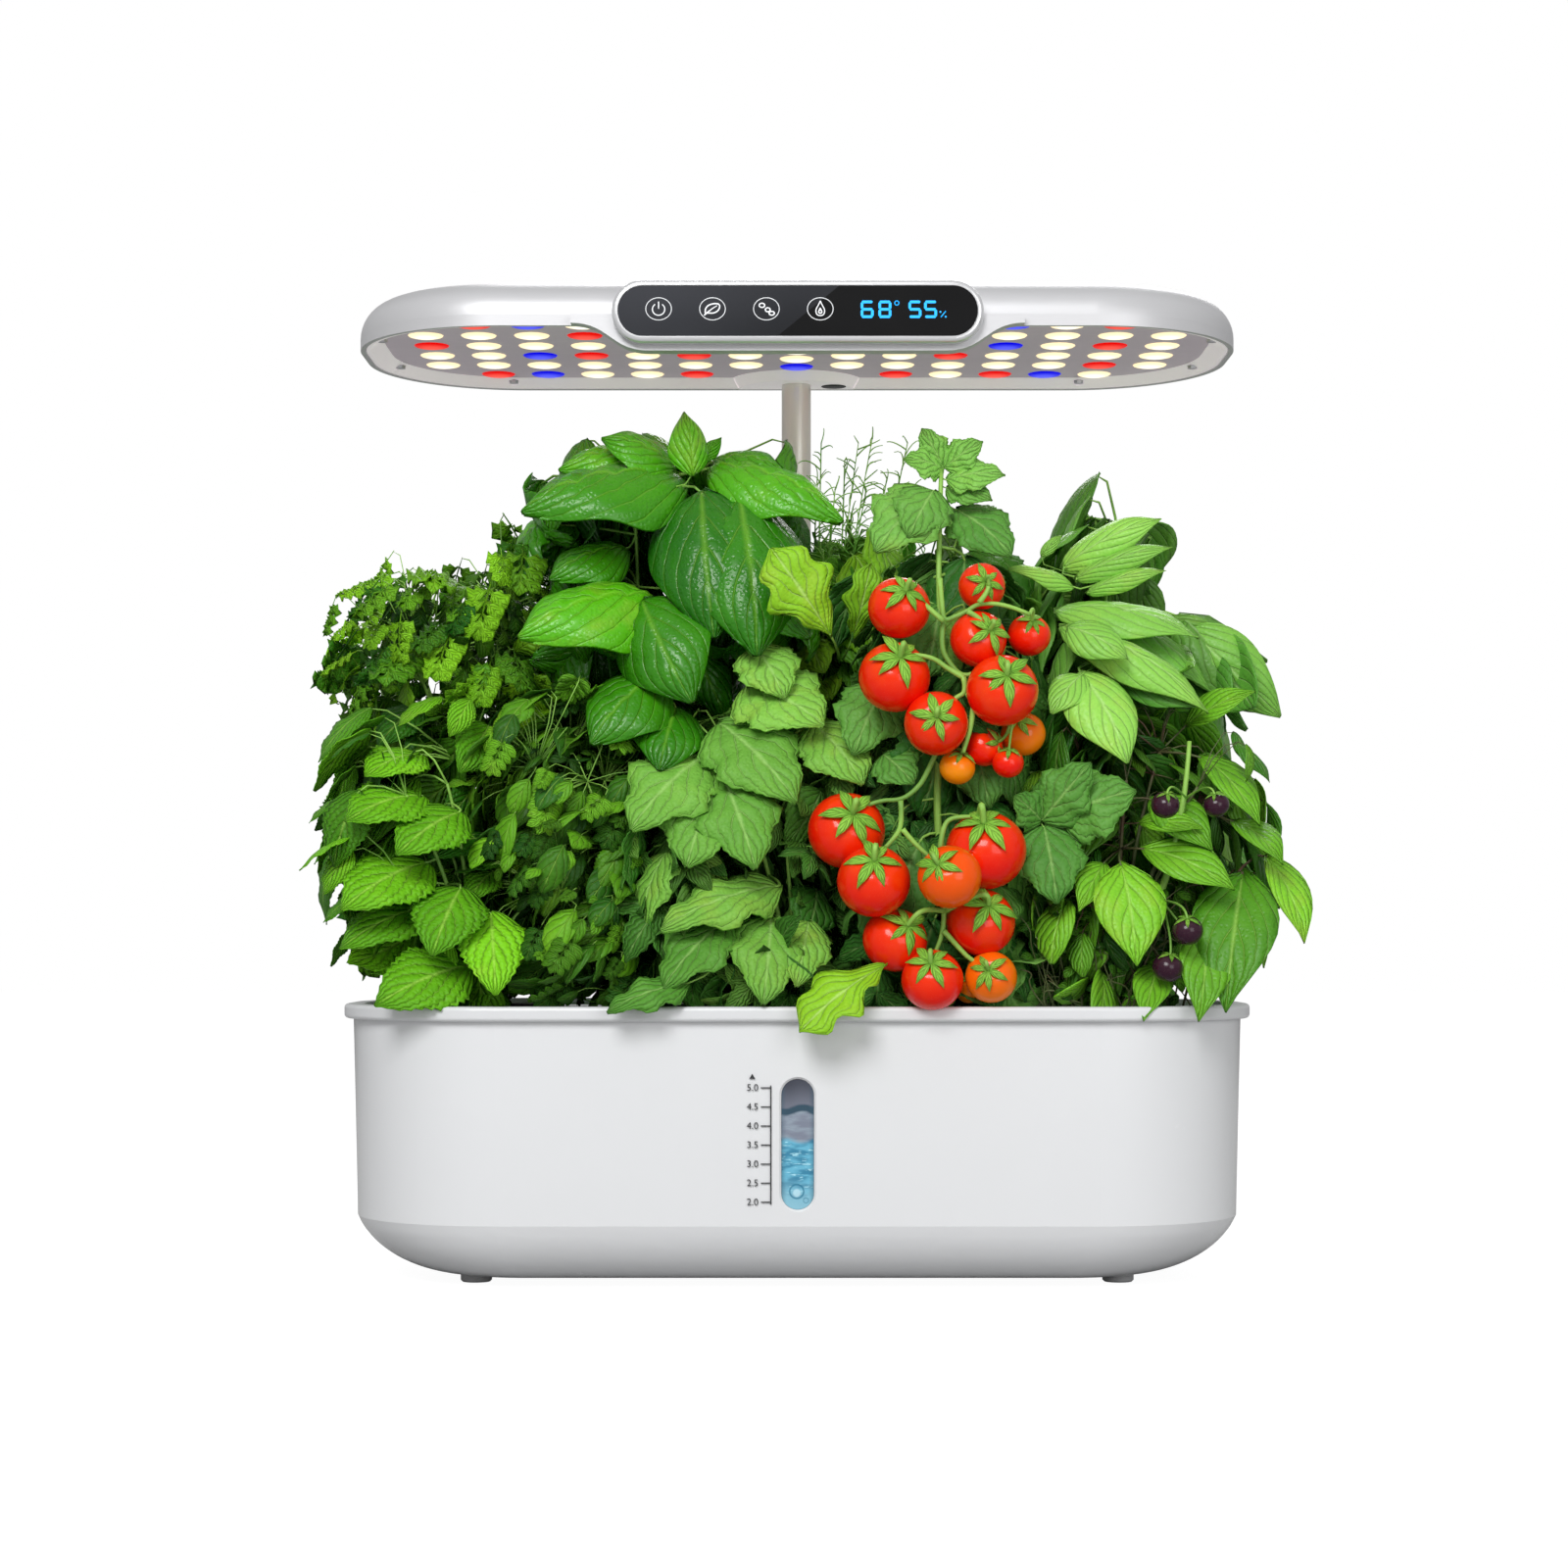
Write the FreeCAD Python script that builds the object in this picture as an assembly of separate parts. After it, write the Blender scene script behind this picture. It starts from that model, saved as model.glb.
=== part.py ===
import FreeCAD, Part
import math
import os

from FreeCAD import Vector

# Countertop hydroponic garden: a water tank, a lift-out deck with ten planted baskets,
# a telescoping mast and a grow lamp with a control panel. Sizes are in millimetres.
# The origin is on the surface it stands on, under the middle of the tank.
# +X runs to the right along the tank, -Y is the front and +Z is up.

# Rim and deck
RIM_LENGTH = 410.0
RIM_WIDTH = 175.0
RIM_BOTTOM_Z = 117.6
RIM_HEIGHT = 6.5
RIM_OVERHANG = 4.0
RIM_BAND = 9.0
RIM_ROOF = 3.4
RIM_EDGE_R = 1.8
DECK_DROP = 3.0
TRAY_CHAMFER = 1.0
DECK_THICKNESS = 2.5
RIM_GROOVE_CLEARANCE = 0.4
SKIRT_DEPTH = 6.5
SKIRT_WALL = 2.0
SKIRT_CLEARANCE = 0.6
RIB_THICKNESS = 1.6
RIB_DEPTH = 5.0
RIB_NUT_GAP = 3.0

# Tank
TANK_END_FLAT = 27.0
TANK_WALL = 2.5
TANK_LEAN = 2.0
CREASE_Z = 29.0
CURVE_INSET_END = 48.0
CURVE_INSET_SIDE = 30.0
CURVE_START_DEG = 17.0
CURVE_STEPS = 5
INNER_CURVE_STEPS = 3
BASE_END_FLAT = 40.0

# Feet
FOOT_HEIGHT = 3.5
FOOT_R = 7.0
FOOT_SEAT_DEPTH = 1.0
FOOT_CLEARANCE = 0.1
FOOT_CHAMFER = 0.8
FOOT_END_INSET = 61.4
FOOT_SIDE_INSET = 52.5

# Water window
WINDOW_WIDTH = 14.2
WINDOW_HEIGHT = 56.7
WINDOW_SILL = 7.15
WINDOW_BEVEL = 0.9
LENS_RECESS = 1.0
LENS_CLEARANCE = 0.15
LENS_FLANGE = 3.6
LENS_FLANGE_THICKNESS = 1.6
GASKET_THICKNESS = 1.0

# Planting sites
SITES_PER_ROW = 5
SITE_PITCH = 70.0
ROW_PITCH = 63.0
ROWS_TO_MAST = 69.5
BASKET_TOP_R = 16.5
BASKET_BOTTOM_R = 12.0
BASKET_DEPTH = 46.0
BASKET_WALL = 1.2
BASKET_FLANGE_R = 19.0
BASKET_FLANGE_THICKNESS = 1.5
BASKET_CLEARANCE = 0.4
BASKET_SIDES = 12
BASKET_SLOTS = 3
BASKET_SLOT_WIDTH = 4.0
BASKET_SLOT_END = 7.0
BASKET_FLOOR_HOLE_R = 6.0
SPONGE_CLEARANCE = 0.3
SPONGE_DROP = 1.0

# Mast
MAST_INSET = 21.5
MAST_OUTER_R = 9.0
MAST_TUBE_WALL = 1.2
MAST_OUTER_TOP_Z = 300.0
MAST_INNER_BOTTOM_Z = 150.0
MAST_FIT = 0.05
MAST_SOCKET_R = 12.5
MAST_SOCKET_HEIGHT = 12.0
MAST_FOOT_DROP = 8.0
MAST_NUT_R = 11.6
MAST_NUT_HEIGHT = 5.0
MAST_NUT_SIDES = 8
BUSH_WALL = 0.7
BUSH_LENGTH = 22.0
BUSH_FLANGE_R = 9.8
BUSH_FLANGE_HEIGHT = 3.0
SLIDER_LENGTH = 16.0

# Lamp hood
HOOD_LENGTH = 396.0
HOOD_WIDTH = 160.0
HOOD_END_FLAT = 24.0
HOOD_HEIGHT = 21.0
HOOD_WALL = 2.4
HOOD_TOP_R = 16.0
HOOD_MAST_INSET = 14.0
LAMP_CLEARANCE = 18.9
CHIN_WIDTH = 196.0
CHIN_FLAT_WIDTH = 128.0
CHIN_DROP = 12.0
CHIN_RISE = 4.0
CHIN_PROUD = 6.0
CHIN_LAP = 7.0
CHIN_BEND_SHARE = 0.5

# Light frame, board and lenses
LIP_INSET = 11.0
FRAME_GAP = 0.3
FRAME_EDGE = 1.0
BOARD_RECESS = 4.2
BOARD_THICKNESS = 1.6
LENS_R = 8.0
LENS_HEIGHT = 1.0
LENS_SIDES = 12
LED_END_MARGIN = 12.75
LED_SIDE_MARGIN = 1.6
SCREW_R = 1.2
SCREW_HEAD_R = 2.5
SCREW_HEAD_HEIGHT = 1.4
SCREW_LENGTH = 9.0
SCREW_POST_R = 3.2
SCREW_INSET = 8.5
SCREW_SIDES = 8
SCREW_ANGLES = (20.0, 84.0)

# Mast boss and power jack
BOSS_R = 27.5
BOSS_RAMP = 4.5
BOSS_COLLAR_R = 10.5
JACK_X = 18.0
JACK_BEHIND = 3.5
JACK_HOLE_R = 4.35
JACK_RECESS = 5.0
JACK_HEIGHT = 9.0
JACK_BORE_R = 2.8
JACK_BORE_DEPTH = 7.0
JACK_PIN_R = 1.05
JACK_FIT = 0.05

# Control panel
PANEL_LENGTH = 160.0
PANEL_HEIGHT = 27.0
PANEL_RISE = 4.0
PANEL_PROUD = 12.0
PANEL_LAP = 20.0
PANEL_EDGE_R = 2.0
GLASS_MARGIN = 2.6
GLASS_THICKNESS = 2.0
GLASS_RECESS = 0.4
GLASS_CLEARANCE = 0.2
PANEL_POCKET_MARGIN = 5.0
PANEL_POCKET_DEPTH = 9.0
TOUCH_BOARD_THICKNESS = 1.6
TOUCH_BOARD_GAP = 0.3
DISPLAY_LENGTH = 52.0
DISPLAY_HEIGHT = 12.0
DISPLAY_X = 44.0

# Circulation pump
PUMP_INSET = 80.0
PUMP_LENGTH = 36.0
PUMP_WIDTH = 38.0
PUMP_HEIGHT = 28.0
PUMP_EDGE_R = 4.0
CUP_HEIGHT = 3.0
CUP_R = 6.5
CUP_SIDES = 12
CUP_CONE_SHARE = 0.6
CUP_SPREAD_X = 10.0
CUP_SPREAD_Y = 10.0
ROTOR_R = 6.0
ROTOR_LENGTH = 20.0
ROTOR_CLEARANCE = 0.6
VOLUTE_R = 11.0
VOLUTE_DEPTH = 8.0
IMPELLER_CLEARANCE = 1.0
IMPELLER_BLADES = 6
BLADE_THICKNESS = 1.2
SHAFT_R = 1.2
SHAFT_FIT = 0.05
SHAFT_SEAT = 2.0
VOLUTE_COVER_THICKNESS = 2.5
INLET_HOLE_R = 2.5
INLET_HOLES = 4
INTAKE_DEPTH = 11.0
INTAKE_WALL = 1.5
INTAKE_SLOTS = 5
INTAKE_SLOT_WIDTH = 2.4
FILTER_GAP = 0.4
OUTLET_R = 6.0
OUTLET_BORE_R = 4.0
OUTLET_HEIGHT = 9.0
NOZZLE_WALL = 1.6
NOZZLE_REACH = 22.0
NOZZLE_FIT = 0.05

# Level sensor
SENSOR_INSET = 27.0
SENSOR_ROD_R = 3.0
SENSOR_BOTTOM_Z = 40.0
SENSOR_NUT_R = 8.0
SENSOR_NUT_HEIGHT = 3.0
SENSOR_CLIP_R = 5.5
SENSOR_CLIP_HEIGHT = 2.0
FLOAT_R = 9.0
FLOAT_HEIGHT = 14.0
FLOAT_FIT = 0.1
FLOAT_TRAVEL = 13.0

# Plants
STEM_HALF = 8.0
STEM_RISE = 5.4
PLANT_GAP = 0.3
FRUIT_SIDES = 8
FRUIT_PROFILE = ((0.55, -0.85), (1.0, -0.3), (1.0, 0.3), (0.55, 0.85))
LEAF_CORNER_SHARE = 0.3
FRUIT_SETTLED = 0.1
FRUIT_STEPS = 12

# Levels of each leafy mass above its stem: height over the deck, left and right from the
# deck's middle, and front and back from the line midway between the two rows.
MINT_LEVELS = (
    (9.0, -152.0, -129.0, -44.0, -18.0),
    (31.0, -194.0, -134.0, -72.0, -1.0),
    (74.0, -206.0, -147.0, -78.0, 0.0),
    (112.0, -204.0, -146.0, -72.0, 0.0),
    (132.0, -188.0, -154.0, -56.0, -10.0),
)
THYME_LEVELS = (
    (17.0, -124.0, -76.5, -72.0, -1.0),
    (57.0, -139.0, -76.5, -78.0, 0.0),
    (117.0, -140.0, -80.0, -70.0, 0.0),
    (137.0, -124.0, -94.0, -52.0, -14.0),
)
STRAWBERRY_LEVELS = (
    (11.0, -44.0, 4.0, -80.0, -1.0),
    (59.0, -73.0, 4.0, -88.0, 0.0),
    (104.0, -68.0, 4.0, -84.0, 0.0),
    (127.0, -50.0, -4.0, -58.0, -10.0),
)
TOMATO_PLANT_LEVELS = (
    (9.0, 24.0, 104.0, -62.0, -2.0),
    (79.0, 21.0, 106.0, -62.0, 0.0),
    (179.0, 26.0, 106.0, -62.0, -1.0),
    (224.0, 44.0, 94.0, -54.0, -10.0),
    (260.0, 54.0, 82.0, -46.0, -22.0),
)
PEPPER_PLANT_LEVELS = (
    (15.0, 110.0, 170.0, -70.0, -1.0),
    (49.0, 108.0, 214.0, -80.0, 0.0),
    (109.0, 108.0, 210.0, -80.0, 0.0),
    (133.0, 118.0, 180.0, -60.0, -6.0),
)
PARSLEY_LEVELS = (
    (11.0, -156.0, -120.0, 8.0, 56.0),
    (54.0, -206.0, -110.0, 4.0, 100.0),
    (124.0, -214.0, -108.0, 4.0, 112.0),
    (138.0, -214.0, -108.0, 4.0, 110.0),
    (152.0, -212.0, -110.0, -44.0, 106.0),
    (179.0, -206.0, -112.0, -42.0, 98.0),
    (212.0, -178.0, -128.0, -16.0, 70.0),
)
BASIL_LEVELS = (
    (13.0, -92.0, -48.0, 8.0, 56.0),
    (54.0, -106.0, -22.0, 4.0, 96.0),
    (141.0, -106.0, -20.0, 4.0, 119.0),
    (158.0, -106.0, -16.0, -46.0, 56.0),
    (190.0, -110.0, 8.0, -52.0, 56.0),
    (224.0, -126.0, 10.0, -48.0, 54.0),
    (255.0, -96.0, 0.0, -34.0, 44.0),
    (279.0, -66.0, -30.0, -10.0, 22.0),
)
LETTUCE_LEVELS = (
    (13.0, -12.0, 26.0, 8.0, 54.0),
    (54.0, -16.0, 40.0, 4.0, 58.0),
    (145.0, -14.0, 40.0, 4.0, 58.0),
    (168.0, 14.0, 41.0, 4.0, 56.0),
    (209.0, 14.0, 41.0, 4.0, 54.0),
    (265.0, 20.0, 38.0, 16.0, 44.0),
)
ROCKET_LEVELS = (
    (13.0, 52.0, 92.0, 8.0, 56.0),
    (54.0, 42.0, 106.0, 4.0, 96.0),
    (159.0, 42.0, 106.0, 4.0, 110.0),
    (217.0, 56.0, 96.0, 16.0, 70.0),
)
BROAD_BASIL_LEVELS = (
    (13.0, 118.0, 164.0, 8.0, 56.0),
    (54.0, 108.0, 206.0, 4.0, 100.0),
    (119.0, 108.0, 218.0, 4.0, 116.0),
    (136.0, 108.0, 216.0, 4.0, 112.0),
    (150.0, 108.0, 212.0, -44.0, 104.0),
    (189.0, 108.0, 200.0, -50.0, 94.0),
    (218.0, 116.0, 184.0, -34.0, 78.0),
    (238.0, 132.0, 168.0, -8.0, 46.0),
)

# Fruit, from those nearest the plant outwards: sideways place, height over the deck, radius.
TOMATOES = (
    (44.0, 175.8, 13.2),
    (80.1, 185.5, 9.9),
    (78.4, 162.4, 12.0),
    (101.5, 165.3, 9.2),
    (41.9, 145.6, 15.1),
    (81.0, 115.8, 8.4),
    (98.6, 121.7, 9.6),
    (91.0, 108.4, 6.7),
    (69.2, 106.6, 7.6),
    (88.1, 139.3, 15.1),
    (59.6, 125.1, 13.4),
    (21.4, 79.4, 16.4),
    (81.4, 70.5, 17.0),
    (79.3, 39.5, 14.5),
    (42.2, 31.9, 13.7),
    (74.7, 9.9, 5.9),
    (32.7, 57.1, 15.4),
    (64.6, 58.8, 13.3),
    (83.5, 15.8, 10.9),
    (57.9, 14.7, 13.0),
)
PEPPERS = (
    (158.0, 89.9, 6.0),
    (180.0, 89.9, 5.5),
    (168.0, 35.9, 6.5),
    (160.0, 19.9, 6.5),
    (176.0, 17.9, 5.5),
)

# Heights and sizes that follow from the ones above
RIM_TOP_Z = RIM_BOTTOM_Z + RIM_HEIGHT
FOOT_X = RIM_LENGTH / 2 - FOOT_END_INSET
FOOT_Y = RIM_WIDTH / 2 - FOOT_SIDE_INSET
WINDOW_Z = CREASE_Z + WINDOW_SILL + WINDOW_HEIGHT / 2
TANK_TOP_Z = RIM_TOP_Z - RIM_ROOF
TANK_LENGTH = RIM_LENGTH - 2 * RIM_OVERHANG
TANK_WIDTH = RIM_WIDTH - 2 * RIM_OVERHANG
BASE_Z = FOOT_HEIGHT
FLOOR_Z = BASE_Z + TANK_WALL
DECK_TOP_Z = RIM_TOP_Z - DECK_DROP
DECK_BOTTOM_Z = DECK_TOP_Z - DECK_THICKNESS
MAST_Y = RIM_WIDTH / 2 - MAST_INSET
MAST_INNER_R = MAST_OUTER_R - MAST_TUBE_WALL - BUSH_WALL - 2 * MAST_FIT
ROWS_MIDDLE_Y = MAST_Y - ROWS_TO_MAST
FRONT_ROW_Y = ROWS_MIDDLE_Y - ROW_PITCH / 2
REAR_ROW_Y = ROWS_MIDDLE_Y + ROW_PITCH / 2
SENSOR_X = SENSOR_INSET - RIM_LENGTH / 2
TALLEST_PLANT_Z = DECK_TOP_Z + BASIL_LEVELS[-1][0]
HOOD_BOTTOM_Z = TALLEST_PLANT_Z + LAMP_CLEARANCE
HOOD_TOP_Z = HOOD_BOTTOM_Z + HOOD_HEIGHT
HOOD_FRONT_Y = -HOOD_WIDTH / 2
HOOD_BACK_Y = HOOD_WIDTH / 2
HOOD_MAST_Y = HOOD_BACK_Y - HOOD_MAST_INSET
CHIN_FRONT_Y = HOOD_FRONT_Y - CHIN_PROUD
CHIN_BACK_Y = HOOD_FRONT_Y + CHIN_LAP
PANEL_Z = HOOD_BOTTOM_Z + PANEL_RISE
PANEL_FRONT_Y = HOOD_FRONT_Y - PANEL_PROUD
PANEL_BACK_Y = HOOD_FRONT_Y + PANEL_LAP
JACK_Y = HOOD_MAST_Y + JACK_BEHIND
BOARD_Z = HOOD_BOTTOM_Z + BOARD_RECESS
PUMP_X = RIM_LENGTH / 2 - PUMP_INSET
PUMP_BASE_Z = FLOOR_Z + CUP_HEIGHT
PUMP_AXIS_Z = PUMP_BASE_Z + PUMP_HEIGHT / 2
PUMP_FRONT_X = PUMP_X + PUMP_LENGTH / 2
IMPELLER_R = VOLUTE_R - IMPELLER_CLEARANCE
UP = Vector(0, 0, 1)

# Colours of the grow lights, front row first, as seen from the front: white, red, blue.
LED_ROWS = (
    ".RBWWWWWWWWBWR.",
    "WWWRWWWWWWWWWWW",
    "RWWWWWWWWWWBWRW",
    "WWBRWRWWWWRWWWW",
    "WWWWWWWWWWWWWRW",
    ".RBWWR.B.RWRBW.",
)


# Shared shapes


def save(name, *solids):
    """Write one node, as a single solid or a group of separate solids."""
    shape = solids[0] if len(solids) == 1 else Part.makeCompound(list(solids))
    shape.exportStep("parts/" + name + ".step")


def oblong(length, width, end_flat, z):
    """Level outline of an oblong with equal round corners and short straight ends."""
    radius = (width - end_flat) / 2
    x = length / 2 - radius
    y = end_flat / 2
    arcs = []
    for cx, cy, start in ((x, y, 0), (-x, y, 90), (-x, -y, 180), (x, -y, 270)):
        arcs.append(Part.makeCircle(radius, Vector(cx, cy, z), UP, start, start + 90))
    edges = []
    for arc, following in zip(arcs, arcs[1:] + arcs[:1]):
        edges.append(arc)
        edges.append(Part.makeLine(arc.lastVertex().Point, following.firstVertex().Point))
    return Part.Wire(edges)


def slab(length, width, end_flat, z_low, z_high):
    """Upright solid on an oblong outline."""
    face = Part.Face(oblong(length, width, end_flat, z_low))
    return face.extrude(Vector(0, 0, z_high - z_low))


def cylinder(radius, x, y, z_low, z_high):
    """Upright cylinder between two heights."""
    return Part.makeCylinder(radius, z_high - z_low, Vector(x, y, z_low))


def cylinder_x(radius, y, z, x_low, x_high):
    """Cylinder lying along X between two places."""
    return Part.makeCylinder(radius, x_high - x_low, Vector(x_low, y, z), Vector(1, 0, 0))


def block(x_low, x_high, y_low, y_high, z_low, z_high):
    """Square-edged solid between two corners."""
    return Part.makeBox(x_high - x_low, y_high - y_low, z_high - z_low, Vector(x_low, y_low, z_low))


def turned(profile, x, y):
    """Solid turned about an upright axis from radius and height pairs."""
    points = [Vector(radius, 0, z) for radius, z in profile]
    face = Part.Face(Part.makePolygon(points + points[:1]))
    solid = face.revolve(Vector(0, 0, 0), UP, 360)
    solid.translate(Vector(x, y, 0))
    return solid


def pill(size_x, size_z, x, z, y_front, y_back):
    """Pill-shaped solid that runs from front to back."""
    radius = min(size_x, size_z) / 2
    dx = size_x / 2 - radius
    dz = size_z / 2 - radius
    if dx > dz:
        end = [(dx, -radius), (dx + radius, 0), (dx, radius)]
    else:
        end = [(radius, dz), (0, dz + radius), (-radius, dz)]
    near = [Vector(x + across, y_front, z + rise) for across, rise in end]
    far = [Vector(x - across, y_front, z - rise) for across, rise in end]
    edges = [
        Part.Arc(*near).toShape(),
        Part.makeLine(near[2], far[0]),
        Part.Arc(*far).toShape(),
        Part.makeLine(far[2], near[0]),
    ]
    return Part.Face(Part.Wire(edges)).extrude(Vector(0, y_back - y_front, 0))


def edges_at(solid, z, least=0.0):
    """Edges that lie level at a height and reach at least as far out as given."""
    found = []
    for edge in solid.Edges:
        box = edge.BoundBox
        level = abs(box.ZMin - z) < 1e-3 and abs(box.ZMax - z) < 1e-3
        reach = max(abs(box.XMin), abs(box.XMax), abs(box.YMin), abs(box.YMax))
        if level and reach >= least:
            found.append(edge)
    return found


def around(count, angle_start=0.0):
    """Evenly spaced angles of a full turn, in degrees."""
    return [angle_start + 360.0 * step / count for step in range(count)]


def ring(x, y, z, radius, sides):
    """Corners of a level many-sided ring, with a flat side towards each axis."""
    corners = []
    for angle in around(sides, 180.0 / sides):
        turn = math.radians(angle)
        corners.append(Vector(x + radius * math.cos(turn), y + radius * math.sin(turn), z))
    return corners


def facets(rings):
    """Flat-sided solid through level rings of corners, lowest first."""
    faces = [Part.Face(Part.makePolygon(end + end[:1])) for end in (rings[0], rings[-1])]
    for low, high in zip(rings, rings[1:]):
        for step in range(len(low)):
            corners = [low[step - 1], low[step], high[step], high[step - 1]]
            faces.append(Part.Face(Part.makePolygon(corners + corners[:1])))
    solid = Part.makeSolid(Part.makeShell(faces))
    return solid if solid.Volume > 0 else solid.reversed()


def cornered(profile, sides):
    """Flat-sided ring about the upright axis from a closed run of radius and height pairs."""
    rings = [ring(0, 0, z, radius, sides) for radius, z in profile]
    faces = []
    for low, high in zip(rings, rings[1:] + rings[:1]):
        for step in range(sides):
            corners = [low[step - 1], low[step], high[step], high[step - 1]]
            faces.append(Part.Face(Part.makePolygon(corners + corners[:1])))
    solid = Part.makeSolid(Part.makeShell(faces))
    return solid if solid.Volume > 0 else solid.reversed()


# Tank


def tank_form(offset, bottom_z, top_z, steps, ruled):
    """Solid inside the tank's outer surface, drawn in by an offset.

    The wall leans in a little down to a soft crease, and below it an elliptical
    curve carries it in to the flat base, further at the ends than at the sides.
    The curve takes a number of steps, joined smoothly or by ruled bands.
    """
    start = math.radians(CURVE_START_DEG)
    depth = (CREASE_Z - bottom_z) / (1 - math.sin(start))
    curve = []
    for step in range(steps, -1, -1):
        angle = start + (math.pi / 2 - start) * step / steps
        share = 1 - math.cos(angle) / math.cos(start)
        z = CREASE_Z - depth * (math.sin(angle) - math.sin(start))
        curve.append(tank_outline(offset, TANK_LEAN, share, z))
    lower = Part.makeLoft(curve, True, ruled)
    lean = TANK_LEAN * (TANK_TOP_Z - top_z) / (TANK_TOP_Z - CREASE_Z)
    wall = Part.makeLoft([curve[-1], tank_outline(offset, lean, 0, top_z)], True, True)
    return lower.fuse(wall)


def tank_outline(offset, lean, share, z):
    """Outline of the tank at one height, a share of the way along its bottom curve."""
    length = TANK_LENGTH - 2 * (offset + lean + CURVE_INSET_END * share)
    width = TANK_WIDTH - 2 * (offset + lean + CURVE_INSET_SIDE * share)
    end_flat = TANK_END_FLAT + (BASE_END_FLAT - TANK_END_FLAT) * share
    return oblong(length, width, end_flat, z)


def on_front_wall(solid):
    """Carry a solid drawn at the origin, facing -Y, to the window's place on the wall."""
    run = TANK_TOP_Z - CREASE_Z
    lean = math.degrees(math.atan2(TANK_LEAN, run))
    y = -TANK_WIDTH / 2 + TANK_LEAN * (TANK_TOP_Z - WINDOW_Z) / run
    placed = solid.copy()
    placed.rotate(Vector(0, 0, 0), Vector(1, 0, 0), lean)
    placed.translate(Vector(0, y, WINDOW_Z))
    return placed


def window_opening():
    """Pill-shaped hole through the front wall with a bevelled outer edge."""
    hole = pill(WINDOW_WIDTH, WINDOW_HEIGHT, 0, 0, -TANK_WALL, 2 * TANK_WALL)
    wide = WINDOW_WIDTH + 4 * WINDOW_BEVEL
    tall = WINDOW_HEIGHT + 4 * WINDOW_BEVEL
    mouth = pill(wide, tall, 0, 0, -WINDOW_BEVEL, -WINDOW_BEVEL / 2).Faces
    throat = pill(WINDOW_WIDTH, WINDOW_HEIGHT, 0, 0, WINDOW_BEVEL, TANK_WALL).Faces
    outer = max(mouth, key=lambda face: -face.CenterOfMass.y).OuterWire
    inner = min(throat, key=lambda face: face.CenterOfMass.y).OuterWire
    bevel = Part.makeLoft([outer, inner], True, True)
    return on_front_wall(hole.fuse(bevel))


def window_lens():
    """Clear pane that stands in the opening on a flange behind the wall."""
    pane = pill(
        WINDOW_WIDTH - 2 * LENS_CLEARANCE,
        WINDOW_HEIGHT - 2 * LENS_CLEARANCE,
        0,
        0,
        LENS_RECESS,
        TANK_WALL + GASKET_THICKNESS,
    )
    back = TANK_WALL + GASKET_THICKNESS
    wide = WINDOW_WIDTH + 2 * LENS_FLANGE
    tall = WINDOW_HEIGHT + 2 * LENS_FLANGE
    flange = pill(wide, tall, 0, 0, back, back + LENS_FLANGE_THICKNESS)
    return on_front_wall(pane.fuse(flange))


def window_gasket():
    """Flat ring between the pane's flange and the wall."""
    wide = WINDOW_WIDTH + 2 * LENS_FLANGE
    tall = WINDOW_HEIGHT + 2 * LENS_FLANGE
    ring = pill(wide, tall, 0, 0, TANK_WALL, TANK_WALL + GASKET_THICKNESS)
    hole = pill(WINDOW_WIDTH, WINDOW_HEIGHT, 0, 0, 0, 2 * TANK_WALL)
    return on_front_wall(ring.cut(hole))


def foot_places():
    """Middles of the four feet."""
    return [(x, y) for x in (-FOOT_X, FOOT_X) for y in (-FOOT_Y, FOOT_Y)]


def tank_shell():
    """Moulded tub with a window opening and a shallow seat for each foot."""
    shell = tank_form(0, BASE_Z, TANK_TOP_Z, CURVE_STEPS, False)
    hollow = tank_form(TANK_WALL, FLOOR_Z, TANK_TOP_Z + TANK_WALL, INNER_CURVE_STEPS, True)
    shell = shell.cut(hollow)
    shell = shell.cut(window_opening())
    for x, y in foot_places():
        seat = cylinder(FOOT_R + FOOT_CLEARANCE, x, y, 0, BASE_Z + FOOT_SEAT_DEPTH)
        shell = shell.cut(seat)
    return shell


def foot(x, y):
    """Round rubber foot with a chamfered tread."""
    solid = cylinder(FOOT_R, x, y, 0, BASE_Z + FOOT_SEAT_DEPTH)
    return solid.makeChamfer(FOOT_CHAMFER, edges_at(solid, 0))


# Deck


def site_places():
    """Middles of the planting sites, front row first, left to right."""
    first = -SITE_PITCH * (SITES_PER_ROW - 1) / 2
    places = []
    for y in (FRONT_ROW_Y, REAR_ROW_Y):
        places += [(first + SITE_PITCH * step, y) for step in range(SITES_PER_ROW)]
    return places


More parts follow.
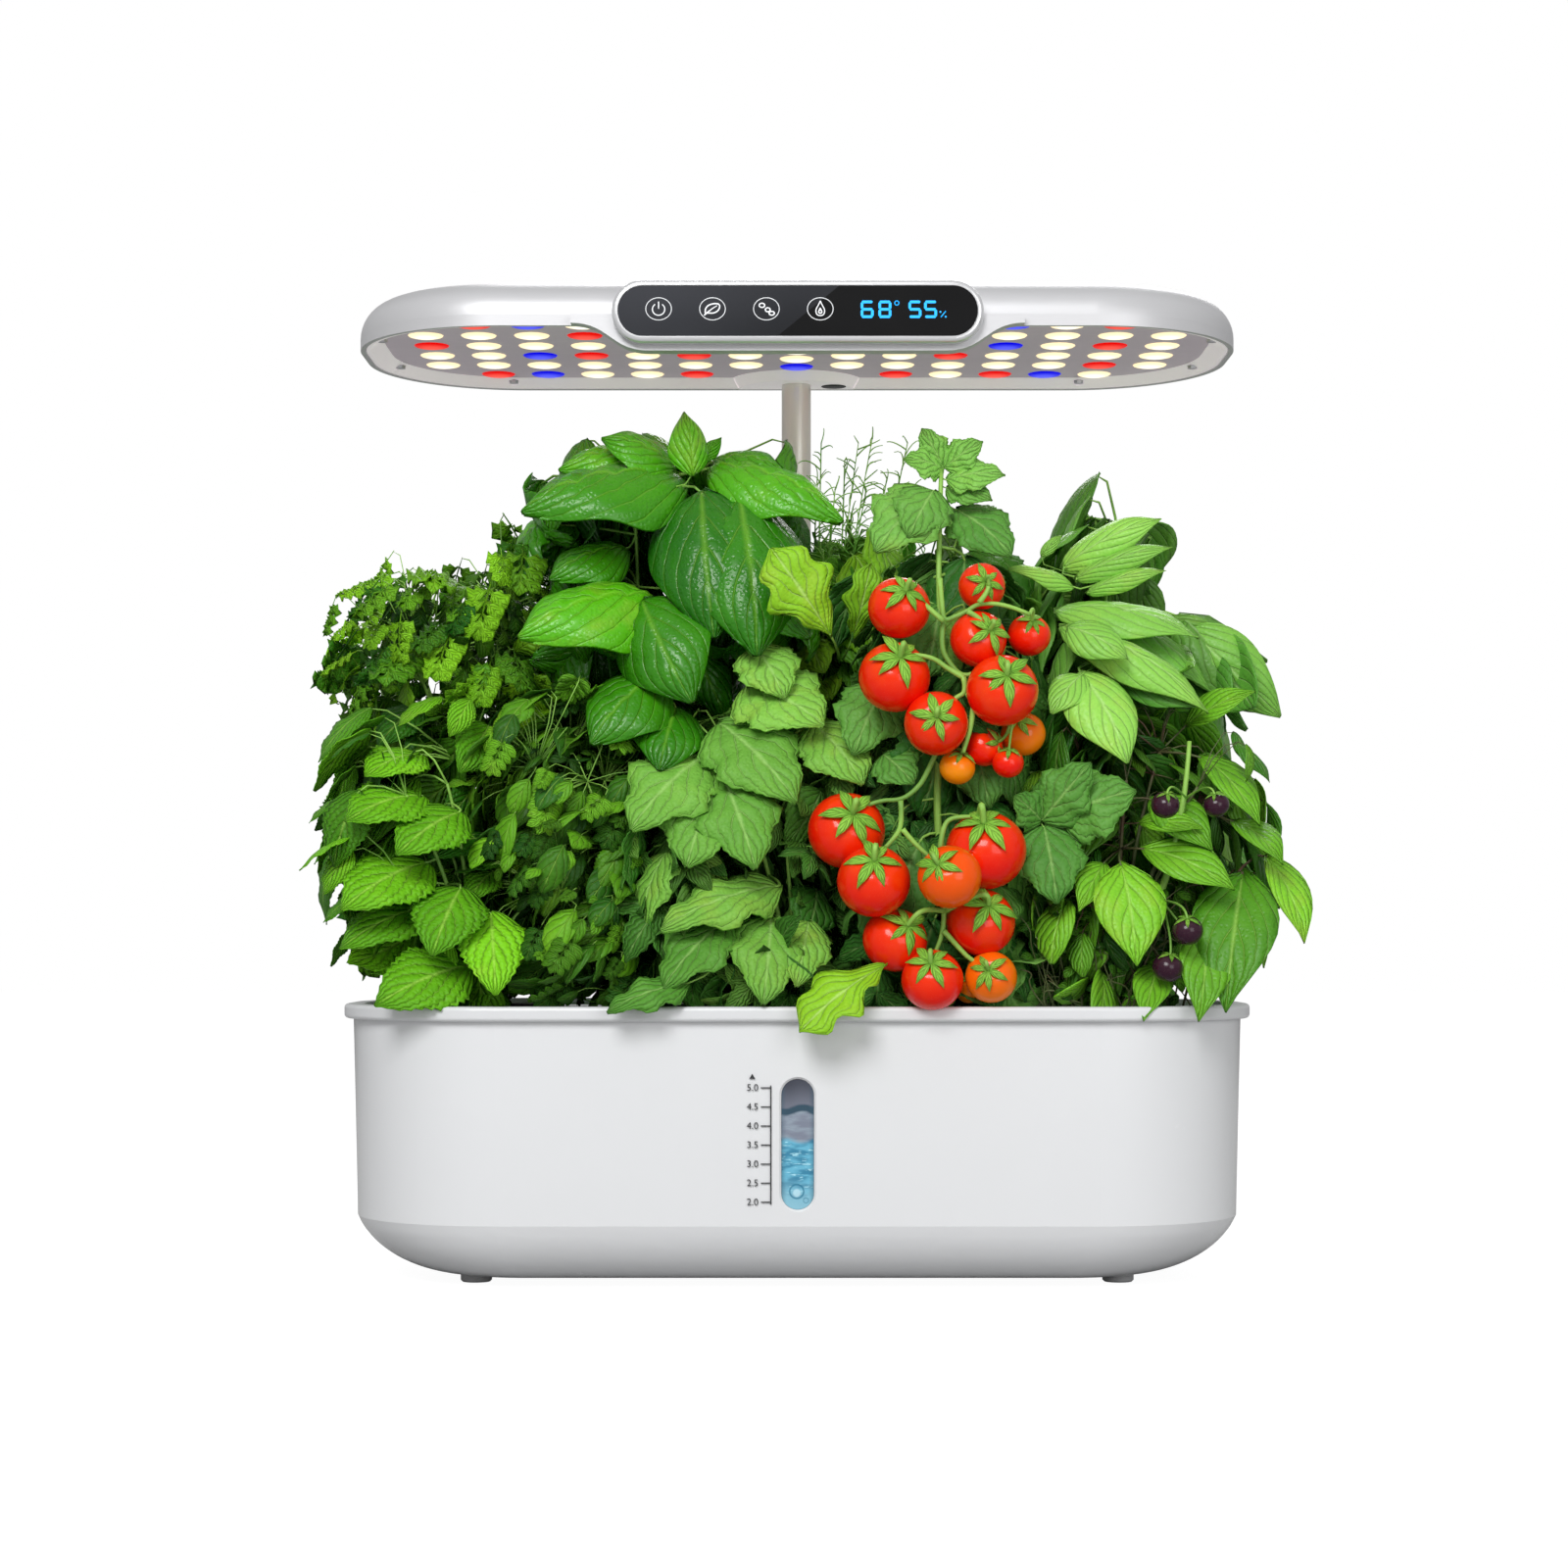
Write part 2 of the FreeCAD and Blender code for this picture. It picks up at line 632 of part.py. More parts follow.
def deck_tray():
    """Deck with a raised rolled rim that caps the tank and a skirt that centres it."""
    body = slab(RIM_LENGTH, RIM_WIDTH, TANK_END_FLAT, RIM_BOTTOM_Z, RIM_TOP_Z)
    body = body.makeFillet(RIM_EDGE_R, edges_at(body, RIM_TOP_Z) + edges_at(body, RIM_BOTTOM_Z))
    tray_length = RIM_LENGTH - 2 * RIM_BAND
    tray_width = RIM_WIDTH - 2 * RIM_BAND
    tray = slab(tray_length, tray_width, TANK_END_FLAT, DECK_TOP_Z, RIM_TOP_Z + DECK_DROP)
    tray = tray.makeChamfer(TRAY_CHAMFER, edges_at(tray, DECK_TOP_Z))
    body = body.cut(tray)
    skirt_inset = TANK_WALL + SKIRT_CLEARANCE
    skirt_length = TANK_LENGTH - 2 * skirt_inset
    skirt_width = TANK_WIDTH - 2 * skirt_inset
    skirt_bottom = DECK_BOTTOM_Z - SKIRT_DEPTH
    groove = slab(
        TANK_LENGTH + 2 * RIM_GROOVE_CLEARANCE,
        TANK_WIDTH + 2 * RIM_GROOVE_CLEARANCE,
        TANK_END_FLAT,
        RIM_BOTTOM_Z - RIM_HEIGHT,
        TANK_TOP_Z,
    )
    plug = slab(skirt_length, skirt_width, TANK_END_FLAT, skirt_bottom, TANK_TOP_Z)
    hollow = slab(
        skirt_length - 2 * SKIRT_WALL,
        skirt_width - 2 * SKIRT_WALL,
        TANK_END_FLAT,
        skirt_bottom,
        DECK_BOTTOM_Z,
    )
    body = body.cut(groove).fuse(plug).cut(hollow)
    socket_top = DECK_TOP_Z + MAST_SOCKET_HEIGHT
    socket = cylinder(MAST_SOCKET_R, 0, MAST_Y, DECK_BOTTOM_Z, socket_top)
    socket = socket.makeFillet(RIM_EDGE_R, edges_at(socket, socket_top))
    body = body.fuse(socket).fuse(deck_ribs())
    for x, y in site_places():
        body = body.cut(cylinder(site_hole_r(), x, y, DECK_BOTTOM_Z - RIB_DEPTH, RIM_TOP_Z))
    bore = cylinder(MAST_OUTER_R + MAST_FIT, 0, MAST_Y, DECK_BOTTOM_Z - RIB_DEPTH, socket_top)
    return body.cut(bore).removeSplitter()


def site_hole_r():
    """Radius of the hole that a basket hangs in."""
    return BASKET_TOP_R + BASKET_CLEARANCE


def deck_ribs():
    """Stiffening ribs under the deck, between the rows and between the sites."""
    low = DECK_BOTTOM_Z - RIB_DEPTH
    reach = TANK_LENGTH / 2 - TANK_WALL - SKIRT_CLEARANCE - SKIRT_WALL
    side = TANK_WIDTH / 2 - TANK_WALL - SKIRT_CLEARANCE - SKIRT_WALL
    half = RIB_THICKNESS / 2
    start = SENSOR_X + SENSOR_NUT_R + RIB_NUT_GAP
    front = ROWS_MIDDLE_Y - half
    ribs = block(start, reach, front, front + RIB_THICKNESS, low, DECK_BOTTOM_Z)
    for step in range(SITES_PER_ROW - 1):
        x = SITE_PITCH * (step - (SITES_PER_ROW - 2) / 2)
        ribs = ribs.fuse(block(x - half, x + half, -side, side, low, DECK_BOTTOM_Z))
    return ribs


def basket(x, y):
    """Tapered net cup hung by its flange, with slots up its side and a floor hole."""
    top = DECK_TOP_Z + BASKET_FLANGE_THICKNESS
    bottom = DECK_TOP_Z - BASKET_DEPTH
    profile = [
        (BASKET_FLOOR_HOLE_R, bottom),
        (BASKET_BOTTOM_R, bottom),
        (BASKET_TOP_R, DECK_TOP_Z),
        (BASKET_FLANGE_R, DECK_TOP_Z),
        (BASKET_FLANGE_R, top),
        (BASKET_TOP_R - BASKET_WALL, top),
        (BASKET_BOTTOM_R - BASKET_WALL, bottom + BASKET_WALL),
        (BASKET_FLOOR_HOLE_R, bottom + BASKET_WALL),
    ]
    cup = cornered(profile, BASKET_SIDES)
    low = bottom + BASKET_SLOT_END
    high = DECK_BOTTOM_Z - BASKET_SLOT_END
    half = BASKET_SLOT_WIDTH / 2
    for step in range(BASKET_SLOTS):
        slot = block(-BASKET_TOP_R, BASKET_TOP_R, -half, half, low, high)
        slot.rotate(Vector(0, 0, 0), UP, 180.0 * step / BASKET_SLOTS)
        cup = cup.cut(slot)
    cup.translate(Vector(x, y, 0))
    return cup


def sponge_top_z():
    """Height of a sponge's top, just under the basket's mouth."""
    return DECK_TOP_Z + BASKET_FLANGE_THICKNESS - SPONGE_DROP


def sponge(x, y):
    """Tapered growing plug that stands on the basket's floor."""
    bottom = DECK_TOP_Z - BASKET_DEPTH + BASKET_WALL
    gap = BASKET_WALL + SPONGE_CLEARANCE
    low = ring(x, y, bottom, BASKET_BOTTOM_R - gap, BASKET_SIDES)
    return facets([low, ring(x, y, sponge_top_z(), BASKET_TOP_R - gap, BASKET_SIDES)])


# Mast


def mast_tube_outer():
    """Fixed lower tube, open at both ends."""
    low = DECK_BOTTOM_Z - MAST_FOOT_DROP
    tube = cylinder(MAST_OUTER_R, 0, MAST_Y, low, MAST_OUTER_TOP_Z)
    bore = cylinder(MAST_OUTER_R - MAST_TUBE_WALL, 0, MAST_Y, low, MAST_OUTER_TOP_Z)
    return tube.cut(bore)


def mast_nut():
    """Flat-sided nut under the deck that holds the lower tube."""
    low = DECK_BOTTOM_Z - MAST_NUT_HEIGHT
    levels = (low, DECK_BOTTOM_Z)
    nut = facets([ring(0, MAST_Y, z, MAST_NUT_R, MAST_NUT_SIDES) for z in levels])
    return nut.cut(cylinder(MAST_OUTER_R + MAST_FIT, 0, MAST_Y, low, DECK_BOTTOM_Z))


def mast_bush():
    """Flanged friction bush in the mouth of the lower tube."""
    top = MAST_OUTER_TOP_Z
    sleeve_r = MAST_OUTER_R - MAST_TUBE_WALL - MAST_FIT
    profile = [
        (MAST_INNER_R + MAST_FIT, top - BUSH_LENGTH),
        (sleeve_r, top - BUSH_LENGTH),
        (sleeve_r, top),
        (BUSH_FLANGE_R, top),
        (BUSH_FLANGE_R, top + BUSH_FLANGE_HEIGHT / 2),
        (BUSH_FLANGE_R - BUSH_FLANGE_HEIGHT / 2, top + BUSH_FLANGE_HEIGHT),
        (MAST_INNER_R + MAST_FIT, top + BUSH_FLANGE_HEIGHT),
    ]
    return turned(profile, 0, MAST_Y)


def mast_top_z():
    """Height of the upper tube's end, just under the hood's rounded inner edge."""
    radius = HOOD_TOP_R - HOOD_WALL
    across = max(HOOD_TOP_R + MAST_INNER_R - HOOD_MAST_INSET, 0)
    rise = math.sqrt(radius**2 - across**2)
    return HOOD_TOP_Z - HOOD_TOP_R + rise - FRAME_GAP


def mast_tube_inner():
    """Sliding upper tube that carries the lamp."""
    top = mast_top_z()
    tube = cylinder(MAST_INNER_R, 0, MAST_Y, MAST_INNER_BOTTOM_Z, top)
    bore = cylinder(MAST_INNER_R - MAST_TUBE_WALL, 0, MAST_Y, MAST_INNER_BOTTOM_Z, top)
    return tube.cut(bore)


def mast_slider():
    """Plastic shoe under the upper tube that guides it in the lower one."""
    top = MAST_INNER_BOTTOM_Z
    shoe_r = MAST_OUTER_R - MAST_TUBE_WALL - MAST_FIT
    stub_r = MAST_INNER_R - MAST_TUBE_WALL - MAST_FIT
    bore_r = stub_r - MAST_TUBE_WALL
    profile = [
        (bore_r, top - SLIDER_LENGTH),
        (shoe_r, top - SLIDER_LENGTH),
        (shoe_r, top),
        (stub_r, top),
        (stub_r, top + SLIDER_LENGTH / 2),
        (bore_r, top + SLIDER_LENGTH / 2),
    ]
    return turned(profile, 0, MAST_Y)


# Lamp


def hood_form(offset, z_low, z_high, top_r):
    """Solid inside the hood's outer surface, drawn in by an offset."""
    length = HOOD_LENGTH - 2 * offset
    width = HOOD_WIDTH - 2 * offset
    solid = slab(length, width, HOOD_END_FLAT, z_low, z_high)
    return solid.makeFillet(top_r, edges_at(solid, z_high))


def chin():
    """Apron that flares down from the hood's front edge around the panel."""
    top = HOOD_BOTTOM_Z + CHIN_RISE
    low = HOOD_BOTTOM_Z - CHIN_DROP
    wide = CHIN_WIDTH / 2
    flat = CHIN_FLAT_WIDTH / 2
    sides = []
    for hand in (-1, 1):
        curve = Part.BezierCurve()
        bend = (wide - flat) * CHIN_BEND_SHARE
        curve.setPoles([
            Vector(hand * wide, CHIN_FRONT_Y, HOOD_BOTTOM_Z),
            Vector(hand * (wide - bend), CHIN_FRONT_Y, HOOD_BOTTOM_Z),
            Vector(hand * (flat + bend), CHIN_FRONT_Y, low),
            Vector(hand * flat, CHIN_FRONT_Y, low),
        ])
        sides.append(curve.toShape())
    corners = [
        Vector(-flat, CHIN_FRONT_Y, low),
        Vector(flat, CHIN_FRONT_Y, low),
        Vector(wide, CHIN_FRONT_Y, HOOD_BOTTOM_Z),
        Vector(wide, CHIN_FRONT_Y, top),
        Vector(-wide, CHIN_FRONT_Y, top),
        Vector(-wide, CHIN_FRONT_Y, HOOD_BOTTOM_Z),
    ]
    edges = [sides[0], Part.makeLine(corners[0], corners[1]), sides[1]]
    for start, stop in ((2, 3), (3, 4), (4, 5)):
        edges.append(Part.makeLine(corners[start], corners[stop]))
    face = Part.Face(Part.Wire(Part.__sortEdges__(edges)))
    return face.extrude(Vector(0, CHIN_BACK_Y - CHIN_FRONT_Y, 0))


def panel_pill(margin, y_front, y_back):
    """Pill on the panel's middle, drawn in by a margin."""
    return pill(PANEL_LENGTH - 2 * margin, PANEL_HEIGHT - 2 * margin, 0, PANEL_Z, y_front, y_back)


def screw_places():
    """Middles of the screws that hold the light frame, in the lamp's round corners."""
    radius = (HOOD_WIDTH - HOOD_END_FLAT) / 2 - SCREW_INSET
    x = HOOD_LENGTH / 2 - (HOOD_WIDTH - HOOD_END_FLAT) / 2
    y = HOOD_END_FLAT / 2
    places = []
    for angle in SCREW_ANGLES:
        across = x + radius * math.cos(math.radians(angle))
        along = y + radius * math.sin(math.radians(angle))
        places += [(hand * across, side * along) for hand in (-1, 1) for side in (-1, 1)]
    return places


def hood_solid():
    """Outer form of the hood with its apron, before the panel's pocket is cut."""
    return hood_form(0, HOOD_BOTTOM_Z, HOOD_TOP_Z, HOOD_TOP_R).fuse(chin())


def lamp_hood():
    """Rounded hood, open below, with screw posts and a pocket for the panel in its apron."""
    hood = hood_solid()
    hollow_top = HOOD_TOP_Z - HOOD_WALL
    inner_r = HOOD_TOP_R - HOOD_WALL
    hollow = hood_form(HOOD_WALL, HOOD_BOTTOM_Z - CHIN_DROP, hollow_top, inner_r)
    hood = hood.cut(hollow)
    inside = hood_form(HOOD_WALL / 2, HOOD_BOTTOM_Z, HOOD_TOP_Z - HOOD_WALL / 2, inner_r)
    for x, y in screw_places():
        post = cylinder(SCREW_POST_R, x, y, BOARD_Z, hollow_top).common(inside)
        pilot = cylinder(SCREW_R, x, y, BOARD_Z, BOARD_Z + SCREW_LENGTH)
        hood = hood.fuse(post).cut(pilot)
    pocket = panel_pill(0, PANEL_FRONT_Y, HOOD_FRONT_Y)
    return hood.cut(pocket).removeSplitter()


def panel_pod():
    """Pill-shaped case of the panel, saddled on to the hood's rounded front."""
    pod = panel_pill(0, PANEL_FRONT_Y, PANEL_BACK_Y)
    front = [edge for edge in pod.Edges if abs(edge.BoundBox.YMax - PANEL_FRONT_Y) < 1e-3]
    pod = pod.makeFillet(PANEL_EDGE_R, front)
    saddle = hood_solid().cut(panel_pill(0, PANEL_FRONT_Y, HOOD_FRONT_Y))
    pod = pod.cut(saddle)
    glass_seat = panel_pill(GLASS_MARGIN, PANEL_FRONT_Y, PANEL_FRONT_Y + GLASS_RECESS + GLASS_THICKNESS)
    pocket = panel_pill(PANEL_POCKET_MARGIN, PANEL_FRONT_Y, PANEL_FRONT_Y + PANEL_POCKET_DEPTH)
    pod = pod.cut(glass_seat).cut(pocket)
    return max(pod.Solids, key=lambda solid: solid.Volume)


def panel_glass():
    """Glossy pane of the touch panel, set a little behind the case's rim."""
    front = PANEL_FRONT_Y + GLASS_RECESS
    return panel_pill(GLASS_MARGIN + GLASS_CLEARANCE, front, front + GLASS_THICKNESS)


def touch_board():
    """Circuit board on the pocket's floor behind the glass."""
    back = PANEL_FRONT_Y + PANEL_POCKET_DEPTH
    margin = PANEL_POCKET_MARGIN + GLASS_CLEARANCE
    return panel_pill(margin, back - TOUCH_BOARD_THICKNESS, back)


def display_module():
    """Digit display between the touch board and the glass."""
    back = PANEL_FRONT_Y + PANEL_POCKET_DEPTH - TOUCH_BOARD_THICKNESS
    front = PANEL_FRONT_Y + GLASS_RECESS + GLASS_THICKNESS + TOUCH_BOARD_GAP
    left = DISPLAY_X - DISPLAY_LENGTH / 2
    low = PANEL_Z - DISPLAY_HEIGHT / 2
    return block(left, left + DISPLAY_LENGTH, front, back, low, low + DISPLAY_HEIGHT)


def boss_cone(extra):
    """Ramped round pad around the mast, grown by an extra radius."""
    low_r = BOSS_R + extra
    high_r = BOSS_R + BOSS_RAMP + extra
    return Part.makeCone(low_r, high_r, BOARD_RECESS, Vector(0, HOOD_BACK_Y, HOOD_BOTTOM_Z))


def light_frame():
    """White ring with a sloping inner face that holds the light board in the hood."""
    outer_inset = HOOD_WALL + FRAME_GAP
    ring = slab(
        HOOD_LENGTH - 2 * outer_inset,
        HOOD_WIDTH - 2 * outer_inset,
        HOOD_END_FLAT,
        HOOD_BOTTOM_Z + FRAME_GAP,
        BOARD_Z,
    )
    low = outer_inset + FRAME_EDGE
    mouth = oblong(HOOD_LENGTH - 2 * low, HOOD_WIDTH - 2 * low, HOOD_END_FLAT, HOOD_BOTTOM_Z)
    waist = oblong(HOOD_LENGTH - 2 * LIP_INSET, HOOD_WIDTH - 2 * LIP_INSET, HOOD_END_FLAT, BOARD_Z)
    ring = ring.cut(Part.makeLoft([mouth, waist], True, True))
    ring = ring.cut(boss_cone(FRAME_GAP))
    for x, y in screw_places():
        ring = ring.cut(cylinder(SCREW_R + FRAME_GAP, x, y, HOOD_BOTTOM_Z, BOARD_Z))
        head_z = BOARD_Z - FRAME_EDGE
        ring = ring.cut(cylinder(SCREW_HEAD_R + FRAME_GAP, x, y, HOOD_BOTTOM_Z - 1, head_z))
    return ring


def lamp_screw(x, y):
    """Pan-headed screw through the frame into the hood's post."""
    seat = BOARD_Z - FRAME_EDGE
    tip = BOARD_Z + SCREW_LENGTH - FRAME_GAP
    levels = [
        (SCREW_HEAD_R - FRAME_GAP, seat - SCREW_HEAD_HEIGHT),
        (SCREW_HEAD_R, seat),
        (SCREW_R, seat),
        (SCREW_R, tip),
    ]
    return facets([ring(x, y, z, radius, SCREW_SIDES) for radius, z in levels])


def light_board():
    """Grey board on top of the frame, cut clear of the posts and the mast."""
    inset = LIP_INSET - FRAME_EDGE
    length = HOOD_LENGTH - 2 * inset
    width = HOOD_WIDTH - 2 * inset
    board = slab(length, width, HOOD_END_FLAT, BOARD_Z, BOARD_Z + BOARD_THICKNESS)
    for x, y in screw_places():
        board = board.cut(cylinder(SCREW_POST_R + FRAME_GAP, x, y, HOOD_BOTTOM_Z, HOOD_TOP_Z))
    notch_r = BOSS_R + BOSS_RAMP + FRAME_GAP
    return board.cut(cylinder(notch_r, 0, HOOD_BACK_Y, HOOD_BOTTOM_Z, HOOD_TOP_Z))


def led_places():
    """Middle and colour letter of every grow light."""
    half_length = HOOD_LENGTH / 2 - LIP_INSET - LENS_R - LED_END_MARGIN
    half_width = HOOD_WIDTH / 2 - LIP_INSET - LENS_R - LED_SIDE_MARGIN
    centre_rear = HOOD_BACK_Y - BOSS_R - BOSS_RAMP - LENS_R
    rows = len(LED_ROWS)
    columns = len(LED_ROWS[0])
    places = []
    for row, letters in enumerate(LED_ROWS):
        for column, letter in enumerate(letters):
            x = half_length * (2 * column / (columns - 1) - 1)
            y = half_width * (2 * row / (rows - 1) - 1)
            if column == columns // 2:
                y = (centre_rear + half_width) * row / (rows - 1) - half_width
            if letter != ".":
                places.append((x, y, letter))
    return places


def led_lens(x, y):
    """Low lens of one grow light, a many-sided button that narrows downwards."""
    low = ring(x, y, BOARD_Z - LENS_HEIGHT, LENS_R - LENS_HEIGHT, LENS_SIDES)
    return facets([low, ring(x, y, BOARD_Z, LENS_R, LENS_SIDES)])


def mast_boss():
    """Pad under the lamp's back edge with a collar that grips the upper tube."""
    gap = HOOD_WALL + FRAME_GAP
    keep = hood_form(gap, HOOD_BOTTOM_Z, HOOD_TOP_Z - gap, HOOD_TOP_R - gap)
    pad = boss_cone(0).common(keep)
    upper = cylinder(BOSS_R + BOSS_RAMP, 0, HOOD_BACK_Y, BOARD_Z, BOARD_Z + BOARD_THICKNESS)
    collar = cylinder(BOSS_COLLAR_R, 0, HOOD_MAST_Y, BOARD_Z, mast_top_z())
    tower_r = JACK_HOLE_R + HOOD_WALL
    jack_top = HOOD_BOTTOM_Z + JACK_RECESS + JACK_HEIGHT
    tower = cylinder(tower_r, JACK_X, JACK_Y, BOARD_Z, jack_top)
    pad = pad.fuse(upper.common(keep)).fuse(collar.common(keep)).fuse(tower.common(keep))
    pad = pad.cut(cylinder(MAST_INNER_R + MAST_FIT, 0, HOOD_MAST_Y, HOOD_BOTTOM_Z - 1, HOOD_TOP_Z))
    pad = pad.cut(cylinder(JACK_HOLE_R, JACK_X, JACK_Y, HOOD_BOTTOM_Z - 1, jack_top))
    return pad.removeSplitter()


def power_jack():
    """Round power socket with its centre pin, set up inside the boss."""
    low = HOOD_BOTTOM_Z + JACK_RECESS
    body = cylinder(JACK_HOLE_R - JACK_FIT, JACK_X, JACK_Y, low, low + JACK_HEIGHT)
    body = body.cut(cylinder(JACK_BORE_R, JACK_X, JACK_Y, low, low + JACK_BORE_DEPTH))
    pin = cylinder(JACK_PIN_R, JACK_X, JACK_Y, low + FRAME_EDGE, low + JACK_BORE_DEPTH)
    return body.fuse(pin)


# Pump


def pump_block(x_low, x_high, margin):
    """Round-cornered block on the pump's axis, drawn in by a margin."""
    half = PUMP_WIDTH / 2 - margin
    solid = block(x_low, x_high, -half, half, PUMP_BASE_Z + margin, PUMP_BASE_Z + PUMP_HEIGHT - margin)
    long_edges = [edge for edge in solid.Edges if edge.BoundBox.XLength > (x_high - x_low) / 2]
    return solid.makeFillet(PUMP_EDGE_R - margin, long_edges)


def rotor_back_x():
    """Where the closed end of the rotor's chamber lies."""
    return PUMP_FRONT_X - VOLUTE_DEPTH - ROTOR_LENGTH - 2 * ROTOR_CLEARANCE


def pump_housing():
    """Pump body with the rotor's chamber, the volute and the outlet pipe."""
    body = pump_block(PUMP_X - PUMP_LENGTH / 2, PUMP_FRONT_X, 0)
    volute_x = PUMP_FRONT_X - VOLUTE_DEPTH
    top = PUMP_BASE_Z + PUMP_HEIGHT
    pipe_x = volute_x + VOLUTE_DEPTH / 2 - OUTLET_BORE_R / 2
    body = body.fuse(cylinder(OUTLET_R, pipe_x, 0, top - PUMP_EDGE_R, top + OUTLET_HEIGHT))
    body = body.cut(cylinder_x(ROTOR_R + ROTOR_CLEARANCE, 0, PUMP_AXIS_Z, rotor_back_x(), PUMP_FRONT_X))
    body = body.cut(cylinder_x(VOLUTE_R, 0, PUMP_AXIS_Z, volute_x, PUMP_FRONT_X))
    body = body.cut(cylinder_x(SHAFT_R, 0, PUMP_AXIS_Z, rotor_back_x() - SHAFT_SEAT, PUMP_FRONT_X))
    bore_low = PUMP_AXIS_Z + VOLUTE_R - OUTLET_BORE_R
    body = body.cut(cylinder(OUTLET_BORE_R, pipe_x, 0, bore_low, top + OUTLET_HEIGHT))
    return body.removeSplitter()


def pump_shaft():
    """Fixed shaft between the housing and the volute cover."""
    seat = VOLUTE_COVER_THICKNESS / 2
    return cylinder_x(SHAFT_R, 0, PUMP_AXIS_Z, rotor_back_x() - SHAFT_SEAT, PUMP_FRONT_X + seat)


def pump_rotor():
    """Magnet rotor and bladed impeller that turn as one on the shaft."""
    back = rotor_back_x() + ROTOR_CLEARANCE
    disc_x = back + ROTOR_LENGTH
    tip_x = PUMP_FRONT_X - ROTOR_CLEARANCE
    rotor = cylinder_x(ROTOR_R, 0, PUMP_AXIS_Z, back, disc_x)
    disc_x += ROTOR_CLEARANCE
    rotor = rotor.fuse(cylinder_x(ROTOR_R / 2, 0, PUMP_AXIS_Z, back, tip_x))
    disc = cylinder_x(IMPELLER_R, 0, PUMP_AXIS_Z, disc_x + BLADE_THICKNESS, disc_x + 2 * BLADE_THICKNESS)
    rotor = rotor.fuse(disc)
    for angle in around(IMPELLER_BLADES):
        half = BLADE_THICKNESS / 2
        blade = block(disc_x + 2 * BLADE_THICKNESS, tip_x, -half, half, 0, IMPELLER_R)
        blade.rotate(Vector(0, 0, 0), Vector(1, 0, 0), angle)
        blade.translate(Vector(0, 0, PUMP_AXIS_Z))
        rotor = rotor.fuse(blade)
    rotor = rotor.cut(cylinder_x(SHAFT_R + SHAFT_FIT, 0, PUMP_AXIS_Z, back, tip_x))
    return rotor.removeSplitter()


def volute_cover():
    """Flat cover over the impeller with a ring of inlet holes and the shaft's seat."""
    back = PUMP_FRONT_X
    cover = pump_block(back, back + VOLUTE_COVER_THICKNESS, 0)
    for angle in around(INLET_HOLES, 45.0):
        turn = math.radians(angle)
        y = ROTOR_R * math.cos(turn)
        z = PUMP_AXIS_Z + ROTOR_R * math.sin(turn)
        cover = cover.cut(cylinder_x(INLET_HOLE_R, y, z, back, back + VOLUTE_COVER_THICKNESS))
    seat = VOLUTE_COVER_THICKNESS / 2
    return cover.cut(cylinder_x(SHAFT_R, 0, PUMP_AXIS_Z, back, back + seat))


def intake_cover():
    """Slotted strainer cap over the pump's front."""
    back = PUMP_FRONT_X + VOLUTE_COVER_THICKNESS
    front = back + INTAKE_DEPTH
    cap = pump_block(back, front, 0).cut(pump_block(back, front - INTAKE_WALL, INTAKE_WALL))
    pitch = (PUMP_WIDTH - 2 * PUMP_EDGE_R) / INTAKE_SLOTS
    low = PUMP_BASE_Z + PUMP_EDGE_R
    high = PUMP_BASE_Z + PUMP_HEIGHT - PUMP_EDGE_R
    for step in range(INTAKE_SLOTS):
        y = pitch * (step - (INTAKE_SLOTS - 1) / 2) - INTAKE_SLOT_WIDTH / 2
        cap = cap.cut(block(front - 2 * INTAKE_WALL, front, y, y + INTAKE_SLOT_WIDTH, low, high))
    return cap


def intake_filter():
    """Foam filter block inside the strainer cap."""
    back = PUMP_FRONT_X + VOLUTE_COVER_THICKNESS
    front = back + INTAKE_DEPTH - INTAKE_WALL - FILTER_GAP
    margin = INTAKE_WALL + FILTER_GAP
    half = PUMP_WIDTH / 2 - margin - PUMP_EDGE_R / 2
    low = PUMP_BASE_Z + margin + PUMP_EDGE_R / 2
    high = PUMP_BASE_Z + PUMP_HEIGHT - margin - PUMP_EDGE_R / 2
    return block(back, front, -half, half, low, high)


def suction_cups():
    """Four small cups that hold the pump to the tank's floor."""
    cups = []
    waist = CUP_R / 2
    neck_z = FLOOR_Z + CUP_HEIGHT * CUP_CONE_SHARE
    levels = ((CUP_R, FLOOR_Z), (waist, neck_z), (waist, PUMP_BASE_Z))
    for x in (PUMP_X - CUP_SPREAD_X, PUMP_X + CUP_SPREAD_X):
        for y in (-CUP_SPREAD_Y, CUP_SPREAD_Y):
            cups.append(facets([ring(x, y, z, radius, CUP_SIDES) for radius, z in levels]))
    return cups


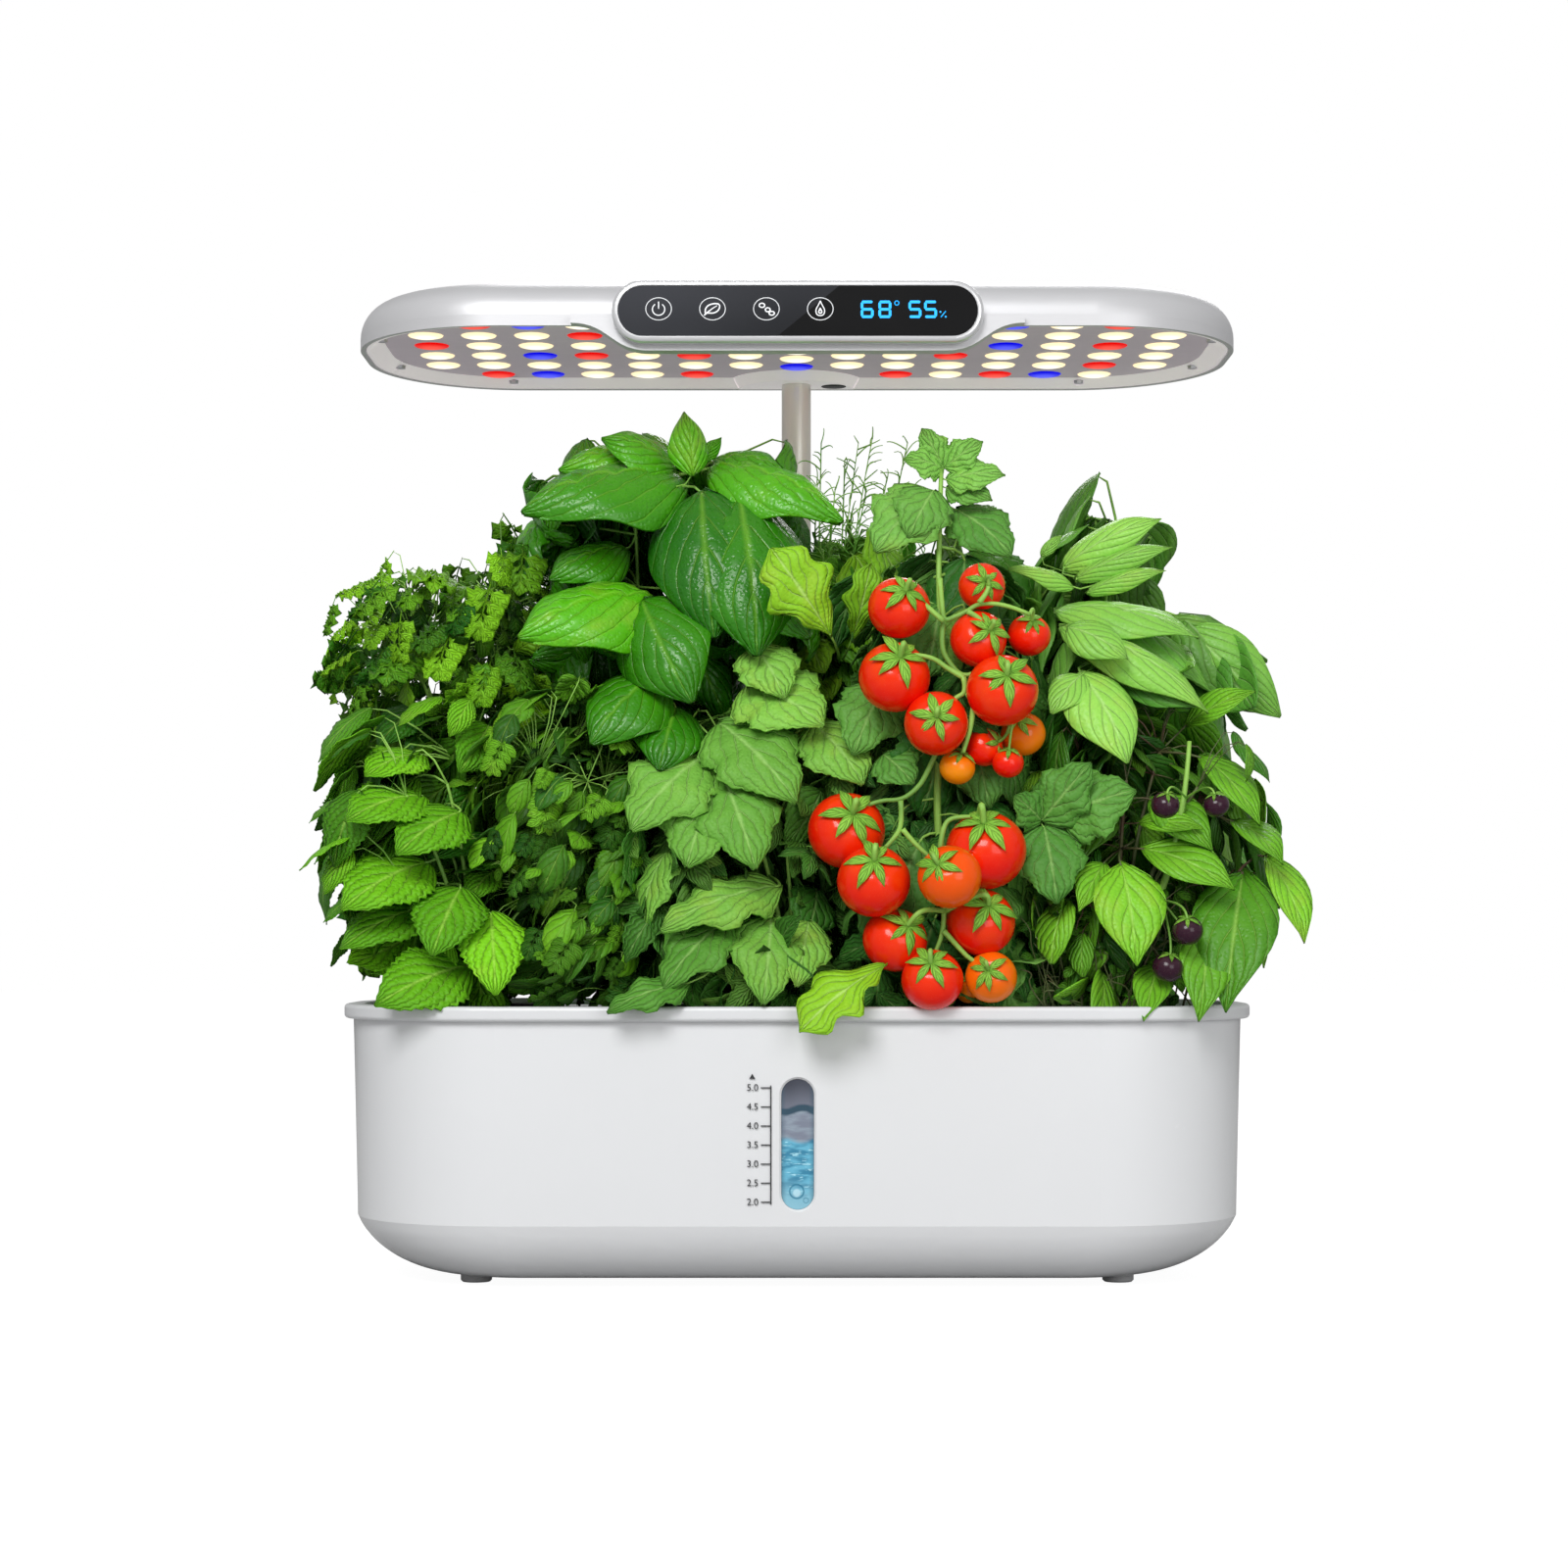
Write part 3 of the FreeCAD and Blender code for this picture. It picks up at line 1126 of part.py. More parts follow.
def outlet_nozzle():
    """Elbow on the outlet pipe that throws the water back along the tank."""
    pipe_x = PUMP_FRONT_X - VOLUTE_DEPTH / 2 - OUTLET_BORE_R / 2
    low = PUMP_BASE_Z + PUMP_HEIGHT + OUTLET_HEIGHT / 2
    seat = PUMP_BASE_Z + PUMP_HEIGHT + OUTLET_HEIGHT
    sleeve_r = OUTLET_R + NOZZLE_WALL
    high = seat + 2 * OUTLET_BORE_R + 2 * NOZZLE_WALL
    axis_z = seat + OUTLET_BORE_R + NOZZLE_WALL / 2
    elbow = cylinder(sleeve_r, pipe_x, 0, low, high)
    elbow = elbow.fuse(cylinder_x(OUTLET_BORE_R + NOZZLE_WALL / 2, 0, axis_z, pipe_x - NOZZLE_REACH, pipe_x))
    elbow = elbow.cut(cylinder(OUTLET_R + NOZZLE_FIT, pipe_x, 0, low, seat))
    elbow = elbow.cut(cylinder(OUTLET_BORE_R, pipe_x, 0, seat, high - NOZZLE_WALL))
    bore_r = OUTLET_BORE_R - NOZZLE_WALL / 2
    return elbow.cut(cylinder_x(bore_r, 0, axis_z, pipe_x - NOZZLE_REACH, pipe_x)).removeSplitter()


# Level sensor


def sensor_rod():
    """Guide rod under the deck with its nut and the collar that stops the float."""
    low = SENSOR_BOTTOM_Z
    stop = low + SENSOR_CLIP_HEIGHT + FLOAT_HEIGHT + FLOAT_TRAVEL
    rod = cylinder(SENSOR_ROD_R, SENSOR_X, 0, low, DECK_BOTTOM_Z)
    nut = cylinder(SENSOR_NUT_R, SENSOR_X, 0, DECK_BOTTOM_Z - SENSOR_NUT_HEIGHT, DECK_BOTTOM_Z)
    collar = cylinder(SENSOR_CLIP_R, SENSOR_X, 0, stop + FLOAT_FIT, stop + SENSOR_CLIP_HEIGHT)
    return rod.fuse(nut).fuse(collar).removeSplitter()


def sensor_clip():
    """Clip at the rod's lower end that the float comes down on."""
    low = SENSOR_BOTTOM_Z
    clip = cylinder(SENSOR_CLIP_R, SENSOR_X, 0, low, low + SENSOR_CLIP_HEIGHT)
    return clip.cut(cylinder(SENSOR_ROD_R, SENSOR_X, 0, low, low + SENSOR_CLIP_HEIGHT))


def level_float():
    """Ring float with a magnet inside, free to rise and fall on the rod."""
    low = SENSOR_BOTTOM_Z + SENSOR_CLIP_HEIGHT
    solid = cylinder(FLOAT_R, SENSOR_X, 0, low, low + FLOAT_HEIGHT)
    return solid.cut(cylinder(SENSOR_ROD_R + FLOAT_FIT, SENSOR_X, 0, low, low + FLOAT_HEIGHT))


# Plants


def cut_square(x_low, x_high, y_low, y_high, z):
    """Corners of a level rectangle with its own corners cut off."""
    cut = min(x_high - x_low, y_high - y_low) * LEAF_CORNER_SHARE
    return [
        Vector(x_low + cut, y_low, z),
        Vector(x_high - cut, y_low, z),
        Vector(x_high, y_low + cut, z),
        Vector(x_high, y_high - cut, z),
        Vector(x_high - cut, y_high, z),
        Vector(x_low + cut, y_high, z),
        Vector(x_low, y_high - cut, z),
        Vector(x_low, y_low + cut, z),
    ]


def plant(x, y, levels):
    """Plant as a stem on its sponge and one faceted mass as large as its leaves."""
    foot = sponge_top_z() + PLANT_GAP
    stem = (x - STEM_HALF, x + STEM_HALF, y - STEM_HALF, y + STEM_HALF)
    outlines = [cut_square(*stem, foot), cut_square(*stem, DECK_TOP_Z + STEM_RISE)]
    for rise, left, right, front, back in levels:
        front += ROWS_MIDDLE_Y
        back += ROWS_MIDDLE_Y
        outlines.append(cut_square(left, right, front, back, DECK_TOP_Z + rise))
    return facets(outlines)


def fruit(x, y, z, radius):
    """Faceted fruit, widest at its middle."""
    rings = []
    for share, rise in FRUIT_PROFILE:
        rings.append(ring(x, y, z + radius * rise, radius * share, FRUIT_SIDES))
    return facets(rings)


def bunch(sizes, leaves):
    """Fruits hung in front of the leaves, each moved back until it nearly touches what is behind."""
    placed = []
    for x, rise, radius in sizes:
        z = DECK_TOP_Z + rise
        y = leaves.BoundBox.YMin - radius - PLANT_GAP
        near = [leaves]
        for other, place, size in placed:
            aside = math.hypot(x - place.x, z - place.z)
            reach = radius + size + PLANT_GAP
            if aside < reach:
                near.append(other)
                y = min(y, place.y - math.sqrt(reach**2 - aside**2))
        hung = fruit(x, y, z, radius)
        for _ in range(FRUIT_STEPS):
            room = min(hung.distToShape(other)[0] for other in near) - PLANT_GAP
            if room < FRUIT_SETTLED:
                break
            hung.translate(Vector(0, room, 0))
            y += room
        placed.append((hung, Vector(x, y, z), radius))
    return [hung for hung, place, size in placed]


def make_tank():
    """Tank with its window and feet."""
    save("tank_shell", tank_shell())
    save("window_lens", window_lens())
    save("window_gasket", window_gasket())
    save("tank_feet", *[foot(x, y) for x, y in foot_places()])


def make_deck():
    """Deck, baskets, sponges and the fixed part of the mast."""
    save("deck_tray", deck_tray())
    for number, (x, y) in enumerate(site_places(), 1):
        save("basket_%02d" % number, basket(x, y))
    save("grow_sponges", *[sponge(x, y) for x, y in site_places()])
    save("mast_tube_outer", mast_tube_outer())
    save("mast_nut", mast_nut())
    save("mast_bush", mast_bush())


def save_on_mast(name, *solids):
    """Write a lamp node drawn about the hood's own middle, carried to its place on the mast."""
    placed = [solid.copy() for solid in solids]
    for solid in placed:
        solid.translate(Vector(0, MAST_Y - HOOD_MAST_Y, 0))
    save(name, *placed)


def make_lamp():
    """Sliding tube, hood, lights and control panel."""
    save("mast_tube_inner", mast_tube_inner())
    save("mast_slider", mast_slider())
    save_on_mast("lamp_hood", lamp_hood())
    save_on_mast("light_frame", light_frame())
    save_on_mast("light_board", light_board())
    for name, letter in (("leds_white", "W"), ("leds_red", "R"), ("leds_blue", "B")):
        lenses = [led_lens(x, y) for x, y, colour in led_places() if colour == letter]
        save_on_mast(name, *lenses)
    save_on_mast("lamp_screws", *[lamp_screw(x, y) for x, y in screw_places()])
    save_on_mast("mast_boss", mast_boss())
    save_on_mast("power_jack", power_jack())
    save_on_mast("panel_pod", panel_pod())
    save_on_mast("panel_glass", panel_glass())
    save_on_mast("touch_board", touch_board())
    save_on_mast("display_module", display_module())


def make_pump():
    """Circulation pump and the water-level sensor."""
    save("pump_housing", pump_housing())
    save("pump_shaft", pump_shaft())
    save("pump_rotor", pump_rotor())
    save("volute_cover", volute_cover())
    save("intake_cover", intake_cover())
    save("intake_filter", intake_filter())
    save("suction_cups", *suction_cups())
    save("outlet_nozzle", outlet_nozzle())
    save("sensor_rod", sensor_rod())
    save("sensor_clip", sensor_clip())
    save("level_float", level_float())


def make_plants():
    """One plant on each site, front row first, and the fruit that hangs in front."""
    kinds = (
        ("plant_mint", MINT_LEVELS),
        ("plant_thyme", THYME_LEVELS),
        ("plant_strawberry", STRAWBERRY_LEVELS),
        ("plant_tomato", TOMATO_PLANT_LEVELS),
        ("plant_pepper", PEPPER_PLANT_LEVELS),
        ("plant_parsley", PARSLEY_LEVELS),
        ("plant_basil", BASIL_LEVELS),
        ("plant_lettuce", LETTUCE_LEVELS),
        ("plant_rocket", ROCKET_LEVELS),
        ("plant_broad_basil", BROAD_BASIL_LEVELS),
    )
    plants = {}
    for (name, levels), (x, y) in zip(kinds, site_places()):
        plants[name] = plant(x, y, levels)
        save(name, plants[name])
    save("tomatoes", *bunch(TOMATOES, plants["plant_tomato"]))
    save("peppers", *bunch(PEPPERS, plants["plant_pepper"]))


os.makedirs("parts", exist_ok=True)
make_tank()
make_deck()
make_lamp()
make_pump()
make_plants()
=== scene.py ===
"""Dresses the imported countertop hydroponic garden: finishes, plants, fruit, lights, panel and scale."""

from __future__ import annotations

import logging
import math
import random
from collections.abc import Sequence
from dataclasses import dataclass, field, replace
from enum import Enum

import bmesh
import bpy
from mathutils import Matrix, Vector, noise


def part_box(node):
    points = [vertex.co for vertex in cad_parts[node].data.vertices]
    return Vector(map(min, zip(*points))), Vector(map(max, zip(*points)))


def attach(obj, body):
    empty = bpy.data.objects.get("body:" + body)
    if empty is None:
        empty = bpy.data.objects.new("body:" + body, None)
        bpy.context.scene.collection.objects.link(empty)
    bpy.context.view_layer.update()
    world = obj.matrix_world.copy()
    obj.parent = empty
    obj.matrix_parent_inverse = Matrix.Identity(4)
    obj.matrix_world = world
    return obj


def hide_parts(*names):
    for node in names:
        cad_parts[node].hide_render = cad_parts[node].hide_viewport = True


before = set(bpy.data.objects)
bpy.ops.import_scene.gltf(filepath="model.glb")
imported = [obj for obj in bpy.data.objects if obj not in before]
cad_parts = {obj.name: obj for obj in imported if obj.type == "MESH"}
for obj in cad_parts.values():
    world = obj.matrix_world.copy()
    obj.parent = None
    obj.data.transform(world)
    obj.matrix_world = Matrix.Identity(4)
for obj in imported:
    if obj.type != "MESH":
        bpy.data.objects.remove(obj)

LOG = logging.getLogger("garden")
MM = 0.001
Colour = tuple[float, float, float]
Point = tuple[float, float, float]


# Arithmetic on shader sockets


class Value:
    """A number that varies over a surface, so that Python arithmetic lays the Math nodes."""

    def __init__(self, paint: "Paint", socket: bpy.types.NodeSocket) -> None:
        """Wraps one output socket.

        Args:
            paint: The material whose nodes the arithmetic adds to.
            socket: The output socket that carries the number.
        """
        self.paint = paint
        self.socket = socket

    def math(self, operation: str, *others: "Value | float") -> "Value":
        """Adds one Math node that starts with this value.

        Args:
            operation: The Math node's operation.
            others: The further operands.

        Returns:
            The node's result.
        """
        inputs = dict(enumerate((self, *others)))
        return self.paint.value("ShaderNodeMath", {"operation": operation}, inputs)

    def swapped(self, operation: str, first: float) -> "Value":
        """Adds one Math node with a plain number in front of this value."""
        return self.paint.value("ShaderNodeMath", {"operation": operation}, {0: first, 1: self})

    def __add__(self, other: "Value | float") -> "Value":
        """Sum."""
        return self.math("ADD", other)

    def __radd__(self, other: float) -> "Value":
        """Sum with a number in front."""
        return self.math("ADD", other)

    def __sub__(self, other: "Value | float") -> "Value":
        """Difference."""
        return self.math("SUBTRACT", other)

    def __rsub__(self, other: float) -> "Value":
        """Difference from a number in front."""
        return self.swapped("SUBTRACT", other)

    def __mul__(self, other: "Value | float") -> "Value":
        """Product."""
        return self.math("MULTIPLY", other)

    def __rmul__(self, other: float) -> "Value":
        """Product with a number in front."""
        return self.math("MULTIPLY", other)

    def __truediv__(self, other: "Value | float") -> "Value":
        """Quotient."""
        return self.math("DIVIDE", other)

    def __abs__(self) -> "Value":
        """Size without its sign."""
        return self.math("ABSOLUTE")

    def __pow__(self, other: float) -> "Value":
        """Power."""
        return self.math("POWER", other)

    def step(self, low: float, high: float) -> "Value":
        """Rises smoothly from 0 at low to 1 at high.

        Args:
            low: Where the result leaves 0.
            high: Where the result reaches 1.

        Returns:
            The smooth step.
        """
        settings = {"interpolation_type": "SMOOTHSTEP"}
        return self.paint.value(
            "ShaderNodeMapRange", settings, {"Value": self, "From Min": low, "From Max": high}
        )


class Paint:
    """The node tree of one material while it is laid out."""

    def __init__(self, name: str, owner: bpy.types.World | None = None) -> None:
        """Starts an empty material.

        Args:
            name: The material's name.
            owner: The world whose nodes are laid instead of a new material's.
        """
        self.material = owner or bpy.data.materials.new(name)
        self.material.use_nodes = True
        self.tree = self.material.node_tree
        self.tree.nodes.clear()

    def node(
        self, kind: str, settings: dict[str, object], inputs: dict[str | int, object]
    ) -> bpy.types.Node:
        """Adds one node of any kind.

        Args:
            kind: The node's type.
            settings: The node's own settings, which are set first; "stops" holds a ramp's places and colours.
            inputs: The values or links of its sockets, by name or number.

        Returns:
            The node.
        """
        node = self.tree.nodes.new(kind)
        for name, value in settings.items():
            if name == "stops":
                self.stops(node.color_ramp, value)
            else:
                setattr(node, name, value)
        for key, value in inputs.items():
            socket = value.socket if isinstance(value, Value) else value
            if isinstance(socket, bpy.types.NodeSocket):
                self.tree.links.new(socket, node.inputs[key])
            else:
                node.inputs[key].default_value = socket
        return node

    @staticmethod
    def stops(ramp: bpy.types.ColorRamp, stops: Sequence[tuple[float, Colour]]) -> None:
        """Sets a ramp's places and colours.

        Args:
            ramp: The ramp.
            stops: Its places, each with a colour.
        """
        while len(ramp.elements) < len(stops):
            ramp.elements.new(0.5)
        for element, (place, colour) in zip(ramp.elements, stops):
            element.position = place
            element.color = (*colour, 1.0)

    def value(
        self, kind: str, settings: dict[str, object], inputs: dict[str | int, object], output: str | int = 0
    ) -> Value:
        """Adds a node and gives one of its outputs as a number."""
        return Value(self, self.node(kind, settings, inputs).outputs[output])

    def place(self) -> bpy.types.NodeSocket:
        """Gives the object's own coordinates, in metres."""
        return self.node("ShaderNodeTexCoord", {}, {}).outputs["Object"]

    def stretched(self, vector: bpy.types.NodeSocket, scale: Point) -> bpy.types.NodeSocket:
        """Scales a pattern's coordinates by a different amount along each axis."""
        return self.node("ShaderNodeMapping", {}, {"Vector": vector, "Scale": scale}).outputs[0]

    def parts(self, vector: bpy.types.NodeSocket) -> tuple[Value, Value, Value]:
        """Splits coordinates into numbers."""
        node = self.node("ShaderNodeSeparateXYZ", {}, {0: vector})
        return Value(self, node.outputs[0]), Value(self, node.outputs[1]), Value(self, node.outputs[2])

    def along(self, layer: str) -> tuple[Value, Value]:
        """Gives the two numbers that a piece's own UV map holds."""
        u, v, _ = self.parts(self.node("ShaderNodeUVMap", {"uv_map": layer}, {}).outputs[0])
        return u, v

    def noise(self, scale: float, detail: float = 3.0, vector: bpy.types.NodeSocket | None = None) -> Value:
        """Adds a cloudy noise from 0 to 1.

        Args:
            scale: Waves to the metre, or to the unit of the vector.
            detail: How many finer octaves it has.
            vector: The coordinates; the object's own when left out.

        Returns:
            The noise.
        """
        place = self.place() if vector is None else vector
        return self.value("ShaderNodeTexNoise", {}, {"Vector": place, "Scale": scale, "Detail": detail})

    def cells(self, scale: float, feature: str = "F1", vector: bpy.types.NodeSocket | None = None) -> Value:
        """Adds a cell pattern: the distance to the nearest cell's middle or edge."""
        place = self.place() if vector is None else vector
        return self.value(
            "ShaderNodeTexVoronoi", {"feature": feature}, {"Vector": place, "Scale": scale}, "Distance"
        )

    def mix(
        self, factor: Value | float, first: object, second: object, blend: str = "MIX"
    ) -> bpy.types.NodeSocket:
        """Mixes two colours.

        Args:
            factor: How much of the second colour shows.
            first: A colour or a colour socket.
            second: A colour or a colour socket.
            blend: The kind of mix.

        Returns:
            The mixed colour.
        """
        first, second = ((*c, 1.0) if isinstance(c, tuple) else c for c in (first, second))
        settings = {"data_type": "RGBA", "blend_type": blend}
        return self.node("ShaderNodeMix", settings, {0: factor, 6: first, 7: second}).outputs[2]

    def bump(self, height: Value, distance: float, strength: float = 1.0) -> bpy.types.NodeSocket:
        """Turns a height into a normal; distance is how many metres a height of 1 stands for."""
        return self.node(
            "ShaderNodeBump", {}, {"Height": height, "Distance": distance, "Strength": strength}
        ).outputs[0]

    def done(self, **inputs: object) -> bpy.types.Material:
        """Closes the material with its surface shader.

        Args:
            inputs: The shader's sockets, with underscores for the spaces in their names.

        Returns:
            The material.
        """
        sockets = {}
        for name, value in inputs.items():
            sockets[
                name.replace("_", " ")
            ] = (*value, 1.0) if isinstance(value, tuple) and len(value) == 3 else value
        surface = self.node("ShaderNodeBsdfPrincipled", {}, sockets)
        self.node("ShaderNodeOutputMaterial", {}, {"Surface": surface.outputs[0]})
        return self.material


# Finishes


@dataclass(frozen=True)
class Moulding:
    """Injection-moulded plastic or rubber: an even colour with fine grain and faint handling marks, with
    optional painted light as emission.
    """

    name: str
    colour: Colour
    rough: float = 0.35
    coat: float = 0.0
    grain: float = 4000.0
    depth: float = 0.00002
    drift: float = 0.04
    # Strength of a painted light: emission that stands in for lamp light falling on the part.
    painted_glow: float = 0.0

    def material(self) -> bpy.types.Material:
        """Lays the finish."""
        paint = Paint(self.name)
        cloud = paint.noise(14.0, 2.0)
        grain = paint.noise(self.grain, 2.0)
        rub = paint.noise(90.0, 4.0).step(0.55, 0.8)
        low = tuple(c * (1.0 - self.drift) for c in self.colour)
        high = tuple(min(1.0, c * (1.0 + self.drift)) for c in self.colour)
        base = paint.mix(cloud, low, high)
        # The emission is painted light, not a lamp of the part's own.
        return paint.done(
            Base_Color=base,
            Roughness=self.rough + rub * 0.08 + grain * 0.05,
            Coat_Weight=self.coat,
            Coat_Roughness=0.08,
            Emission_Color=base,
            Emission_Strength=self.painted_glow,
            Normal=paint.bump(grain + cloud * 0.6, self.depth),
        )


@dataclass(frozen=True)
class SatinMetal:
    """Metal or metallic paint with fine brushing along one axis, and painted shade that can darken it above a
    height.
    """

    name: str
    colour: Colour
    rough: float = 0.3
    metallic: float = 1.0
    brushed: Point = (1.0, 1.0, 1.0)
    depth: float = 0.00002
    # Heights in mm above which painted shade darkens the colour.
    crown: tuple[float, float] = (900.0, 901.0)

    def material(self) -> bpy.types.Material:
        """Lays the finish, with painted shade that greys it above the crown's heights in mm."""
        paint = Paint(self.name)
        place = paint.place()
        lines = paint.noise(2200.0, 2.0, paint.stretched(place, self.brushed))
        cloud = paint.noise(12.0, 2.0)
        low = tuple(c * 0.93 for c in self.colour)
        body = paint.mix(lines * 0.6 + cloud * 0.4, low, self.colour)
        # Painted shade: above the crown's heights the colour is mixed up to 15 per cent towards black, a
        # darker top.
        top = (paint.parts(place)[2] / MM).step(*self.crown)
        return paint.done(
            Base_Color=paint.mix(top * 0.15, body, (0.0, 0.0, 0.0)),
            Metallic=self.metallic,
            Roughness=self.rough + lines * 0.12,
            Normal=paint.bump(lines, self.depth),
        )


@dataclass(frozen=True)
class Foam:
    """Open-cell foam: pores darkened by painted shade in a soft matt body."""

    name: str
    colour: Colour
    # The colour of the painted shade in the pores.
    pore_shade: Colour
    scale: float

    def material(self) -> bpy.types.Material:
        """Lays the finish."""
        paint = Paint(self.name)
        cell = paint.cells(self.scale)
        patch = paint.noise(160.0, 3.0)
        body = paint.mix(patch, self.colour, tuple(c * 0.7 for c in self.colour))
        # Painted shade: the hollows of the pores take the dark colour.
        return paint.done(
            Base_Color=paint.mix(cell.step(0.55, 0.2), body, self.pore_shade),
            Roughness=0.95,
            Normal=paint.bump(cell.step(0.15, 0.6) + patch * 0.4, 0.0006),
        )


@dataclass(frozen=True)
class CircuitBoard:
    """A printed board: solder mask over faint copper tracks, with a fine weave and optional painted light as
    emission.
    """

    name: str
    mask: Colour
    track: Colour
    pitch: float
    # Strength of a painted light: emission that stands in for the lenses' light falling on the board.
    painted_glow: float = 0.0

    def material(self) -> bpy.types.Material:
        """Lays the finish."""
        paint = Paint(self.name)
        x, y, _ = paint.parts(paint.place())
        rows = abs((y * self.pitch).math("FRACT") - 0.5)
        breaks = paint.noise(60.0, 1.0)
        tracks = rows.step(0.40, 0.46) * breaks.step(0.45, 0.55)
        weave = paint.noise(3000.0, 1.0)
        tint = paint.mix(paint.noise(25.0, 2.0), self.mask, tuple(c * 0.88 for c in self.mask))
        look = paint.mix(tracks * 0.6, tint, self.track)
        # The emission is painted light, not a lamp of the board's own.
        return paint.done(
            Base_Color=look,
            Emission_Color=look,
            Emission_Strength=self.painted_glow,
            Roughness=0.4 + weave * 0.1,
            Normal=paint.bump(tracks + weave * 0.3, 0.00004),
        )


@dataclass(frozen=True)
class GlowLens:
    """A light's lens: bright at its middle, coloured at its rim."""

    name: str
    core: Colour
    rim: Colour
    body: Colour
    strength: float

    def material(self) -> bpy.types.Material:
        """Lays the finish."""
        paint = Paint(self.name)
        radius, _ = paint.along("lens")
        edge = radius.step(0.25, 0.95)
        return paint.done(
            Base_Color=self.body,
            Roughness=0.35 + edge * 0.1,
            Specular_IOR_Level=0.15,
            Emission_Color=paint.mix(edge, self.core, self.rim),
            Emission_Strength=self.strength,
        )


@dataclass(frozen=True)
class Lit:
    """Print or a display segment that carries its own light."""

    name: str
    colour: Colour
    strength: float = 1.0

    def material(self) -> bpy.types.Material:
        """Lays the finish."""
        paint = Paint(self.name)
        cloud = paint.noise(900.0, 1.0)
        shade = tuple(c * 0.8 for c in self.colour)
        tint = paint.mix(cloud, shade, self.colour)
        return paint.done(
            Base_Color=tint, Roughness=0.4, Emission_Color=tint, Emission_Strength=self.strength
        )


@dataclass(frozen=True)
class PanelGlass:
    """Gloss black glass with a painted reflection: a slanting lighter grey half on its left."""

    name: str
    middle_x: float = 4.9
    middle_z: float = 423.25
    slant: float = 1.223

    def material(self) -> bpy.types.Material:
        """Lays the finish."""
        paint = Paint(self.name)
        x, _, z = paint.parts(paint.place())
        across = x / MM - (z / MM - self.middle_z) * self.slant - self.middle_x
        # Painted reflection: left of a slanting line the glass is lighter grey, most towards the left and the
        # top.
        painted_reflection = across.step(0.3, -0.3)
        fall = (x / MM).step(10.0, -70.0)
        rise = (z / MM).step(412.0, 434.0)
        grey = paint.mix(fall * 0.6 + rise * 0.4, (0.012, 0.013, 0.016), (0.042, 0.044, 0.052))
        smear = paint.noise(40.0, 3.0)
        return paint.done(
            Base_Color=paint.mix(painted_reflection, (0.0015, 0.0015, 0.002), grey),
            Roughness=0.12 + smear * 0.06,
            Specular_IOR_Level=0.35,
        )


@dataclass(frozen=True)
class WaterWindow:
    """The sight glass with the water behind it painted on: air in painted shade, a wavy water line, then
    bright rippled blue with painted highlights, all with a faint painted light of its own.
    """

    name: str
    line: float = 78.4
    bright: float = 66.5
    foot: float = 37.0
    bubble: tuple[float, float, float] = (-0.4, 44.1, 3.0)
    small: tuple[float, float, float] = (3.6, 40.2, 1.1)

    def ring(self, paint: Paint, x: Value, z: Value, round_: tuple[float, float, float]) -> Value:
        """Draws one bubble's dark rim.

        Args:
            paint: The material.
            x: Left to right, in mm.
            z: Height, in mm.
            round_: The bubble's middle and radius.

        Returns:
            1 on the rim, 0 elsewhere.
        """
        away = ((x - round_[0]) ** 2.0 + (z - round_[1]) ** 2.0) ** 0.5
        return abs(away - round_[2]).step(round_[2] * 0.22, 0.0)

    def material(self) -> bpy.types.Material:
        """Lays the finish."""
        paint = Paint(self.name)
        where = paint.place()
        x, _, z = paint.parts(where)
        x, z = x / MM, z / MM
        sway = (x * 0.42 + 0.6).math("SINE") * 0.9
        ripple = paint.noise(260.0, 3.0, paint.stretched(where, (0.45, 1.0, 1.6)))
        fine = paint.noise(620.0, 2.0, paint.stretched(where, (0.4, 1.0, 1.8)))
        # Painted shade: the air above the water is dark, as the inside of the closed tank is unlit.
        air = paint.mix((z - sway).step(93.0, self.line), (0.035, 0.04, 0.06), (0.15, 0.165, 0.215))
        band = paint.mix(ripple.step(0.35, 0.7), (0.19, 0.215, 0.28), (0.27, 0.33, 0.40))
        deep = paint.mix(ripple.step(0.38, 0.62), (0.035, 0.22, 0.36), (0.13, 0.45, 0.62))
        # Painted highlights: fine ripples in pale blue.
        deep = paint.mix(fine.step(0.58, 0.72), deep, (0.42, 0.76, 0.86))
        deep = paint.mix((z + sway).step(52.0, self.foot), deep, (0.24, 0.50, 0.62))
        water = paint.mix((z + sway + ripple * 3.0).step(self.bright + 2.5, self.bright), band, deep)
        look = paint.mix((z - sway).step(self.line, self.line - 0.3), air, water)
        surface = abs(z - sway - self.line - ripple * 1.8).step(2.2, 0.9)
        look = paint.mix(surface * 0.9, look, (0.006, 0.05, 0.085))
        rims = self.ring(paint, x, z, self.bubble).math("MAXIMUM", self.ring(paint, x, z, self.small))
        look = paint.mix(rims * 0.85, look, (0.01, 0.16, 0.27))
        # Painted highlight: a pale spot inside the large bubble.
        glint = ((x - self.bubble[0]) ** 2.0 + (z - self.bubble[1] + 0.6) ** 2.0) ** 0.5
        look = paint.mix(glint.step(2.1, 1.2) * 0.6, look, (0.60, 0.84, 0.92))
        # Painted shade: darker towards the left and right edges of the glass.
        look = paint.mix(abs(x).step(4.6, 7.2) * 0.5, look, (0.02, 0.07, 0.11))
        # The emission is painted light of the water, not a lamp.
        return paint.done(
            Base_Color=look,
            Roughness=0.07 + ripple * 0.03,
            Coat_Weight=0.6,
            Coat_Roughness=0.03,
            Emission_Color=look,
            Emission_Strength=0.12,
        )


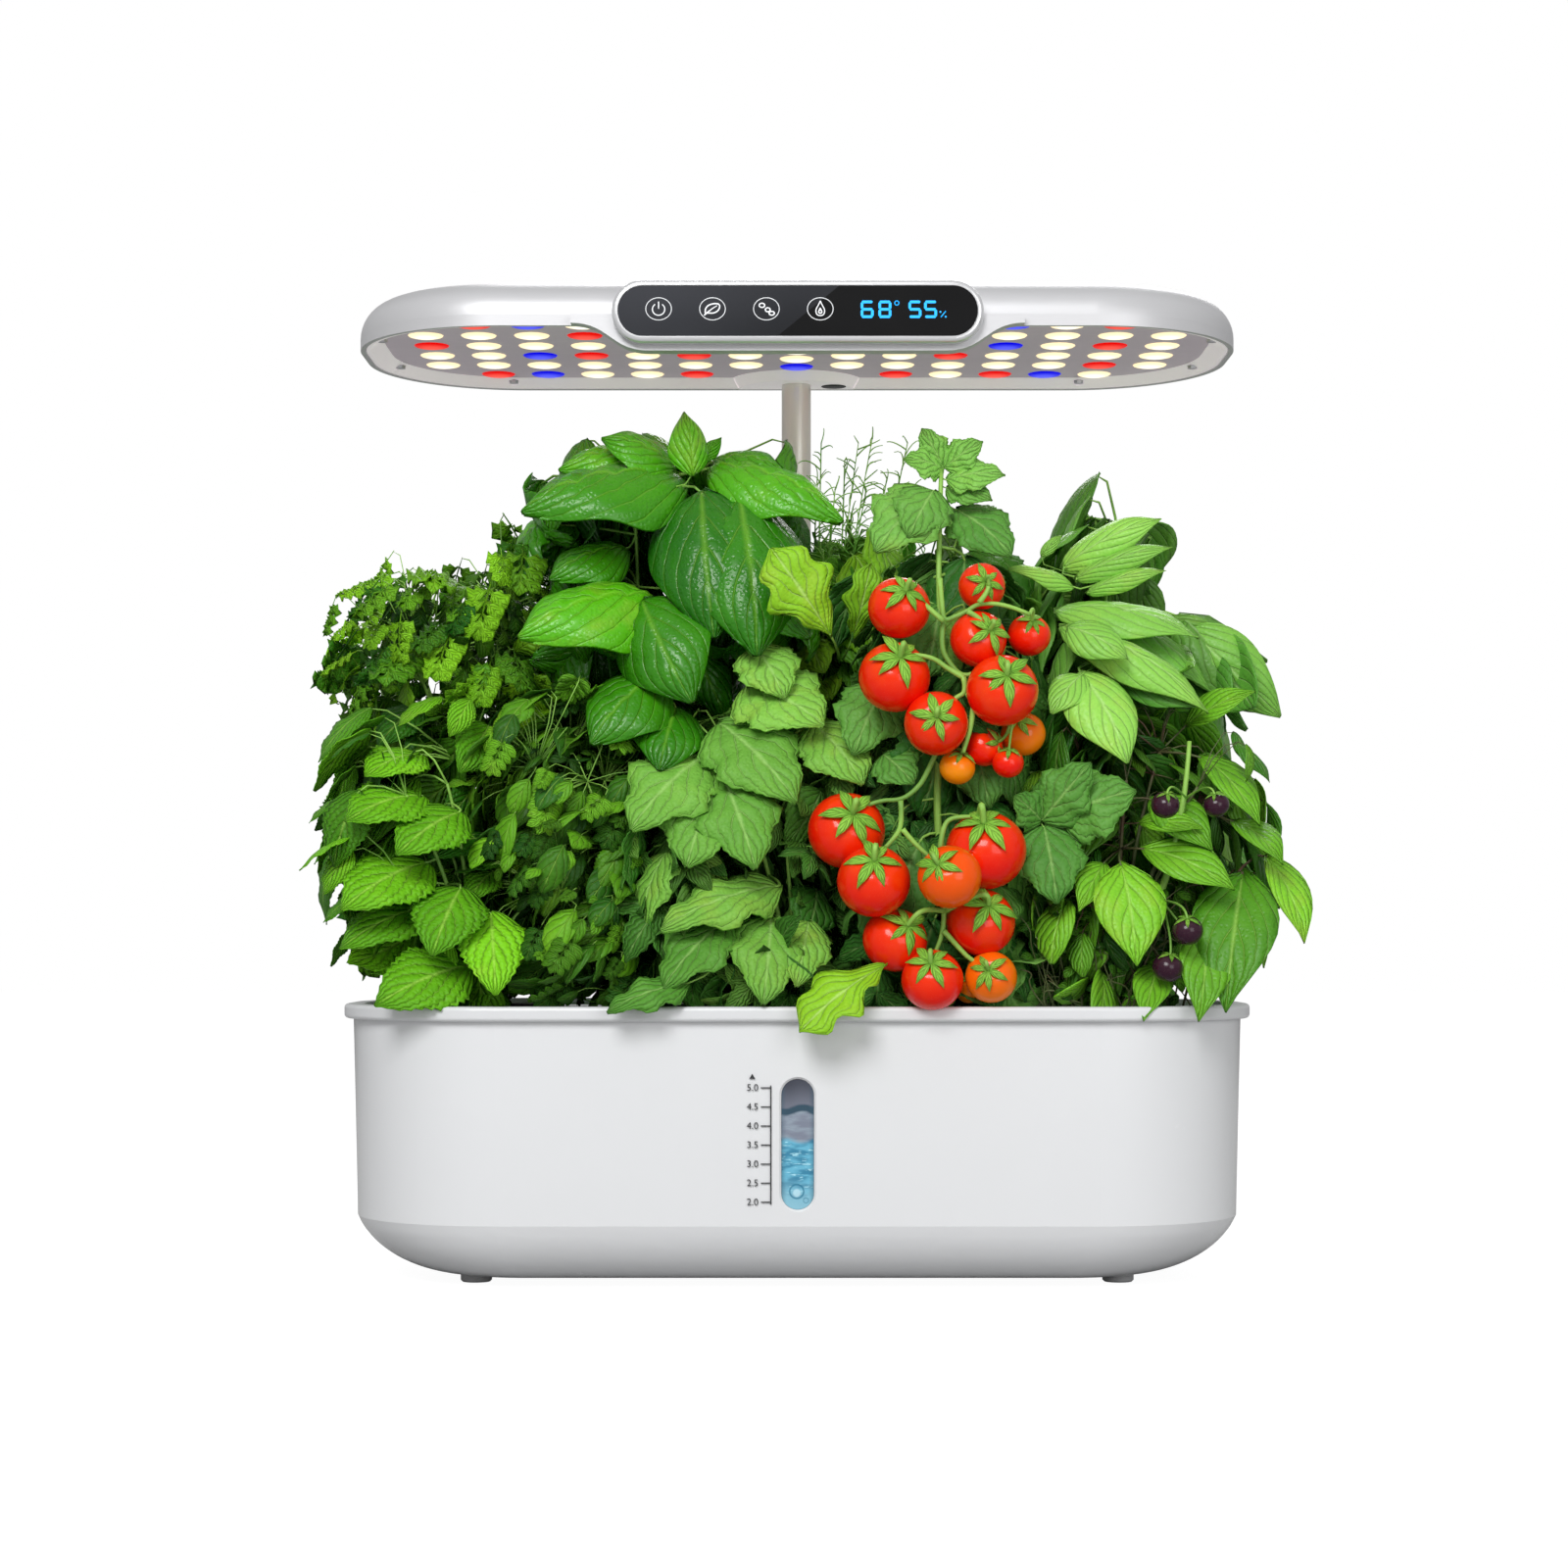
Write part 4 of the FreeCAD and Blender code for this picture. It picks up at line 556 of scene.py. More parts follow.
@dataclass(frozen=True)
class LeafSkin:
    """A leaf's surface: veins and puckers along its own UV map, with a tone and a painted shade for every
    leaf.
    """

    name: str
    dark: Colour
    light: Colour
    vein: Colour
    pairs: float = 7.0
    slant: float = 0.35
    pucker: float = 0.5
    contrast: float = 0.45
    rough: float = 0.42
    gloss: float = 0.22
    yellow: Colour = (0.42, 0.50, 0.06)

    def material(self) -> bpy.types.Material:
        """Lays the finish."""
        paint = Paint(self.name)
        u, v = paint.along("vein")
        tone, shade = paint.along("tone")
        side = abs(v * 2.0 - 1.0)
        comb = abs(((u - side * self.slant - side * side * 0.18) * self.pairs).math("FRACT") - 0.5) * 2.0
        lateral = comb.step(0.84, 1.0) * (1.0 - side * 0.55)
        midrib = side.step(0.09, 0.0)
        veins = lateral.math("MAXIMUM", midrib)
        patch = paint.noise(70.0, 3.0)
        fleck = paint.noise(900.0, 2.0)
        net = paint.cells(520.0)
        body = paint.mix(tone * 0.85 + patch * 0.3 - 0.08, self.dark, self.light)
        body = paint.mix((patch - 0.5) * (tone.step(0.55, 1.0)) * 1.6, body, self.yellow)
        body = paint.mix(veins * self.contrast, body, self.vein)
        body = paint.mix(fleck.step(0.35, 0.8) * 0.18, body, self.dark)
        puff = (1.0 - comb * comb) * (1.0 - side * side * 0.5) * self.pucker
        height = puff + net.step(0.1, 0.6) * self.pucker * 0.35 - veins * 0.35
        # Painted shade: the tone map's second number darkens the leaf towards near black.
        return paint.done(
            Base_Color=paint.mix(1.0 - shade, body, (0.004, 0.022, 0.003)),
            Roughness=self.rough + fleck * 0.16,
            Specular_IOR_Level=self.gloss,
            Normal=paint.bump(height, 0.0012),
        )


@dataclass(frozen=True)
class Stalk:
    """A stem: green with darker and redder stretches and fine ribs along it."""

    name: str
    colour: Colour
    blush: Colour

    def material(self) -> bpy.types.Material:
        """Lays the finish."""
        paint = Paint(self.name)
        patch = paint.noise(45.0, 2.0)
        ribs = paint.noise(1500.0, 1.0, paint.stretched(paint.place(), (1.0, 1.0, 0.15)))
        return paint.done(
            Base_Color=paint.mix(patch.step(0.42, 0.68), self.colour, self.blush),
            Roughness=0.45 + ribs * 0.15,
            Normal=paint.bump(ribs, 0.0002),
        )


@dataclass(frozen=True)
class FruitSkin:
    """Ripe fruit: glossy skin that pales at the stalk, with its own ripeness in a UV map."""

    name: str
    ripe: Colour
    unripe: Colour
    shoulder: Colour

    def material(self) -> bpy.types.Material:
        """Lays the finish."""
        paint = Paint(self.name)
        ripeness, crown = paint.along("ripeness")
        patch = paint.noise(80.0, 3.0)
        dots = paint.cells(1400.0).step(0.22, 0.12)
        body = paint.mix(ripeness, self.unripe, self.ripe)
        body = paint.mix(crown.step(0.55, 1.0) * (0.25 + patch * 0.6), body, self.shoulder)
        body = paint.mix(patch.step(0.45, 0.8) * 0.06, body, self.unripe)
        return paint.done(
            Base_Color=paint.mix(dots * 0.05, body, (1.0, 0.8, 0.5)),
            Roughness=0.17 + patch * 0.06,
            Specular_IOR_Level=0.24,
            Coat_Weight=0.12,
            Coat_Roughness=0.05,
            Normal=paint.bump(patch, 0.0003),
        )


FINISHES = {
    "tank_white": Moulding("gloss_white_tank", (0.80, 0.81, 0.825), 0.17, 0.45, 2600.0, 0.000012, 0.015),
    "deck_white": Moulding("satin_white_deck", (0.74, 0.75, 0.765), 0.3, 0.2, 3000.0, 0.00002, 0.02),
    "window_clear": WaterWindow("sight_glass_with_water"),
    "seal_grey": Moulding("grey_window_seal", (0.50, 0.53, 0.56), 0.4, 0.1),
    "foot_rubber": Moulding("grey_rubber_feet", (0.56, 0.56, 0.57), 0.6, 0.0, 2500.0, 0.00005),
    "pump_black": Moulding("black_pump_moulding", (0.025, 0.026, 0.03), 0.38, 0.1),
    "pump_blue": Moulding("blue_rotor_moulding", (0.04, 0.16, 0.42), 0.35, 0.1),
    "shaft_ceramic": Moulding("white_ceramic_shaft", (0.82, 0.80, 0.76), 0.2, 0.4, 6000.0, 0.000005),
    "filter_foam": Foam("black_filter_foam", (0.05, 0.05, 0.055), (0.005, 0.005, 0.006), 900.0),
    "basket_black": Moulding("black_basket_moulding", (0.03, 0.032, 0.034), 0.5, 0.0, 3500.0, 0.00004),
    "sponge_brown": Foam("brown_growing_sponge", (0.16, 0.10, 0.06), (0.03, 0.018, 0.01), 800.0),
    "mast_metal": SatinMetal("satin_champagne_mast", (0.86, 0.83, 0.79), 0.30, 0.4, (1.0, 1.0, 0.02)),
    "fitting_grey": Moulding("grey_fitting", (0.42, 0.43, 0.45), 0.4, 0.1),
    # The hood gets painted shade on its top, rising from 431 to 438.5 mm.
    "hood_silver": SatinMetal(
        "silver_hood_paint", (0.63, 0.63, 0.645), 0.34, 0.3, (0.05, 1.0, 1.0), 0.000008, (431.0, 438.5)
    ),
    # The frame's emission is painted light for the lamp's light on its lip.
    "frame_white": Moulding("white_light_frame", (0.88, 0.82, 0.84), 0.3, 0.15, painted_glow=0.32),
    # The board's emission is painted light for the lenses' light on it.
    "board_grey": CircuitBoard("grey_lamp_board", (0.50, 0.43, 0.49), (0.60, 0.53, 0.58), 320.0, 0.24),
    "led_white": GlowLens(
        "warm_white_lens", (1.0, 0.97, 0.86), (0.95, 0.76, 0.44), (0.6, 0.55, 0.42), 1.15
    ),
    "led_red": GlowLens("red_lens", (1.0, 0.06, 0.03), (0.75, 0.0, 0.0), (0.35, 0.0, 0.0), 1.0),
    "led_blue": GlowLens("blue_lens", (0.06, 0.08, 1.0), (0.0, 0.0, 0.70), (0.0, 0.0, 0.35), 1.0),
    "screw_steel": SatinMetal("steel_screws", (0.55, 0.56, 0.58), 0.3, 1.0),
    "jack_black": Moulding("black_power_jack", (0.02, 0.02, 0.022), 0.45),
    "pod_silver": SatinMetal(
        "bright_silver_bezel", (0.78, 0.785, 0.80), 0.16, 0.55, (0.05, 1.0, 1.0), 0.000006
    ),
    "panel_black": PanelGlass("black_touch_glass"),
    "circuit_green": CircuitBoard("green_circuit_board", (0.02, 0.13, 0.06), (0.10, 0.33, 0.12), 500.0),
    "float_white": Moulding("white_float_moulding", (0.86, 0.86, 0.84), 0.7, 0.0, 1800.0, 0.0001),
    "leaf_green": Stalk("green_plant_core", (0.05, 0.13, 0.02), (0.03, 0.08, 0.015)),
    "tomato_red": Stalk("red_fruit_core", (0.5, 0.02, 0.01), (0.4, 0.02, 0.01)),
    "pepper_purple": Stalk("purple_fruit_core", (0.05, 0.01, 0.03), (0.04, 0.01, 0.03)),
}


# Shapes


class Workshop:
    """Keeps finished materials and turns meshes made in millimetres into pieces that ride on the frame."""

    def __init__(self) -> None:
        """Starts with no material made."""
        self.made: dict[str, bpy.types.Material] = {}

    def material(self, finish: object) -> bpy.types.Material:
        """Gives a finish's material, made once.

        Args:
            finish: A finish.

        Returns:
            Its material.
        """
        if finish.name not in self.made:
            self.made[finish.name] = finish.material()
        return self.made[finish.name]

    def piece(
        self,
        name: str,
        mesh: bpy.types.Mesh,
        finish: object,
        body: str,
        slot: str,
        replaces: Sequence[str] = (),
        smooth: bool = True,
    ) -> bpy.types.Object:
        """Adds a finished piece to the scene.

        Args:
            name: The piece's name.
            mesh: Its mesh, in millimetres and in place.
            finish: Its finish.
            body: The CAD body that carries it.
            slot: Not used.
            replaces: The CAD nodes that it stands for.
            smooth: Whether its faces are shaded smooth.

        Returns:
            The piece.
        """
        mesh.name = name
        mesh.transform(Matrix.Scale(MM, 4))
        mesh.materials.clear()
        mesh.materials.append(self.material(finish))
        mesh.polygons.foreach_set("use_smooth", [smooth] * len(mesh.polygons))
        piece = bpy.data.objects.new(name, mesh)
        bpy.context.scene.collection.objects.link(piece)
        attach(piece, body)
        if replaces:
            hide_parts(*replaces)
        LOG.info("%s: %d faces on %s", name, len(mesh.polygons), body)
        return piece


def meshed(bm: bmesh.types.BMesh, name: str = "part") -> bpy.types.Mesh:
    """Turns a bmesh into a mesh and frees it.

    Args:
        bm: The bmesh.
        name: The mesh's name.

    Returns:
        The mesh.
    """
    mesh = bpy.data.meshes.new(name)
    bm.to_mesh(mesh)
    bm.free()
    return mesh


def basis(origin: Vector, along: Vector, face: Vector, scale: Vector) -> Matrix:
    """Places a shape: its X runs along one direction and its Z turns to another.

    Args:
        origin: Where the shape's own origin goes.
        along: Where its X points.
        face: Where its Z leans.
        scale: Its size along its own axes.

    Returns:
        The placing matrix.
    """
    x = along.normalized()
    y = face.cross(x)
    if y.length < 1e-4:
        y = Vector((0.0, 1.0, 0.1)).cross(x)
    y.normalize()
    z = x.cross(y)
    turn = Matrix((x, y, z)).transposed().to_4x4()
    return Matrix.Translation(origin) @ turn @ Matrix.Diagonal((*scale, 1.0))


class Bundle:
    """Copies of small template meshes gathered in one bmesh."""

    def __init__(self) -> None:
        """Starts empty."""
        self.bm = bmesh.new()

    def add(
        self, template: bpy.types.Mesh, place: Matrix, marks: dict[str, tuple[float, float]] | None = None
    ) -> None:
        """Adds one copy.

        Args:
            template: The mesh to copy.
            place: Where the copy goes.
            marks: UV maps of the copy that hold one pair of numbers all over.
        """
        copy = template.copy()
        copy.transform(place)
        for layer, pair in (marks or {}).items():
            copy.uv_layers[layer].data.foreach_set("uv", list(pair) * len(copy.loops))
        self.bm.from_mesh(copy)
        bpy.data.meshes.remove(copy)

    def mesh(self, name: str) -> bpy.types.Mesh:
        """Gives the copies as one mesh."""
        return meshed(self.bm, name)


class Wires:
    """Round wires and stems, each along its own smooth line."""

    def __init__(self, sides: int = 1) -> None:
        """Starts an empty curve.

        Args:
            sides: The roundness of the section: 0 is square, 1 has eight sides.
        """
        self.curve = bpy.data.curves.new("wires", "CURVE")
        self.curve.dimensions = "3D"
        self.curve.bevel_depth = 1.0
        self.curve.bevel_resolution = sides
        self.curve.use_fill_caps = True

    def add(
        self, points: Sequence[Sequence[float]], radii: Sequence[float], closed: bool = False,
        steps: int = 4,
    ) -> None:
        """Adds one wire.

        Args:
            points: The points that it follows, in mm.
            radii: Its radius at its start and at its end.
            closed: Whether it runs back to its start.
            steps: How finely each stretch is divided.
        """
        line = self.curve.splines.new("NURBS")
        line.points.add(len(points) - 1)
        last = max(1, len(points) - 1)
        for i, (knot, point) in enumerate(zip(line.points, points)):
            knot.co = (*point, 1.0)
            knot.radius = radii[0] + (radii[-1] - radii[0]) * i / last
        line.order_u = 3
        line.use_endpoint_u = not closed
        line.use_cyclic_u = closed
        line.resolution_u = steps

    def mesh(self) -> bpy.types.Mesh:
        """Gives the wires as one closed mesh."""
        holder = bpy.data.objects.new("wires", self.curve)
        bpy.context.scene.collection.objects.link(holder)
        shape = bpy.data.meshes.new_from_object(holder)
        bpy.data.objects.remove(holder)
        bpy.data.curves.remove(self.curve)
        bm = bmesh.new()
        bm.from_mesh(shape)
        bmesh.ops.remove_doubles(bm, verts=bm.verts, dist=0.0005)
        bmesh.ops.recalc_face_normals(bm, faces=bm.faces)
        bpy.data.meshes.remove(shape)
        return meshed(bm, "wires")


def islands(node: str) -> list[tuple[Vector, Vector]]:
    """Finds the separate solids of a CAD node.

    Args:
        node: The node's name.

    Returns:
        Each solid's middle and size, in mm.
    """
    bm = bmesh.new()
    bm.from_mesh(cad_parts[node].data)
    bmesh.ops.remove_doubles(bm, verts=bm.verts, dist=1e-6)
    seen: set[bmesh.types.BMVert] = set()
    found = []
    for start in bm.verts:
        if start in seen:
            continue
        seen.add(start)
        group, front = [], [start]
        while front:
            vert = front.pop()
            group.append(vert.co / MM)
            fresh = {e.other_vert(vert) for e in vert.link_edges} - seen
            seen |= fresh
            front.extend(fresh)
        low = Vector(tuple(min(c[i] for c in group) for i in range(3)))
        high = Vector(tuple(max(c[i] for c in group) for i in range(3)))
        found.append(((low + high) / 2.0, high - low))
    bm.free()
    return found


# A packed disc's width in radii, because its sides are flat.
DISC_WIDTH = 1.932


# Camera


@dataclass(frozen=True)
class Eye:
    """The camera of the photograph, level and in front of the part."""

    distance: float = 1400.0
    side: float = -5.9
    height: float = 158.5
    lens: float = 70.0
    width: float = 36.0
    frame_px: float = 1600.0
    middle_px: float = 813.0
    horizon_px: float = 946.0

    @property
    def focus(self) -> float:
        """The lens's focal length in pixels of the photograph."""
        return self.lens / self.width * self.frame_px

    def point(self, px: float, py: float, depth: float) -> Vector:
        """Finds the point that a pixel shows at a depth.

        Args:
            px: Pixels from the left.
            py: Pixels from the top.
            depth: The point's y, in mm; the front is negative.

        Returns:
            The point, in mm.
        """
        scale = (self.distance + depth) / self.focus
        return Vector(((px - self.middle_px) * scale, depth, self.height + (self.horizon_px - py) * scale))

    def pixel(self, point: Vector) -> Vector:
        """Finds the pixel that shows a point."""
        scale = self.focus / (self.distance + point.y)
        return Vector((self.middle_px + point.x * scale, self.horizon_px - (point.z - self.height) * scale))

    def build(self) -> None:
        """Adds the camera to the scene."""
        data = bpy.data.cameras.new("photo_camera")
        data.lens = self.lens
        data.sensor_width = self.width
        data.shift_y = (self.horizon_px - self.frame_px / 2.0) / self.frame_px
        data.clip_start = 0.05
        camera = bpy.data.objects.new("photo_camera", data)
        camera.location = (self.side * MM, -self.distance * MM, self.height * MM)
        camera.rotation_euler = (math.radians(90.0), 0.0, 0.0)
        bpy.context.scene.collection.objects.link(camera)
        bpy.context.scene.camera = camera


EYE = Eye()


# Leaves


class Outline(Enum):
    """How a leaf's half width runs from its base to its tip: where it is widest, and how full it is."""

    OVATE = (0.74, 0.82)
    LANCE = (0.86, 1.15)
    ROUND = (0.95, 0.62)
    SPOON = (1.45, 0.85)
    NEEDLE = (0.9, 0.5)

    def half(self, t: float) -> float:
        """Gives the half width, from 0 to 1, at a share of the length."""
        skew, full = self.value
        return max(0.03, math.sin(math.pi * min(max(t, 0.0), 1.0) ** skew)) ** full


@dataclass(frozen=True)
class LeafCut:
    """One kind of leaf of unit length: its outline, edge, and how it folds, arches and waves."""

    outline: Outline
    width: float
    columns: int = 10
    rows: int = 4
    teeth: int = 0
    tooth: float = 0.0
    lobes: int = 0
    lobe: float = 0.0
    fold: float = 0.15
    cup: float = 0.0
    arch: float = 0.6
    wave: float = 0.0
    waves: float = 2.0
    puff: float = 0.0
    pairs: float = 7.0
    slant: float = 0.35
    thick: float = 0.012

    def half(self, t: float) -> float:
        """Gives the half width at a share of the length, with teeth and lobes."""
        half = self.width * 0.5 * self.outline.half(t)
        if self.lobes:
            half *= 1.0 - self.lobe * (0.5 + 0.5 * math.cos(2.0 * math.pi * self.lobes * (t - 0.04)))
        if self.teeth:
            half *= 1.0 - self.tooth * ((t * self.teeth) % 1.0 > 0.4)
        return half

    def build(self) -> bpy.types.Mesh:
        """Makes the leaf as a thin closed blade along X that faces Z.

        Returns:
            The leaf's mesh.
        """
        bm = bmesh.new()
        vein = bm.loops.layers.uv.new("vein")
        bm.loops.layers.uv.new("tone")
        bmesh.ops.create_grid(bm, x_segments=self.columns, y_segments=self.rows, size=0.5)
        for face in bm.faces:
            for loop in face.loops:
                loop[vein].uv = (loop.vert.co.x + 0.5, loop.vert.co.y + 0.5)
        for vert in bm.verts:
            t, side = vert.co.x + 0.5, vert.co.y * 2.0
            half = self.half(t)
            turn = max(self.arch * t, 1e-3)
            bend = max(self.arch, 1e-3)
            x, z = math.sin(turn) / bend, -(1.0 - math.cos(turn)) / bend
            comb = abs(((t - abs(side) * self.slant) * self.pairs) % 1.0 - 0.5) * 2.0
            lift = abs(side) * half * self.fold - side * side * half * self.cup
            lift += self.wave * side * side * math.sin(2.0 * math.pi * self.waves * t + 1.3 * (side > 0.0))
            lift += self.puff * (1.0 - comb * comb) * (1.0 - side * side) * min(1.0, 5.0 * half)
            vert.co = (x + math.sin(turn) * lift, side * half, z + math.cos(turn) * lift)
        bmesh.ops.solidify(bm, geom=bm.faces[:], thickness=self.thick)
        return meshed(bm, "leaf")

    def coarse(self) -> "LeafCut":
        """Gives the same leaf with fewer faces, for the shaded inside of a plant."""
        return replace(self, columns=max(4, self.columns // 2), rows=2, puff=0.0)


@dataclass(frozen=True)
class Spray:
    """A compound leaf or a leafy twig: small leaves set along a unit rachis."""

    cut: LeafCut
    pairs: int
    size: float
    spread: float = 1.0
    start: float = 0.25
    taper: float = 0.35
    droop: float = 0.2
    end: float = 1.0
    stem: float = 0.012

    def build(self) -> bpy.types.Mesh:
        """Makes the spray along X.

        Returns:
            The spray's mesh.
        """
        bundle = Bundle()
        leaf = self.cut.build()
        rachis = LeafCut(
            Outline.NEEDLE, self.stem * 2.0, 3, 1, arch=self.droop, fold=0.0, thick=self.stem * 1.5
        ).build()
        bundle.add(rachis, Matrix.Diagonal((1.0 - self.size * 0.5, 1.0, 1.0, 1.0)))
        for i in range(self.pairs):
            t = self.start + (1.0 - self.start - self.size * 0.45) * i / max(1, self.pairs - 1)
            size = self.size * (1.0 - self.taper * i / max(1, self.pairs))
            for side in (-1.0, 1.0):
                along = Vector((math.cos(self.spread), side * math.sin(self.spread), -0.12 - 0.1 * (i % 2)))
                face = Vector((0.1 * side, -0.25 * side, 1.0))
                root = Vector((t, side * self.stem, -0.5 * self.droop * t * t))
                bundle.add(leaf, basis(root, along, face, Vector((size, size, size))))
        tip = Vector((1.0 - self.size * 0.85, 0.0, -0.5 * self.droop * (1.0 - self.size) ** 2))
        size = self.size * self.end
        bundle.add(
            leaf,
            basis(
                tip, Vector((1.0, 0.0, -self.droop)), Vector((0.0, 0.0, 1.0)), Vector((size, size, size))
            ),
        )
        return bundle.mesh("spray")

    def coarse(self) -> "Spray":
        """Gives the same spray with fewer and plainer leaves, for the shaded inside of a plant."""
        return replace(self, cut=self.cut.coarse(), pairs=1)


GLOSSY = LeafCut(
    Outline.OVATE, 0.64, 18, 8, cup=0.5, fold=0.03, arch=0.95, wave=0.03, waves=1.7, puff=0.034, pairs=4.5,
    slant=0.55,
)
CREASED = LeafCut(
    Outline.OVATE, 0.62, 18, 8, cup=0.6, fold=0.0, arch=1.25, wave=0.05, waves=2.6, puff=0.045, pairs=4.5,
    slant=0.55,
)
BROAD = LeafCut(
    Outline.OVATE, 0.54, 14, 8, cup=0.35, fold=0.06, arch=0.9, wave=0.025, waves=1.4, puff=0.012, pairs=6.0
)
SAWN = LeafCut(
    Outline.OVATE, 0.66, 27, 4, teeth=13, tooth=0.10, fold=0.12, cup=0.2, arch=0.7, wave=0.015, waves=3.0,
    pairs=8.0,
)
PLAIN = LeafCut(Outline.LANCE, 0.52, 10, 4, fold=0.18, arch=0.8, wave=0.02, waves=1.2)
SMALL = LeafCut(Outline.ROUND, 0.62, 5, 2, fold=0.2, arch=0.6, thick=0.03)
OAK = LeafCut(Outline.SPOON, 0.66, 21, 4, lobes=3, lobe=0.36, fold=0.1, arch=0.7, wave=0.04, waves=3.0)
ROCKET = LeafCut(Outline.SPOON, 0.42, 22, 4, lobes=4, lobe=0.55, fold=0.12, arch=1.3, wave=0.03, waves=2.0)
CURLY = LeafCut(
    Outline.SPOON, 0.95, 6, 2, teeth=3, tooth=0.35, fold=0.25, arch=0.8, wave=0.10, waves=3.5, thick=0.03
)
TOOTHED = LeafCut(
    Outline.OVATE, 0.56, 12, 2, teeth=6, tooth=0.16, fold=0.15, arch=0.7, wave=0.02, thick=0.02
)
SEPAL = LeafCut(Outline.LANCE, 0.22, 6, 2, fold=0.2, arch=0.9, thick=0.03)
LOBED = LeafCut(
    Outline.OVATE, 0.86, 26, 6, teeth=12, tooth=0.07, lobes=3, lobe=0.2, cup=0.2, fold=0.12, arch=0.7,
    wave=0.035, waves=2.6, puff=0.015, pairs=5.0, slant=0.5,
)

BASIL_SKIN = LeafSkin(
    "glossy_basil_leaf", (0.006, 0.12, 0.003), (0.12, 0.56, 0.005), (0.40, 0.78, 0.07), 4.5, 0.55, 0.40,
    0.22, 0.22, 0.42,
)
BROAD_SKIN = LeafSkin(
    "broad_basil_leaf", (0.035, 0.24, 0.018), (0.36, 0.78, 0.11), (0.62, 0.88, 0.36), 4.5, 0.5, 0.3, 0.34,
    0.32, 0.3,
)
MINT_SKIN = LeafSkin(
    "veined_mint_leaf", (0.016, 0.15, 0.004), (0.26, 0.76, 0.015), (0.55, 0.88, 0.14), 5.0, 0.5, 0.7, 0.42,
    0.40,
)
OREGANO_SKIN = LeafSkin(
    "small_oregano_leaf", (0.008, 0.09, 0.006), (0.25, 0.70, 0.02), (0.50, 0.85, 0.14), 3.0, 0.4, 0.3, 0.34,
    0.40,
)
BERRY_SKIN = LeafSkin(
    "serrated_berry_leaf", (0.020, 0.17, 0.012), (0.27, 0.62, 0.08), (0.50, 0.80, 0.25), 4.5, 0.5, 0.5, 0.4,
    0.42,
)
VINE_SKIN = LeafSkin(
    "dull_vine_leaf", (0.018, 0.15, 0.014), (0.27, 0.64, 0.10), (0.50, 0.80, 0.25), 4.0, 0.5, 0.5, 0.35,
    0.42,
)
CAPSICUM_SKIN = LeafSkin(
    "smooth_pepper_leaf", (0.016, 0.15, 0.008), (0.28, 0.74, 0.03), (0.55, 0.88, 0.18), 4.5, 0.5, 0.4, 0.36,
    0.32, 0.3,
)
PARSLEY_SKIN = LeafSkin(
    "curly_parsley_leaf", (0.008, 0.14, 0.004), (0.42, 0.98, 0.02), (0.60, 1.0, 0.10), 4.0, 0.3, 0.3, 0.25,
    0.42,
)
LETTUCE_SKIN = LeafSkin(
    "lime_lettuce_leaf", (0.06, 0.34, 0.012), (0.32, 0.66, 0.02), (0.62, 0.86, 0.28), 4.5, 0.5, 0.4, 0.5,
    0.4,
)
ROCKET_SKIN = LeafSkin(
    "rocket_leaf", (0.022, 0.18, 0.010), (0.26, 0.64, 0.06), (0.50, 0.80, 0.24), 4.0, 0.5, 0.4, 0.45, 0.42
)
STAR_SKIN = LeafSkin(
    "fruit_star", (0.10, 0.36, 0.02), (0.34, 0.70, 0.08), (0.50, 0.80, 0.2), 3.0, 0.3, 0.3, 0.3, 0.45
)

SOFT_STEM = Stalk("soft_green_stem", (0.30, 0.58, 0.09), (0.16, 0.36, 0.05))
WOODY_STEM = Stalk("dark_woody_stem", (0.10, 0.13, 0.04), (0.10, 0.05, 0.03))


@dataclass(frozen=True)
class Placed:
    """A listed leaf, set where the photograph shows it."""

    base: tuple[float, float]
    tip: tuple[float, float]
    depth: tuple[float, float]
    width: float = 1.0
    face: Point = (0.0, -1.0, 0.5)
    tone: float = 0.5


